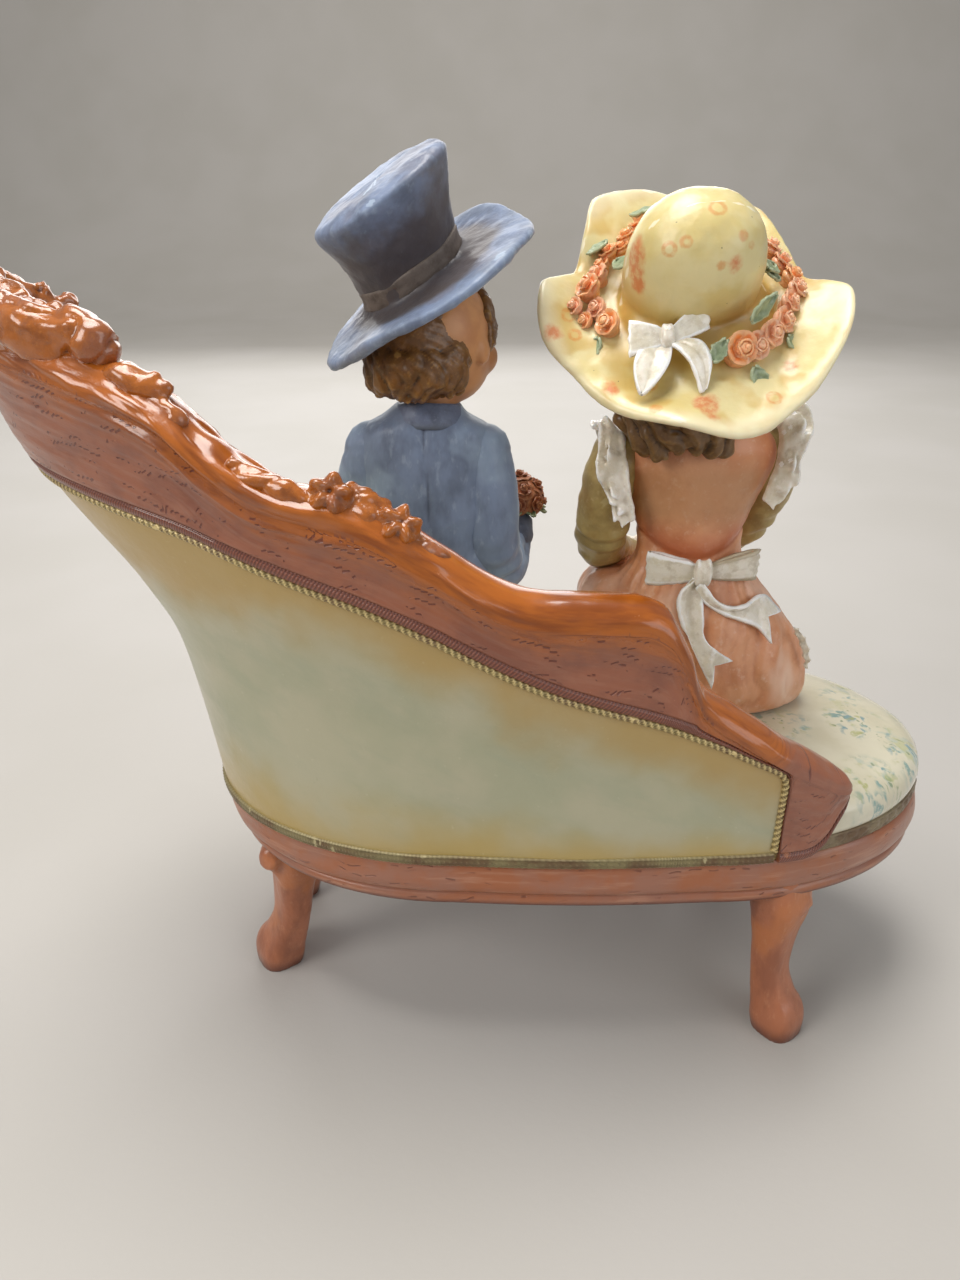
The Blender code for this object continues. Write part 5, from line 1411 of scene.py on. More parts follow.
parts, at = face_parts(BOY_HEAD, BOY_TURN)
parts.append(tube([(9.0, -4.0, 107.5, 4.6), (8.5, -4.2, 113.0, 4.7), (8.0, -4.3, 117.0, 5.0)], 26, steps=4))
V, F = remesh(parts, 0.42, 4)
V = under(HAT_AT, V, top=-3.4)
LIPS = brushed("lip_paint", "#b8614a", "#7c3628", "#d28a70", size=1.2, rough=0.32, coat=0.3, grain=0.01)
BOY_SKIN = skin_paint("boy_skin", BOY_HEAD, BOY_TURN, 1.0, tan="#cd9464")
piece("boy_head", (V, F), BOY_SKIN, "boy")
eyes("boy", at, BOY_TURN, 1.0, WHITE, IRIS, BROW, "boy", (V, F), LIPS)


def fringe(at, k):
    """Parted locks laid over the forehead and temples."""
    locks = []
    for sx in (-1, 1):
        for j in range(4):
            h, pts = 8.9 - 1.0 * j, []
            for t in np.linspace(0, 1, 7):
                x, z = 0.3 + 8.0 * t, h - (0.5 + 0.35 * j) * t - (4.6 + 0.3 * j) * t ** 2.4
                y = 0.6 - 9.4 * math.sqrt(max(0.03, 1 - (x / 8.6) ** 2 - ((z - 1.6) / 9.4) ** 2))
                pts.append(np.append(at(sx * x, y, z), (0.95 + 0.45 * math.sin(math.pi * t)) * k))
            locks.append(tube(pts, 14, steps=4))
    return locks


def hair_locks(cap, centre, turn, waves=17, depth=0.9, seed=3, lean=0.35, voxel=0.42):
    """Thick combed locks over a cap of hair: ridges run down from the crown and curl a little."""
    V, F = remesh(cap, voxel, 4)
    D = polar(V, centre, turn)
    ang = np.arctan2(D[:, 0], D[:, 1])
    h = D[:, 2]
    warp = 0.16 * rough_noise(V, (5, 5, 7), 2, seed) + lean * np.sin(h * 0.32 + seed)
    ph = (ang + warp) * waves + 0.9 * noise(V, 6, seed + 2)
    lock = np.abs(np.sin(ph / 2)) ** 0.6
    fine = np.sin(ph * 3.0 + 1.5 * noise(V, 3, seed + 5))
    curl = rough_noise(V, (3.4, 3.4, 2.6), 2, seed + 8)
    low = step(h, 2, -9)
    V = raised(V, F, depth * (lock - 0.6) * (0.5 + 0.7 * low) + 0.12 * fine + 0.45 * curl * (0.4 + low))
    return relax(V, F, 1, 0.35), F


cap = [ellipsoid((9.8, -2.6, 122.8), (8.6, 9.2, 9.8), (6, 0, -58), 48, 30), ellipsoid((11.0, 0.0, 118.6), (7.4, 6.4, 5.4), (0, 0, -20), 40, 26),
       ellipsoid((14.8, -5.0, 120.4), (3.2, 4.4, 5.4), (0, 8, -20), 30, 20), ellipsoid((5.2, 1.8, 119.8), (3.6, 3.6, 4.8), (0, -6, 0), 30, 20),
       ellipsoid((9.0, 2.8, 117.2), (5.4, 3.4, 3.6), (0, 0, -20), 30, 20), ellipsoid((13.6, 0.4, 117.0), (3.4, 3.4, 3.4), (0, 0, 0), 30, 20)]
for k in range(10):
    b = math.radians(-34 + 20 * k)
    cap.append(tube([(10.2 + 7.6 * math.cos(b), -2.2 + 7.7 * math.sin(b), 120.0, 2.2), (10.3 + 7.6 * math.cos(b), -2.0 + 7.5 * math.sin(b), 117.0, 1.9),
                     (10.1 + 7.2 * math.cos(b + 0.12), -2.2 + 7.0 * math.sin(b + 0.12), 115.0 + 0.8 * math.sin(k * 2.1), 0.9)], 14, steps=5))
cap += fringe(at, 1.0)
Vh, Fh = hair_locks(cap, (9.3, -2.8, 121.6), (0, 0, 0), waves=23, depth=0.62, lean=0.45)
piece("boy_hair", (under(HAT_AT, Vh), Fh), HAIR, "boy")

# top hat: a flared crown with hollow sides, a ribbon and a curled brim
def crown_lean(x, y, z, m):
    """The crown stands a little back on the brim and leans against the brim's tilt."""
    return x + m * (1.9 - 0.23 * (z - 1)), y + m * (-3.0 + 0.2 * (z - 1))


def hat_warp(V):
    x, y, z = V.T.copy()
    r = np.hypot(x, y)
    z0 = z.copy()
    a = np.arctan2(y, x)
    f = np.clip((r - 10.6) / 9.4, 0, None) ** 1.45

    def near(deg, k):
        return np.exp(k * (np.cos(a - math.radians(deg)) - 1))

    lift = -1.9 * near(8, 4) - 2.2 * near(176, 5) + 1.3 * near(-138, 3.5) - 0.5 * near(100, 3) + 1.7 * near(62, 8) - 0.9 * near(-60, 3) + 0.3 * np.sin(3 * a + 1.0)
    reach = 1 + 0.055 * near(2, 5) - 0.06 * near(178, 3) - 0.03 * near(60, 5)
    grow = 1 + (reach - 1) * np.clip((r - 12) / 6, 0, 1)
    x, y = x * grow, y * grow
    z = z + f * lift
    wob = 1 + 0.02 * np.sin(3 * a + 0.5) + 0.012 * np.sin(7 * a)
    crown = step(z, 1.5, 5.0) * (r > 4)
    x = x * wob * (1 + 0.02 * crown)
    y = y * wob * (1 - 0.03 * crown)
    m = np.maximum(step(z0, 1.0, 1.7), step(r, 17.5, 10.8) * step(z0, 0.0, 0.45))
    x, y = crown_lean(x, y, z0, m)
    return np.stack([x, y, z], 1)


prof = [(0, 16.9), (3.0, 16.95), (6.0, 17.0), (8.2, 16.9), (9.8, 16.7), (11.0, 16.4), (11.7, 15.9), (11.9, 15.2), (11.55, 13.8), (10.9, 11.6),
        (10.25, 9.6), (9.75, 7.6), (9.4, 5.8), (9.2, 4.2), (9.3, 2.8), (9.7, 1.8), (10.6, 1.15), (12.2, 0.95), (14.0, 0.9), (16.0, 0.95),
        (17.8, 1.0), (19.0, 1.0), (19.7, 0.8), (20.0, 0.25), (19.8, -0.4), (19.0, -0.75), (17.0, -0.8), (14.0, -0.8), (11.5, -0.8), (9.6, -0.9),
        (7.5, -1.8), (4.0, -2.7), (0, -3.0)]
fine_prof = [tuple(p) for p in finer(prof, 3)]
V, F = lathe(fine_prof, 150, None, hat_warp)
N = normals(V, F)
dent = 0.22 * rough_noise(V, 5.0, 3, 6) + 0.07 * rough_noise(V, 1.3, 2, 8)
V = V + N * dent[:, None]
piece("boy_hat", (apply(HAT_AT, V), F), HAT, "boy", attrs={"run": V})
band_prof = [(8.6, 1.2), (9.75, 1.35), (9.85, 1.7), (9.6, 2.4), (9.5, 3.2), (9.55, 4.0), (9.35, 4.35), (8.6, 4.4)]
a = np.linspace(0, TAU, 150, endpoint=False)
rings = np.array([[(*crown_lean(r * math.cos(t) * (1 + 0.02 * math.sin(3 * t + 0.5)) * (1 + 0.02 * float(step(z, 1.5, 5.0))), r * math.sin(t) * (1 + 0.02 * math.sin(3 * t + 0.5)) * (1 - 0.03 * float(step(z, 1.5, 5.0))), z, 1.0), z + 0.12 * math.sin(5 * t)) for r, z in band_prof] for t in a])
V, F = rings.reshape(-1, 3), grid_faces(150, len(band_prof), True, True)
BAND = brushed("hat_ribbon", "#6a5f58", "#40352f", "#8a7f76", size=2.5, rough=0.55,
               extra=lambda p, c: p.mix(p.maths("MULTIPLY", p.band(p.cells(p.here(), (2.3, 2.3, 2.3)), 0.2, 0.1), 0.5), c, "#5a3b34"))
piece("boy_hat_ribbon", (apply(HAT_AT, raised(V, F, 0.06 * rough_noise(V, 1.5, 2, 4))), F), BAND, "boy")

# legs, shoes, hands and the bouquet
for nm, pts, dx in (("left", [(12.6, -4.0, 60.0, 6.8), (14.0, -18.0, 60.2, 6.5), (14.5, -32.0, 59.6, 5.9), (14.6, -39.4, 55.6, 5.4), (14.6, -40.9, 42.0, 4.6), (14.6, -41.6, 28.6, 4.3)], 14.8),
                    ("right", [(1.6, -4.0, 60.0, 6.8), (1.6, -18.0, 60.2, 6.5), (1.3, -32.0, 59.6, 5.9), (1.0, -39.4, 55.6, 5.4), (0.8, -40.9, 42.0, 4.6), (0.6, -41.6, 27.6, 4.3)], 0.4)):
    V, F = tube(pts, 44, steps=16)
    knee = np.exp(-((V[:, 2] - 56) / 5) ** 2) + np.exp(-((V[:, 2] - 30) / 4) ** 2) * 0.7
    V = raised(V, F, 0.28 * rough_noise(V, (6, 6, 3), 2, 5) + 0.3 * knee * np.sin((V[:, 2] - 0.5 * V[:, 1] + noise(V, 5, 3)) * 1.3))
    piece(f"boy_trouser_{nm}", (V, F), TROUSER, "boy")
    z0 = 24.0 if nm == "left" else 23.0
    shoe = remesh([ellipsoid((dx, -44.8, z0 - 0.2), (3.5, 7.0, 2.4), (4, 0, 0)), ellipsoid((dx, -41.6, z0 + 1.2), (3.3, 3.7, 3.4)),
                   ellipsoid((dx, -47.6, z0 - 0.2), (3.3, 4.0, 2.3)), tube([(dx, -41.6, z0 + 1, 3.2), (dx, -41.6, z0 + 5.2, 3.3)], 24)], 0.35, 3)
    V, F = shoe
    sole = step(V[:, 2], z0 - 1.5, z0 - 1.9)
    V = V + np.stack([0 * sole, 0 * sole, 0 * sole], 1)
    V = raised(V, F, 0.25 * bump_at(V[:, 2], z0 - 1.9, 0.6) + 0.05 * rough_noise(V, 2, 2, 3))
    V[:, 2] = np.maximum(V[:, 2], z0 - 2.7)
    V[:, 1] = np.maximum(V[:, 1], -51.4)
    piece(f"boy_shoe_{nm}", (V, F), SHOE, "boy")
    lace = tube([(dx - 1.8, -45.0, z0 + 2.6, 0.35), (dx, -46.0, z0 + 2.6, 0.42), (dx + 1.8, -45.0, z0 + 2.6, 0.35)], 10, steps=5)
    piece(f"boy_lace_{nm}", lace, LINEN, "boy")
lh = remesh(hand((12.6, -26.0, 72.2), (10.0, -28.8, 70.2),
                 [((9.6 - 1.3 * k * 0.2, -30.4 + 0.6 * k, 70.4 - 0.2 * k), (7.4 - 0.3 * k, -31.8 + 1.5 * k, 69.6), (5.6, -31.6 + 1.9 * k, 68.6)) for k in range(4)],
                 ((11.2, -30.0, 71.4), (9.4, -32.2, 71.6), (7.8, -33.2, 70.8)), 1.0), 0.28, 2)
piece("boy_hand_left", lh, BOY_SKIN, "boy")
rh = remesh(hand((-6.4, -18.0, 83.4), (-6.6, -20.0, 86.2),
                 [((-4.8, -22.0, 88.6 - 1.75 * k), (-6.6, -23.9, 88.2 - 1.75 * k), (-9.4, -23.0, 87.6 - 1.65 * k)) for k in range(4)],
                 ((-6.2, -19.8, 89.0), (-8.6, -20.8, 90.0), (-10.2, -22.0, 89.6)), 0.82, (2.3, 1.9)), 0.22, 1)
piece("boy_hand_right", rh, BOY_SKIN, "boy")


def rose(centre, out, size, seed=0, petals=(3, 5, 6)):
    """A little rose of cupped overlapping petals round a rolled heart."""
    M = facing(centre, out, up=(0.2, 0.1, 1.0), spin=37 * seed)
    parts = []
    t = np.linspace(0, 1, 20)
    heart = np.stack([size * 0.20 * (1 - 0.6 * t) * np.cos(9 * t + seed), size * 0.20 * (1 - 0.6 * t) * np.sin(9 * t + seed), size * (0.35 + 0.25 * t)], 1)
    parts.append(tube(np.concatenate([apply(M, heart), np.full((20, 1), size * 0.14)], 1), 7))
    for layer, count in enumerate(petals):
        r = size * (0.34 + 0.24 * layer)
        hgt = size * (0.62 - 0.17 * layer)
        for k in range(count):
            b = TAU * k / count + 0.9 * layer + seed
            u = np.linspace(-1, 1, 7)[:, None]
            v = np.linspace(0, 1, 6)[None]
            half = (TAU / count) * 0.72
            ang = b + half * u * (0.45 + 0.55 * v)
            rr = r * (0.35 + 0.75 * v ** 0.8) + size * 0.10 * layer * v ** 3 * (1 - 0.3 * u * u)
            z = hgt * v ** (1.1 + 0.3 * layer) * (1 - 0.28 * u * u * v) - size * 0.10 * layer * v ** 4 * 1.6
            z = z + size * 0.05 * np.sin(5 * u + k + seed) * v
            G = np.stack([rr * np.cos(ang), rr * np.sin(ang), z + 0 * ang], -1)
            W, F = sheet(G, size * 0.085)
            parts.append((apply(M, W), F))
    base = ellipsoid((0, 0, -0.05 * size), (size * 0.62, size * 0.62, size * 0.34), n=18, m=10)
    parts.append((apply(M, base[0]), base[1]))
    return parts


def leaf(centre, out, direction, length, width, curl=0.5, thick=0.35):
    """A pointed leaf with a folded midrib."""
    z = Vector(out).normalized()
    x = Vector(direction) - z * Vector(direction).dot(z)
    x.normalize()
    y = z.cross(x)
    M = Matrix((x, y, z)).transposed().to_4x4()
    M.translation = Vector(centre)
    u = np.linspace(0, 1, 15)[:, None]
    v = np.linspace(-1, 1, 9)[None]
    w = width * np.sin(math.pi * u ** 0.85) ** 0.8 * (1 + 0.09 * np.cos(26 * u)) + 0.02
    G = np.stack([length * u + 0 * v, w * v, 0.22 * width * np.abs(v) ** 1.2 + curl * length * (u - u * u) + 0.06 * width * np.sin(14 * u - 5 * np.abs(v)) + 0 * v], -1)
    W, F = sheet(G, thick)
    return apply(M, W), F


ROSE = brushed("rose_paint", "#d9845c", "#8e3d22", "#f0b79a", size=1.6, rough=0.42, deep_amount=0.95, worn_amount=0.7, wash="#cf6a3e",
               wash_size=3.0, wash_amount=0.7, cavity=(0.49, 0.43), edge=(0.51, 0.57), coat=0.15, soft=0.1)
LEAF = brushed("leaf_paint", "#7f9068", "#46522f", "#b3bd98", size=1.6, rough=0.42, deep_amount=0.8, worn_amount=0.6, coat=0.15)
RUSSET = brushed("bouquet_paint", "#9d5836", "#55291a", "#c08a62", size=1.6, rough=0.45, deep_amount=0.95, worn_amount=0.5)
flowers, greens = [], []
core = np.array((-7.9, -20.8, 90.6))
for k, (dx, dy, dz) in enumerate(((0, 0, 3.4), (-3.0, 0.6, 1.8), (2.8, -0.6, 2.0), (0.4, -2.8, 1.4), (-0.6, 3.0, 1.6), (-2.4, -2.2, -0.4), (2.4, 2.0, -0.2), (-3.0, 2.8, -1.2), (2.6, -2.8, -1.0), (-4.0, 0.2, -1.4), (0.4, 4.0, -1.0))):
    flowers += rose(core + np.array((dx, dy, dz)), (dx * 0.9, dy, dz + 1.2), 2.1, k)
for k in range(9):
    b = TAU * k / 9
    greens.append(leaf(core + np.array((1.8 * math.cos(b), 1.8 * math.sin(b), -1.6)), (math.cos(b) * 0.5, math.sin(b) * 0.5, 1), (math.cos(b), math.sin(b), -0.15), 4.0, 1.3, 0.2))
flowers.append(ellipsoid(core + np.array((0, 0, -0.4)), (3.4, 3.2, 3.0)))
piece("bouquet_flowers", join(flowers), RUSSET, "boy", sharp=60)
piece("bouquet_leaves", join(greens), LEAF, "boy")
stems = [tube([(core[0] + 1.1 * math.cos(k), core[1] + 1.1 * math.sin(k), 89.5, 0.5), (-7.0, -20.6, 85.4, 0.48), (-6.8 + 0.8 * math.cos(k * 1.3), -22.2 + 0.8 * math.sin(k * 1.3), 80.2, 0.42)], 8, steps=5) for k in range(6)]
piece("bouquet_stems", join(stems), LEAF, "boy")


# ================================================================== girl
GIRL_HEAD, GIRL_TURN = (-34.2, -6.4, 119.4), (0, 4, 24)
G = "girl"


def ribbon(path, across, half, thick=0.6, cup=0.0, wave=0.0, waves=3.0, steps=9):
    """A soft band along a path: across gives its width direction, half its half width at each point."""
    P, A = np.asarray(path, float), np.asarray(across, float)
    if A.ndim == 1:
        A = np.repeat(A[None], len(P), 0)
    A = A / np.linalg.norm(A, axis=1, keepdims=True)
    T = np.gradient(P, axis=0)
    N = np.cross(T, A)
    N /= np.maximum(np.linalg.norm(N, axis=1, keepdims=True), 1e-9)
    v = np.linspace(-1, 1, steps)
    h = np.asarray(half, float)
    u = np.linspace(0, 1, len(P))
    ruck = wave * np.sin(waves * math.pi * v[None, :] + 4.0 * u[:, None]) * np.sin(math.pi * u)[:, None]
    top = P[:, None] + A[:, None] * (h[:, None] * v[None, :])[..., None] + N[:, None] * (cup * (1 - v[None, :] ** 2) + ruck)[..., None]
    return sheet(top, thick)


def bow_loop(knot, along, up, length, half, depth, thick=0.6, seed=0.0):
    """One loop of a bow: a band that runs out from the knot, turns and comes back."""
    along = np.asarray(along, float) / np.linalg.norm(along)
    up = np.asarray(up, float) / np.linalg.norm(up)
    out = np.cross(along, up)
    s = np.linspace(0.02, 0.98, 90)
    f = TAU * s
    go = length * (1 - np.cos(f)) / 2
    side = depth * np.sin(f) * (0.55 + 0.45 * (1 - np.cos(f)) / 2)
    P = np.asarray(knot, float) + along[None] * go[:, None] + out[None] * side[:, None]
    w = half * (0.36 + 0.64 * np.clip(go / length, 0, 1) ** 0.7)
    return ribbon(P, np.repeat(up[None], len(s), 0), w, thick, 0.0, 0.14, 3.0 + seed)


# ---- the dress: bodice, skirt over the seat, lap and the front fall
body = ring_body([(-42.8, -8.4, 53.6, 22.2, 12.9, 8), (-42.6, -8.1, 59, 22.4, 13.4, 7), (-41.9, -7.8, 66, 20.4, 12.5, 5), (-40.7, -7.6, 73, 16.5, 10.8, 2.5),
                  (-39.7, -7.4, 79, 12.6, 8.8, 1), (-39.5, -7.2, 83.4, 9.9, 7.6, 0), (-39.2, -7, 89, 10.2, 7.6, 0), (-39.3, -6.8, 96, 12.3, 7.9, 0.4),
                  (-39.6, -6.6, 101, 13.9, 7.8, 0), (-39.6, -6.4, 105.0, 13.4, 7.2, 0), (-38.4, -6.2, 108.0, 9.6, 6.0, 0), (-36.9, -6.2, 109.4, 6.4, 5.0, 0)], n=90)
lap = []
for y, cx, cz, rx, rz in finer([(-8, -42, 61.5, 19.2, 8.8), (-18, -41.6, 61.5, 19.3, 8.4), (-28, -41, 61, 18.3, 8.0), (-35, -40.6, 59.6, 17.3, 7.8), (-40.2, -40.4, 56.8, 15.2, 6.2)], 6):
    a = np.linspace(0, TAU, 72, endpoint=False)
    c, s = np.cos(a), np.sin(a)
    lap.append(np.stack([cx + rx * np.sign(c) * np.abs(c) ** 0.8, y + 0 * a, cz + rz * np.sign(s) * np.abs(s) ** 0.8], 1))
fall = ring_body([(-40.6, -42.6, 38.2, 18.6, 5.9, 0), (-40.6, -42.2, 42, 18.9, 6.0, 0), (-40.6, -41, 48, 17.9, 5.4, 0), (-40.6, -39.6, 56, 16.9, 5.0, 0), (-40.6, -37.6, 61.5, 13.6, 4.4, 0)], n=80)
V, F = remesh([body, skin(np.array(lap)), fall, ellipsoid((-27.6, -14, 70.6), (8.2, 12.6, 9.0), (0, 0, -6)), ellipsoid((-50, -20, 64), (8.5, 16, 7.0))], 0.68, 4)
az = np.arctan2(V[:, 1] + 8, V[:, 0] + 40.0)
far = np.hypot(V[:, 0] + 40, V[:, 1] + 8)
below = step(V[:, 2], 84.5, 74)
bent = 0.10 * rough_noise(V, (11, 11, 9), 2, 4)
ph = (az + 1.6 * bent) * 17
pleat = 0.55 * np.cos(ph) + 0.25 * np.cos(2.3 * ph + 2)
broad = np.sin((az + 1.8 * bent) * 7 + 1.1) * (0.6 + 0.5 * noise(V, 12, 14))
front = step(V[:, 1], -30, -40)
hem = step(V[:, 2], 44, 38.5) * front
drape = below * (0.42 * pleat * (0.5 + 0.5 * step(far, 6, 20)) + 0.65 * broad * step(V[:, 2], 80, 66)) * step(V[:, 2], 53.2, 56.5) * (1 - front) \
    + front * (0.85 * (np.abs(np.sin((V[:, 0] + 8 * bent) * 0.62)) ** 0.8 - 0.6)) + hem * 0.35 * np.sin(V[:, 0] * 1.9)
seam = 84.7 + 0.045 * (V[:, 0] + 39) ** 2
waist = np.exp(-((V[:, 2] - seam + 0.4) / 0.7) ** 2)
tucks = np.sin((az + 0.3 * bent) * 34) * np.exp(-((V[:, 2] - 80.5) / 3.6) ** 2)
bodice = step(V[:, 2], 84, 87)
neck = np.exp(-((V[:, 2] - 106.6) / 0.55) ** 2)
V = raised(V, F, drape - 0.42 * waist + 0.16 * tucks + bodice * 0.16 * rough_noise(V, (7, 7, 7), 2, 8) + 0.3 * neck + 0.05 * rough_noise(V, 2.0, 2, 5))


def dress_colour(p, c):
    x, y, z = p.split(p.here())
    off = p.maths("ADD", x, 39.0)
    line = p.maths("ADD", p.maths("MULTIPLY", p.maths("MULTIPLY", off, off), 0.045), 84.7)
    soft = p.maths("MULTIPLY", p.maths("SUBTRACT", p.noise(5.0, 3.0, 0.5, seed=3.0), 0.5), 5.0)
    up = p.maths("ADD", p.maths("SUBTRACT", z, line), soft)
    rest = p.maths("SUBTRACT", z, line)
    red = p.maths("MULTIPLY", p.band(up, 6.5, 0.5), p.band(rest, -0.9, -0.1))
    c = p.mix(p.maths("MULTIPLY", red, 0.72), c, "#b2552a")
    side = p.band(p.maths("ADD", p.maths("ABSOLUTE", off), soft), 8.0, 14.5)
    c = p.mix(p.maths("MULTIPLY", p.maths("MULTIPLY", side, 0.7), p.band(z, 86.0, 92.0)), c, "#cf7848")
    # painted shade: the middle of the bodice darkened, the brim's shadow painted on
    shade = p.maths("MULTIPLY", p.maths("MULTIPLY", p.band(z, 88.0, 94.0), p.band(z, 105.0, 99.0)), p.band(side, 0.9, 0.1))
    c = p.mix(p.maths("MULTIPLY", shade, 0.6), c, "#a57c54")
    # painted highlights: pale streaks down the skirt's folds
    pale = p.maths("MULTIPLY", p.band(p.noise(9.0, 2.0, 0.5, seed=8.0, stretch=(1, 1, 1.6)), 0.47, 0.66), p.band(z, 84.0, 74.0))
    return p.mix(p.maths("MULTIPLY", pale, 0.8), c, "#ecc9b2")


DRESS = brushed("dress_paint", "#dd9f76", "#b3693e", "#f3d8c4", size=6.0, rough=0.42, deep_amount=0.85, worn_amount=0.5, wash="#d58a59",
                wash_size=9.0, wash_amount=0.6, coat=0.25, coat_rough=0.3, soft=0.12, cavity=(0.5, 0.455), edge=(0.515, 0.56), extra=dress_colour)
piece("girl_dress", (V, F), DRESS, G)
DRESS_TREE = BVHTree.FromPolygons([tuple(v) for v in V], [tuple(f) for f in F])


def on_dress(x, z, lift=0.0, sign=1):
    """The dress's surface at x, z seen from behind (sign 1) or from the front (-1)."""
    hit = DRESS_TREE.ray_cast(Vector((x, 70.0 * sign, z)), Vector((0, -sign, 0)))
    y = hit[0].y if hit[0] is not None else 4.0
    return np.array((x, y + sign * lift, z))


# ---- sleeves, armhole ruffles
SLEEVE = brushed("sleeve_paint", "#aa945c", "#715a30", "#d0c192", size=5.0, rough=0.42, deep_amount=0.8, worn_amount=0.4, wash="#8a6a34",
                 wash_size=7.0, wash_amount=0.7, coat=0.2, coat_rough=0.3, soft=0.12)
for nm, pts in (("left", [(-24.6, -6, 102.2, 4.5), (-23.0, -5.4, 95, 4.9), (-22.9, -7.0, 88.4, 4.9), (-23.8, -12.6, 82.6, 4.4), (-28.4, -21.2, 78.4, 3.4), (-31.2, -24.6, 76.8, 2.9)]),
                ("right", [(-52.4, -8.4, 102.0, 4.7), (-54.0, -10.2, 95.2, 4.4), (-52.2, -13.0, 88.4, 4.1), (-48.6, -18.0, 82.4, 3.8), (-44.2, -22.8, 78.2, 3.2), (-41.8, -25.2, 76.6, 2.9)])):
    V, F = remesh([tube(pts, 34, steps=9)], 0.55, 2)
    bend = np.exp(-((V[:, 2] - 85.5) / 4.5) ** 2)
    V = raised(V, F, 0.28 * rough_noise(V, (5, 5, 3), 2, 6) + 0.26 * bend * np.sin((V[:, 2] + 0.5 * V[:, 1] + 1.6 * noise(V, 5, 3)) * 1.4))
    piece(f"girl_sleeve_{nm}", (V, F), SLEEVE, G)
    wrist, before = np.array(pts[-1][:3]), np.array(pts[-2][:3])
    d = (wrist - before) / np.linalg.norm(wrist - before)
    m = facing(wrist + d * 0.6, d)
    a = np.linspace(0, TAU, 120, endpoint=False)
    lace = []
    for r, z in ((2.6, -0.8), (3.1, 0.0), (3.6, 0.8), (4.0, 1.6)):
        k = (r - 2.6) / 1.4
        lace.append(np.stack([(r + 0.35 * k * np.sin(9 * a)) * np.cos(a), (r + 0.35 * k * np.sin(9 * a)) * np.sin(a), z + 0.35 * k * np.cos(9 * a)], 1))
    LV, LF = sheet(np.stack(lace, 1), 0.5, wrap_u=True)
    piece(f"girl_cuff_lace_{nm}", (apply(m, LV), LF), LINEN, G)

# the rubbed edges go pure white at 0.9: wear with a painted highlight on top
PEARL = brushed("pearl_ribbon", "#f0eadd", "#a89878", "#ffffff", size=2.6, rough=0.3, deep_amount=0.7, worn_amount=0.9, wash="#d9d0b6",
                wash_size=4.0, wash_amount=0.5, coat=0.5, coat_rough=0.18, soft=0.1, cavity=(0.5, 0.45), edge=(0.51, 0.56))
for nm, sx, seam_pts in (("left", 1, [(-26.9, 0.9, 92.6), (-26.4, 1.1, 95.2), (-25.8, 0.8, 98.0), (-25.0, -0.6, 102.4), (-24.8, -4.4, 106.0), (-25.0, -8.6, 105.2), (-25.8, -12.2, 101.2), (-27.2, -13.6, 96.4)]),
                         ("right", -1, [(-51.2, -1.6, 95.4), (-52.2, -1.6, 98.6), (-53.0, -2.0, 102.4), (-53.4, -3.2, 106.0), (-53.0, -6.0, 108.4), (-52.8, -9.6, 106.8), (-52.8, -12.4, 102.6), (-52.0, -13.6, 97.6)])):
    S = finer(seam_pts, 22)
    n = len(S)
    u = np.linspace(0, 1, n)
    mid = S.mean(axis=0)
    away = S - mid
    away[:, 0] = 0
    away /= np.maximum(np.linalg.norm(away, axis=1, keepdims=True), 1e-9)
    outward = np.array((sx, 0, 0.12)) + 0.25 * away
    outward /= np.linalg.norm(outward, axis=1, keepdims=True)
    wide = (1.2 + 3.6 * np.sin(math.pi * np.clip(0.10 + 0.80 * u, 0, 1))) * (1 + 0.16 * np.sin(19 * u + sx))
    layers = []
    for layer, (grow, lift, turns, phase) in enumerate(((1.0, 0.4, 6.0, 0.0), (0.62, 1.3, 7.0, 1.3))):
        v = np.linspace(0, 1, 12)
        wave = np.sin(TAU * turns * u + phase + 0.8 * np.sin(7 * u))[:, None] * v[None, :] ** 0.8
        along = np.cos(TAU * turns * u + phase)[:, None] * v[None, :] ** 0.8 * 0.35
        T = np.gradient(S, axis=0)
        T /= np.linalg.norm(T, axis=1, keepdims=True)
        top = S[:, None] + outward[:, None] * (wide[:, None] * v[None, :] * grow)[..., None] + away[:, None] * (lift * (0.5 + v[None, :]) * 0.8 + 0.85 * wave)[..., None] + T[:, None] * along[..., None]
        layers.append(sheet(top, 0.75))
    layers.append(tube(np.concatenate([S, np.full((n, 1), 0.8)], 1), 10))
    V, F = remesh(layers, 0.3, 3)
    V = raised(V, F, 0.2 * rough_noise(V, 2.6, 2, 3))
    piece(f"girl_ruffle_{nm}", (V, F), PEARL, G)

# ---- the waist bow, its knot and two notched tails lying on the skirt
knot = on_dress(-40.4, 82.4, 1.3)
for nm, along, half, length, seed in (("left", (9.4, -1.6, 0.2), 3.7, 9.6, 0.0), ("right", (-10.6, -2.4, 0.7), 3.2, 10.6, 0.7)):
    V, F = bow_loop(knot + np.array((0.5 if nm == "left" else -0.5, -0.2, 0)), along, (0.06, 0.25, 1.0), length, half, 0.95, 0.65, seed)
    V = raised(V, F, 0.1 * rough_noise(V, 1.5, 2, 3))
    piece(f"waist_bow_{nm}", (V, F), PEARL, G)
kv, kf = remesh([ellipsoid(knot + np.array((0, 0.5, 0)), (1.7, 1.5, 2.5)), ellipsoid(knot + np.array((-0.9, 0.6, 0.2)), (0.8, 1.3, 2.7)), ellipsoid(knot + np.array((0.9, 0.6, 0.2)), (0.8, 1.3, 2.6))], 0.22, 1)
piece("waist_bow_knot", (kv, kf), PEARL, G)


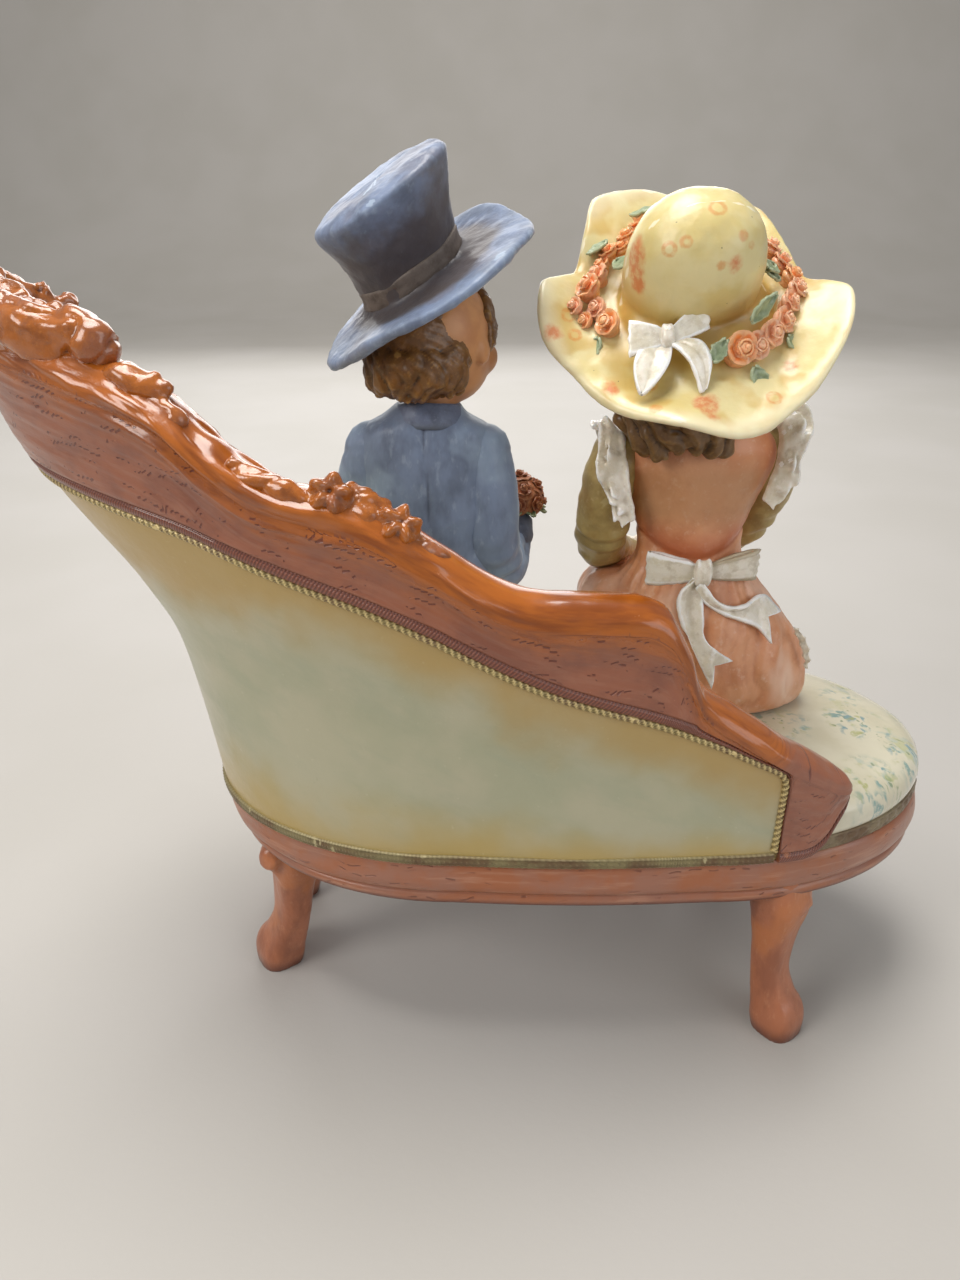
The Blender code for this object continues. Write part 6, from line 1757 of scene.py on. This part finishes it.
def laid(edge_a, edge_b, lift, n=44, m=13, notch=0.0, thick=0.75, rolls=()):
    """A ribbon end laid on the back of the skirt between two edges given as x, z rows, with a notched end."""
    A, B = even(finer(edge_a, 10), 0.05), even(finer(edge_b, 10), 0.05)
    A, B = (np.stack([np.interp(np.linspace(0, 1, n), np.linspace(0, 1, len(E)), E[:, k]) for k in (0, 1)], 1) for E in (A, B))
    rows = []
    for i, u in enumerate(np.linspace(0, 1, n)):
        row = []
        for v in np.linspace(0, 1, m):
            back = notch * max(0.0, (u - 0.72) / 0.28) * (1 - abs(2 * v - 1))
            j = (u - back) * (n - 1)
            a = np.array([np.interp(j, range(n), A[:, k]) for k in (0, 1)])
            b = np.array([np.interp(j, range(n), B[:, k]) for k in (0, 1)])
            x, z = a + (b - a) * v
            up = lift(u, v)
            row.append(on_dress(x, z, up))
        rows.append(row)
    return sheet(relaxed(np.array(rows)), thick)


def relaxed(Gd, times=4):
    for _ in range(times):
        y = Gd[..., 1].copy()
        y[1:-1] = (Gd[:-2, :, 1] + 2 * Gd[1:-1, :, 1] + Gd[2:, :, 1]) / 4
        y[:, 1:-1] = (y[:, :-2] + 2 * y[:, 1:-1] + y[:, 2:]) / 4
        Gd[..., 1] = y
    return Gd


tail = laid([(-40.0, 81.2), (-42.4, 78.4), (-45.1, 76.8), (-48.5, 76.5), (-52.3, 77.0), (-56.8, 72.4)],
            [(-39.6, 79.4), (-41.2, 76.6), (-44.6, 74.6), (-48.6, 73.0), (-51.8, 71.2), (-54.2, 68.6)],
            lambda u, v: 0.9 + 1.1 * math.exp(-((v - 0.06) / 0.16) ** 2) * math.sin(math.pi * min(1, 0.2 + u * 0.9)) + 0.45 * math.sin(3.2 * u + 5 * v), notch=0.16)
V = raised(*tail, 0.08 * rough_noise(tail[0], 1.5, 2, 3))
piece("waist_tail_right", (V, tail[1]), PEARL, G)
tail = laid([(-38.8, 81.2), (-36.6, 79.0), (-36.4, 75.6), (-38.4, 70.4), (-40.6, 65.8), (-43.0, 61.4)],
            [(-40.2, 81.0), (-40.7, 78.0), (-40.9, 74.0), (-41.4, 70.6), (-44.0, 68.2), (-47.2, 65.8)],
            lambda u, v: 0.9 + 0.8 * math.exp(-((v - 0.1) / 0.2) ** 2) * (1 - 0.5 * u) + 0.5 * math.sin(6.0 * u + 4 * v + 1), notch=0.14)
V = raised(*tail, 0.08 * rough_noise(tail[0], 1.5, 2, 3))
piece("waist_tail_left", (V, tail[1]), PEARL, G)

# ---- a lace edge along the far side of the skirt and round its hem
for nm, row in (("side", [(-59.0, 0.4, 70.6), (-60.6, 0.0, 67.8), (-62.0, -0.2, 64.6), (-62.9, -0.3, 61.8)]), ):
    S = finer(row, 14)
    u = np.linspace(0, 1, len(S))
    v = np.linspace(0, 1, 8)
    top = S[:, None] + np.array((-0.85, 0.1, 0.5))[None, None] * (v[None, :, None] * (1.2 * np.sin(math.pi * (0.12 + 0.8 * u)))[:, None, None]) \
        + np.array((0, 1.0, 0))[None, None] * (0.5 * np.sin(TAU * 4 * u)[:, None] * v[None, :])[..., None]
    V, F = sheet(top, 0.6)
    piece(f"skirt_lace_{nm}", (V, F), LINEN, G)
a = np.linspace(0, 1, 150)
line = []
for t in a:
    ang = math.pi + math.pi * t
    line.append((-40.6 + 18.2 * math.copysign(abs(math.cos(ang)) ** 1.0, math.cos(ang)), -42.6 + 5.8 * math.sin(ang), 38.6))
line = np.array(line)
nrm = line - np.array((-40.6, -42.6, 38.6))
nrm /= np.linalg.norm(nrm, axis=1, keepdims=True)
hemg = np.stack([line + nrm * (0.3 + 0.0 * k + 0.35 * (k / 5) * np.sin(TAU * 13 * a)[:, None]) + np.array((0, 0, 1.4 - 0.52 * k)) for k in range(6)], 1)
V, F = sheet(hemg, 0.6)
piece("skirt_hem_lace", (V, F), LINEN, G)

# ---- head, eyes, hair
SUN_AT = leaning((-35.2, -1.0, 127.4), 2.0, 40.0)
parts, at = face_parts(GIRL_HEAD, GIRL_TURN, 0.96)
parts.append(tube([(-36.6, -6.2, 103.6, 4.6), (-35.8, -6.2, 109.0, 4.3), (-35.0, -6.0, 114.0, 4.6)], 26, steps=4))
parts.append(ellipsoid((-37.6, -7.6, 106.0), (8.6, 5.6, 3.0)))
V, F = remesh(parts, 0.42, 4)
GIRL_SKIN = skin_paint("girl_skin", GIRL_HEAD, GIRL_TURN, 0.96, tan="#d29a70")
piece("girl_head", (under(SUN_AT, V, top=-3.4), F), GIRL_SKIN, G)
eyes("girl", at, GIRL_TURN, 0.96, WHITE, IRIS, BROW, G, (under(SUN_AT, V), F), LIPS)
GIRL_HAIR = brushed("girl_hair_paint", "#705028", "#36210f", "#9a7844", size=2.6, rough=0.42, deep_amount=0.95, worn_amount=0.55,
                    wash="#5c3f1e", wash_size=4.0, coat=0.2, cavity=(0.495, 0.43), edge=(0.52, 0.58))
cap = [ellipsoid((-34.7, -3.2, 119.6), (10.3, 10.4, 11.2), (0, 4, 24), 48, 30), ellipsoid((-35.2, 0.2, 112.4), (8.8, 5.6, 6.6), (0, 0, 12), 40, 26)]
for k in range(11):
    b = math.radians(-24 + 22.8 * k)
    c, s = math.cos(b), math.sin(b)
    cap.append(tube([(-34.9 + 9.2 * c, -3.2 + 8.0 * s, 114.0, 2.4), (-35.3 + 8.8 * c, -3.0 + 7.6 * s, 109.2, 2.2),
                     (-35.8 + 8.0 * math.cos(b + 0.15), -3.2 + 7.0 * math.sin(b + 0.15), 105.2 + 0.9 * math.sin(k * 1.7), 1.3)], 14, steps=5))
cap += fringe(at, 0.96)
Vh, Fh = hair_locks(cap, (-34.7, -3.2, 119.6), (0, 0, 0), waves=15, depth=0.9, seed=6)
piece("girl_hair", (under(SUN_AT, Vh), Fh), GIRL_HAIR, G)

# ---- hands resting together in the lap
for nm, wrist, palm, sx in (("left", (-32.4, -26.0, 76.2), (-35.2, -28.4, 74.8), -1), ("right", (-41.0, -26.4, 76.0), (-38.6, -29.2, 75.2), 1)):
    tips = [((palm[0] + sx * (1.5 + 0.0 * k), palm[1] - 1.4 + 1.0 * k, palm[2] + 0.5), (palm[0] + sx * 3.4, palm[1] - 1.6 + 1.1 * k, palm[2] + 0.2 - 0.1 * k),
             (palm[0] + sx * 4.8, palm[1] - 1.3 + 1.1 * k, palm[2] - 0.8)) for k in range(4)]
    thumb = ((palm[0] + sx * 0.4, palm[1] - 1.8, palm[2] + 1.0), (palm[0] + sx * 1.8, palm[1] - 2.8, palm[2] + 1.2), (palm[0] + sx * 3.2, palm[1] - 2.8, palm[2] + 0.9))
    piece(f"girl_hand_{nm}", remesh(hand(wrist, palm, tips, thumb, 0.85, (2.3, 1.8)), 0.26, 2), GIRL_SKIN, G)

# ---- stockings and shoes
STOCKING = brushed("stocking_paint", "#d2c6b2", "#8f8069", "#efe7da", size=4.0, rough=0.42, coat=0.15)
SLIPPER = brushed("slipper_paint", "#b5694a", "#6a3421", "#d9a184", size=3.0, rough=0.32, coat=0.35)
for nm, x0, x1, z0 in (("left", -34.6, -34.3, 22.8), ("right", -46.4, -45.8, 23.8)):
    V, F = tube([(x0, -42, 47, 3.9), (x0, -42.2, 40, 4.0), (x0 * 0.5 + x1 * 0.5, -42.3, 33, 3.5), (x1, -42.4, 26.4, 2.8), (x1, -42.6, 24.0, 2.9)], 32, steps=8)
    V = raised(V, F, 0.09 * np.sin(V[:, 2] * 2.2 + 0.6 * noise(V, 4, 2)) + 0.1 * rough_noise(V, 3, 2, 4))
    piece(f"girl_stocking_{nm}", (V, F), STOCKING, G)
    V, F = remesh([ellipsoid((x1, -45.0, z0 - 0.4), (3.2, 6.2, 2.2), (4, 0, 0)), ellipsoid((x1, -42.4, z0 + 0.6), (3.0, 3.4, 2.9)), ellipsoid((x1, -47.6, z0 - 0.6), (3.0, 3.6, 2.0))], 0.32, 3)
    V = raised(V, F, 0.22 * bump_at(V[:, 2], z0 - 1.9, 0.5) + 0.05 * rough_noise(V, 2, 2, 3))
    V[:, 2] = np.maximum(V[:, 2], z0 - 2.5)
    piece(f"girl_slipper_{nm}", (V, F), SLIPPER, G)
    strap = tube([(x1 - 2.9, -43.2, z0 + 0.9, 0.42), (x1, -43.8, z0 + 3.0, 0.5), (x1 + 2.9, -43.2, z0 + 0.9, 0.42)], 10, steps=6)
    piece(f"girl_strap_{nm}", strap, SLIPPER, G)

# ---- the sun hat
BRIM = [(-90, 24.0, 1.5), (-56, 26.5, 3.5), (-41, 22.9, 2.6), (-25, 21.2, 0.8), (-8, 25.5, 3.0),
        (10, 26.0, 1.2), (35, 23.6, -1.5), (58, 23.9, -0.6), (84, 25.6, 0.9), (103, 26.8, 0.4),
        (125, 25.0, 1.0), (144, 24.4, 2.5), (176, 24.4, 5.0), (198, 19.6, 0.4), (222, 21.4, 0.8),
        (243, 24.6, 1.1), (270, 24.0, 1.5)]
BRIM_A = np.linspace(-90, 270, 1441)
BRIM_R = read([(p[0], p[1]) for p in BRIM], BRIM_A)
BRIM_Z = read([(p[0], p[2]) for p in BRIM], BRIM_A)


def sun_warp(V):
    x, y, z = V.T.copy()
    r = np.maximum(np.hypot(x, y), 1e-6)
    a = (np.degrees(np.arctan2(y, x)) + 90) % 360 - 90
    f = np.clip((r - 12.6) / 12.4, 0, None)
    reach = np.interp(a, BRIM_A, BRIM_R)
    lift = np.interp(a, BRIM_A, BRIM_Z)
    ripple = 0.55 * np.sin(np.radians(a * 5 + 40)) + 0.3 * np.sin(np.radians(a * 9 + 130))
    dip = -1.5 * bump_at(a, 62, 30) - 1.3 * bump_at(a, 140, 26) - 0.8 * bump_at(a, 0, 22)
    z = z + (lift + ripple) * f ** 1.3 + dip * np.sin(math.pi * np.clip(f * 1.15, 0, 1)) ** 1.5
    grow = np.where(r > 12.6, (12.6 + (reach - 12.6) * f) / r, 1.0)
    crown = step(z, 0.6, 4.0) * step(r, 14.0, 12.6)
    return np.stack([x * grow * (1 - 0.075 * crown) + 0.9 * crown, y * grow * (1 - 0.21 * crown) - 2.7 * crown, z * (1 - 0.055 * crown)], 1)


SUN_PROF = [(0, 20.2), (2.4, 20.0), (5.0, 19.25), (7.4, 18.0), (9.3, 16.2), (10.7, 13.9), (11.6, 11.2), (12.0, 8.2), (12.1, 5.4), (12.0, 3.2),
            (12.15, 1.9), (12.7, 1.15), (14.0, 0.9), (16.5, 0.9), (19.0, 0.95), (21.5, 1.0), (23.4, 1.05), (24.4, 0.9), (24.95, 0.35), (24.8, -0.25),
            (24.1, -0.7), (22.0, -0.75), (19.0, -0.7), (16.0, -0.7), (13.0, -0.8), (11.0, -1.0), (8.5, -2.0), (4.5, -3.4), (0, -4.0)]
V, F = lathe([tuple(p) for p in finer(SUN_PROF, 4)], 220, None, sun_warp)
N = normals(V, F)
V = V + N * (0.16 * rough_noise(V, 6.0, 3, 6) + 0.05 * rough_noise(V, 1.4, 2, 8))[:, None]
SPOTS = [(11.6, 14, 12.4, 2.0, 0), (12.0, 20, 10.6, 1.9, 0), (12.1, 27, 9.0, 1.5, 0), (11.0, 8, 13.8, 1.0, 0), (9.2, 43, 16.5, 0.9, 1), (7.7, 55, 17.9, 0.7, 1), (9.9, 110, 15.3, 1.2, 0),
         (9.9, 96, 15.6, 0.7, 1), (7.2, 129, 18.2, 0.8, 1), (8.9, 134, 16.7, 0.8, 1), (1.4, 104, 20.2, 1.1, 1), (24.2, 13, 2.0, 1.1, 0), (21.0, 5, 1.8, 1.0, 1),
         (20.7, 15, 1.2, 0.9, 1), (21.3, 46, -0.4, 1.1, 0), (22.4, 68, 0.4, 1.0, 1), (20.3, 88, 1.2, 1.9, 0), (22.6, 90, 0.9, 1.0, 0), (21.8, 117, 1.1, 1.0, 1),
         (18.7, 137, 0.2, 1.0, 0), (20.6, 163, 2.4, 0.9, 1), (19.0, 250, 1.6, 1.1, 0), (20.5, 275, 2.0, 1.0, 1), (10.8, 200, 13.4, 1.0, 1), (11.4, 250, 11.6, 1.1, 0),
         (11.2, 300, 12.6, 1.0, 1), (11.9, 335, 8.0, 0.9, 1), (16.8, 60, -0.4, 0.8, 1)]


def straw():
    """Pale straw yellow with loose orange flower spots and rings; run holds the hat's own millimetres."""
    p = Paint("sun_hat_paint")
    run = p.attr("run")
    x, y, z = p.split(run)
    r = p.maths("SQRT", p.maths("ADD", p.maths("MULTIPLY", x, x), p.maths("MULTIPLY", y, y)))
    blot = p.noise(6.0, 3.0, 0.5)
    colour = p.mix(p.band(blot, 0.4, 0.66), "#ddd09c", "#d6c484")
    # painted shade: ochre where the crown meets the brim and in the brim's dips
    low = p.maths("MULTIPLY", p.band(p.maths("ADD", z, p.maths("MULTIPLY", p.maths("SUBTRACT", blot, 0.5), 5.0)), 9.5, 2.0), p.band(r, 14.6, 12.2))
    colour = p.mix(p.maths("MULTIPLY", low, 0.75), colour, "#bf993c")
    dip = p.maths("MULTIPLY", p.band(p.noise(7.0, 2.0, 0.5, seed=6.0), 0.5, 0.64), p.band(r, 13.0, 16.0))
    colour = p.mix(p.maths("MULTIPLY", dip, 0.6), colour, "#c6a24c")
    rim = p.band(p.maths("ADD", r, p.maths("MULTIPLY", p.maths("SUBTRACT", blot, 0.5), 4.0)), 21.5, 25.0)
    colour = p.mix(p.maths("MULTIPLY", rim, 0.55), colour, "#ece6cb")
    wob = p.maths("MULTIPLY", p.maths("SUBTRACT", p.noise(1.5, 3.0, 0.6, at=run, seed=2.0), 0.5), 1.7)
    solid, ring = None, None
    for sr, sa, sz, size, hollow in SPOTS:
        t = math.radians(sa)
        d = p.node("VectorMath", operation="DISTANCE")
        p.put(d.inputs[0], run)
        on_crown = 1.0 if sr < 13 and sz > 4 else 0.0
        d.inputs[1].default_value = (sr * math.cos(t), sr * math.sin(t) * (1 - 0.14 * on_crown) - 2.7 * on_crown, sz * (1 - 0.055 * on_crown))
        v = p.maths("SUBTRACT", d.outputs["Value"], size)
        if hollow:
            v = p.maths("SUBTRACT", p.maths("ABSOLUTE", v), 0.22)
            ring = v if ring is None else p.maths("MINIMUM", ring, v)
        else:
            solid = v if solid is None else p.maths("MINIMUM", solid, v)
    brush = p.band(p.noise(1.1, 3.0, 0.6, seed=4.0), 0.3, 0.6)
    mask = p.band(p.maths("ADD", solid, wob), 0.8, -0.6)
    colour = p.mix(p.maths("MULTIPLY", mask, p.maths("ADD", 0.35, p.maths("MULTIPLY", brush, 0.5))), colour, "#cf7440")
    rings = p.band(p.maths("ADD", ring, p.maths("MULTIPLY", wob, 0.35)), 0.28, -0.12)
    colour = p.mix(p.maths("MULTIPLY", rings, p.maths("ADD", 0.2, p.maths("MULTIPLY", brush, 0.45))), colour, "#d0883c")
    colour = p.mix(p.maths("MULTIPLY", p.band(p.pointy(), 0.5, 0.45), 0.6), colour, "#a8802e")
    colour = p.mix(p.maths("MULTIPLY", p.band(p.pointy(), 0.515, 0.57), 0.6), colour, "#f3eedb")
    speck = p.band(p.noise(0.7, 1.0, 0.5, seed=31.0), 0.80, 0.83)
    colour = p.mix(p.maths("MULTIPLY", speck, 0.7), colour, "#5a4a2a")
    return p.done(colour, p.blend(p.band(blot, 0.3, 0.7), 0.3, 0.42), [(p.noise(2.2, 3.0, 0.5), 0.1), (p.noise(0.6, 2.0, 0.5), 0.018)],
                  coat=0.3, coat_rough=0.25, soft=0.15)


piece("sun_hat", (apply(SUN_AT, V), F), straw(), G, attrs={"run": V})


def at_hat(bearing, r, z):
    t = math.radians(bearing)
    o = np.array((math.cos(t), math.sin(t), 0.0))
    return np.array((r * o[0], r * o[1], z)), o, np.array((-o[1], o[0], 0.0))


def hat_lift(bearing, r):
    """How far the brim has risen at this bearing and radius."""
    b = (bearing + 90) % 360 - 90
    f = max(0.0, (r - 12.6) / max(1.0, float(np.interp(b, BRIM_A, BRIM_R)) - 12.6))
    return 0.9 + float(np.interp(b, BRIM_A, BRIM_Z)) * f ** 1.3


SUN_ROSE = brushed("hat_rose_paint", "#ee9a58", "#c86428", "#f8cfa4", size=2.2, rough=0.34, deep_amount=0.75, worn_amount=0.5, wash="#e87a3c",
                   wash_size=3.6, wash_amount=0.75, cavity=(0.49, 0.43), edge=(0.515, 0.57), coat=0.3, soft=0.15)
SUN_ROSE_PINK = brushed("hat_rose_pink", "#eea67c", "#ca7040", "#f8d3b4", size=2.2, rough=0.34, deep_amount=0.75, worn_amount=0.5, wash="#e58450",
                        wash_size=3.6, wash_amount=0.6, cavity=(0.49, 0.43), edge=(0.515, 0.57), coat=0.3, soft=0.15)
SUN_LEAF = brushed("hat_leaf_paint", "#8d9c7c", "#56663f", "#bcc6a4", size=1.6, rough=0.36, deep_amount=0.8, worn_amount=0.6, coat=0.25)
ROSES = [(296, 17.6, 2.6, 2.2, 0), (300, 15.4, 2.0, 1.7, 0), (306, 17.2, 2.0, 1.9, 0), (314, 16.0, 2.0, 1.7, 0), (321, 17.2, 1.8, 1.9, 0), (330, 16.9, 1.4, 1.8, 0), (338, 16.6, 1.6, 2.3, 1),
         (350, 17.4, 2.0, 3.1, 0), (3, 16.0, 1.6, 2.0, 1), (0, 19.6, 0.8, 1.8, 1), (16, 15.0, 2.0, 3.0, 0), (8, 18.2, 0.6, 1.7, 0),
         (228, 16.2, 1.6, 1.6, 1), (219, 17.4, 1.8, 2.1, 1), (207, 16.6, 1.8, 2.2, 1), (195, 16.6, 1.8, 2.3, 0), (184, 16.2, 1.9, 2.1, 1), (173, 14.6, 2.4, 2.1, 1),
         (159, 14.0, 2.0, 3.0, 1), (144, 13.2, 2.4, 3.0, 1), (129, 12.7, 2.2, 2.6, 1), (115, 12.2, 3.2, 3.7, 0),
         (243, 15.0, 1.4, 2.0, 0), (256, 14.8, 1.4, 2.2, 1), (270, 14.8, 1.4, 2.1, 0), (284, 15.0, 1.4, 2.0, 1)]
groups = {0: [], 1: []}
for k, (b, r, z, size, kind) in enumerate(ROSES):
    size = size if size > 2.9 else size * 1.22
    p0, o, t = at_hat(b, r, z + (hat_lift(b, r) - 0.9) * 0.8)
    groups[kind] += rose(p0, o * 0.75 + np.array((0, 0, 0.8)), size, k, petals=(2, 4) if size < 2.2 else (3, 5))
    groups[kind].append(ellipsoid(p0 - np.array((0, 0, size * 0.4)), (size * 0.6, size * 0.6, size * 0.6), n=16, m=10))


def above_brim(V, sink=0.7):
    """Keeps what lies on the brim from showing through its underside."""
    b = (np.degrees(np.arctan2(V[:, 1], V[:, 0])) + 90) % 360 - 90
    r = np.hypot(V[:, 0], V[:, 1])
    f = np.clip((r - 12.6) / np.maximum(1.0, np.interp(b, BRIM_A, BRIM_R) - 12.6), 0, None)
    sag = 0.85 * f + 1.5 * bump_at(b, 62, 30) + 1.3 * bump_at(b, 140, 26) + 0.8 * bump_at(b, 0, 22)
    top = 0.9 + np.interp(b, BRIM_A, BRIM_Z) * f ** 1.3 - sag * np.clip(f * 2.5, 0, 1) * 0.6
    V = V.copy()
    V[:, 2] = np.maximum(V[:, 2], top - sink)
    return V


for kind, mat, nm in ((0, SUN_ROSE, "orange"), (1, SUN_ROSE_PINK, "pink")):
    V, F = join(groups[kind])
    V = above_brim(V)
    piece(f"hat_roses_{nm}", (apply(SUN_AT, V), F), mat, G, sharp=60)
LEAVES = [(298, 19.6, 3.4, -1.0, 0.6, 4.6, 1.5), (327, 14.8, 3.2, 0.6, 1.0, 4.6, 1.5), (21, 17.4, 1.0, 0.4, -1.0, 4.2, 1.4), (318, 18.6, 2.6, 1, -0.4, 3.6, 1.3),
          (229, 18.6, 2.4, 1.0, 0.2, 4.2, 1.4), (203, 13.9, 3.8, -0.6, 1.0, 4.2, 1.5), (192, 13.8, 3.2, 0.3, 1.0, 3.8, 1.3), (127, 11.0, 6.6, 1.0, 0.25, 5.6, 1.5),
          (93, 13.6, 3.4, 0.6, 0.8, 3.6, 1.3), (118, 15.8, 1.8, 0.1, -1.0, 4.4, 1.4), (150, 15.8, 1.2, 0.2, -1.0, 3.6, 1.3), (262, 16.4, 1.6, 0.6, -1, 3.8, 1.3), (280, 16.8, 1.6, -0.6, -1, 3.8, 1.3)]
green = []
for b, r, z, ta, ra, length, width in LEAVES:
    p0, o, t = at_hat(b, r, z + (hat_lift(b, r) - 0.9) * 0.6)
    d = t * ta - o * ra * (1.0 if z < 6 else 0.0) + np.array((0, 0, 0.35 * (ra > 0)))
    n = o * 0.7 + np.array((0, 0, 0.9)) if z < 6 else o + np.array((0, 0, 0.35))
    green.append(leaf(p0, n, d, length, width, 0.12, 0.45))
V, F = join(green)
V = above_brim(V, 0.3)
piece("hat_leaves", (apply(SUN_AT, V), F), SUN_LEAF, G)

# the hat's pearl bow
k0, o, t = at_hat(57, 11.0, 4.2)
LIE = np.array((0.0, -0.88, 0.48))
bow = [bow_loop(k0 + np.array((0.3, 0, 0)), (1.0, 0.02, 0.0), LIE, 5.8, 2.9, 0.8, 0.6, 0.2),
       bow_loop(k0 - np.array((0.3, 0, 0)), (-1.0, -0.50, 0.30), LIE, 7.4, 2.7, 0.85, 0.6, 0.9)]
V, F = join(bow)
V = raised(V, F, 0.09 * rough_noise(V, 1.3, 2, 3))
piece("hat_bow_loops", (apply(SUN_AT, V), F), PEARL, G)
kc = k0 + np.array((0, 0.2, 0.4))
kk = remesh([ellipsoid(kc, (1.15, 1.9, 1.1), (-30, 0, 0)), ellipsoid(kc + np.array((0.55, 0, 0)), (0.6, 2.0, 0.9), (-30, 0, 0)), ellipsoid(kc - np.array((0.55, 0, 0)), (0.6, 2.0, 0.9), (-30, 0, 0))], 0.2, 1)
piece("hat_bow_knot", (apply(SUN_AT, kk[0]), kk[1]), PEARL, G)
ends = []
for ex, ey, bulge, half, rise, tip in ((4.6, 9.0, -0.6, 2.7, 0.8, 0.12), (-5.2, 8.6, 1.8, 2.0, 1.7, 0.4)):
    u = np.linspace(0, 1, 34)
    way = np.array((ex, ey, 0.0)) / math.hypot(ex, ey)
    side = np.array((way[1], -way[0], 0.0))
    P = k0[None] + np.array((ex, ey, 0.0))[None] * u[:, None] - side[None] * (bulge * np.sin(math.pi * u))[:, None] + np.array((0, 0, 1.0))[None] * (-0.6 - 2.2 * u + rise * np.sin(math.pi * u))[:, None]
    w = half * np.where(u < 0.45, 0.35 + 0.65 * np.sin(math.pi / 2 * u / 0.45), tip + (1 - tip) * np.cos(math.pi / 2 * (u - 0.45) / 0.55) ** 0.8)
    ends.append(ribbon(P, np.repeat(side[None], 34, 0), w, 0.55, 0.35, 0.12, 2.0))
V, F = join(ends)
V = raised(V, F, 0.07 * rough_noise(V, 1.3, 2, 3))
piece("hat_bow_tails", (apply(SUN_AT, V), F), PEARL, G)


# ================================================================== floor and light
def stage_floor():
    V = np.array([(-0.9, -1.3, 0), (0.9, -1.3, 0), (0.9, 0.5, 0), (-0.9, 0.5, 0)])
    n = 40
    pts, (w, d) = [], (1.8, 1.5)
    prof = [(0.55 - 1.6 * k / 24, 0.0) for k in range(25)]
    for k in range(1, 15):
        a = math.pi / 2 * k / 14
        prof.append((-1.05 - 0.45 * math.sin(a), 0.45 * (1 - math.cos(a))))
    prof.append((-1.5, 1.6))
    P = np.array([[(x, y, z) for y, z in prof] for x in np.linspace(-1.6, 1.6, n)])
    me = bpy.data.meshes.new("floor")
    me.from_pydata(P.reshape(-1, 3), [], grid_faces(n, len(prof)))
    me.shade_smooth()
    ob = bpy.data.objects.new("floor", me)
    bpy.context.scene.collection.objects.link(ob)
    p = Paint("pale_floor")
    colour = p.mix(p.band(p.noise(90.0, 2.0, 0.5), 0.3, 0.7), "#b5b2ae", "#b1aea9")
    me.materials.append(p.done(colour, p.blend(p.noise(20.0), 0.6, 0.7), [(p.noise(2.0, 3.0, 0.6), 0.05)]))


def area(name, at, aim, size, power, colour=(1, 1, 1)):
    light = bpy.data.lights.new(name, "AREA")
    light.shape = "RECTANGLE"
    light.size, light.size_y = size
    light.energy = power
    light.color = colour
    ob = bpy.data.objects.new(name, light)
    bpy.context.scene.collection.objects.link(ob)
    ob.location = at
    ob.rotation_euler = (Vector(aim) - Vector(at)).to_track_quat("-Z", "Y").to_euler()


stage_floor()
area("overhead", (0.10, -0.05, 0.75), (0, 0, 0.06), (0.5, 0.34), 5.2, (1.0, 0.97, 0.93))
area("window", (0.65, 0.45, 0.55), (0, 0, 0.07), (0.36, 0.36), 3.2, (1.0, 0.965, 0.92))
area("fill", (-0.6, 0.5, 0.35), (0, 0, 0.07), (0.6, 0.5), 1.6, (0.97, 0.98, 1.0))
area("front_fill", (0.05, -0.75, 0.35), (0, 0, 0.07), (0.7, 0.4), 2.4)
area("backdrop_wash", (0.0, -0.55, 0.9), (0, -1.45, 0.35), (1.2, 0.4), 4.8, (1.0, 0.96, 0.90))
world = bpy.data.worlds.new("studio")
bpy.context.scene.world = world
world.use_nodes = True
world.node_tree.nodes["Background"].inputs[0].default_value = (0.93, 0.915, 0.895, 1)
world.node_tree.nodes["Background"].inputs[1].default_value = 0.36
bpy.context.scene.view_settings.view_transform = "Standard"

bpy.context.view_layer.update()
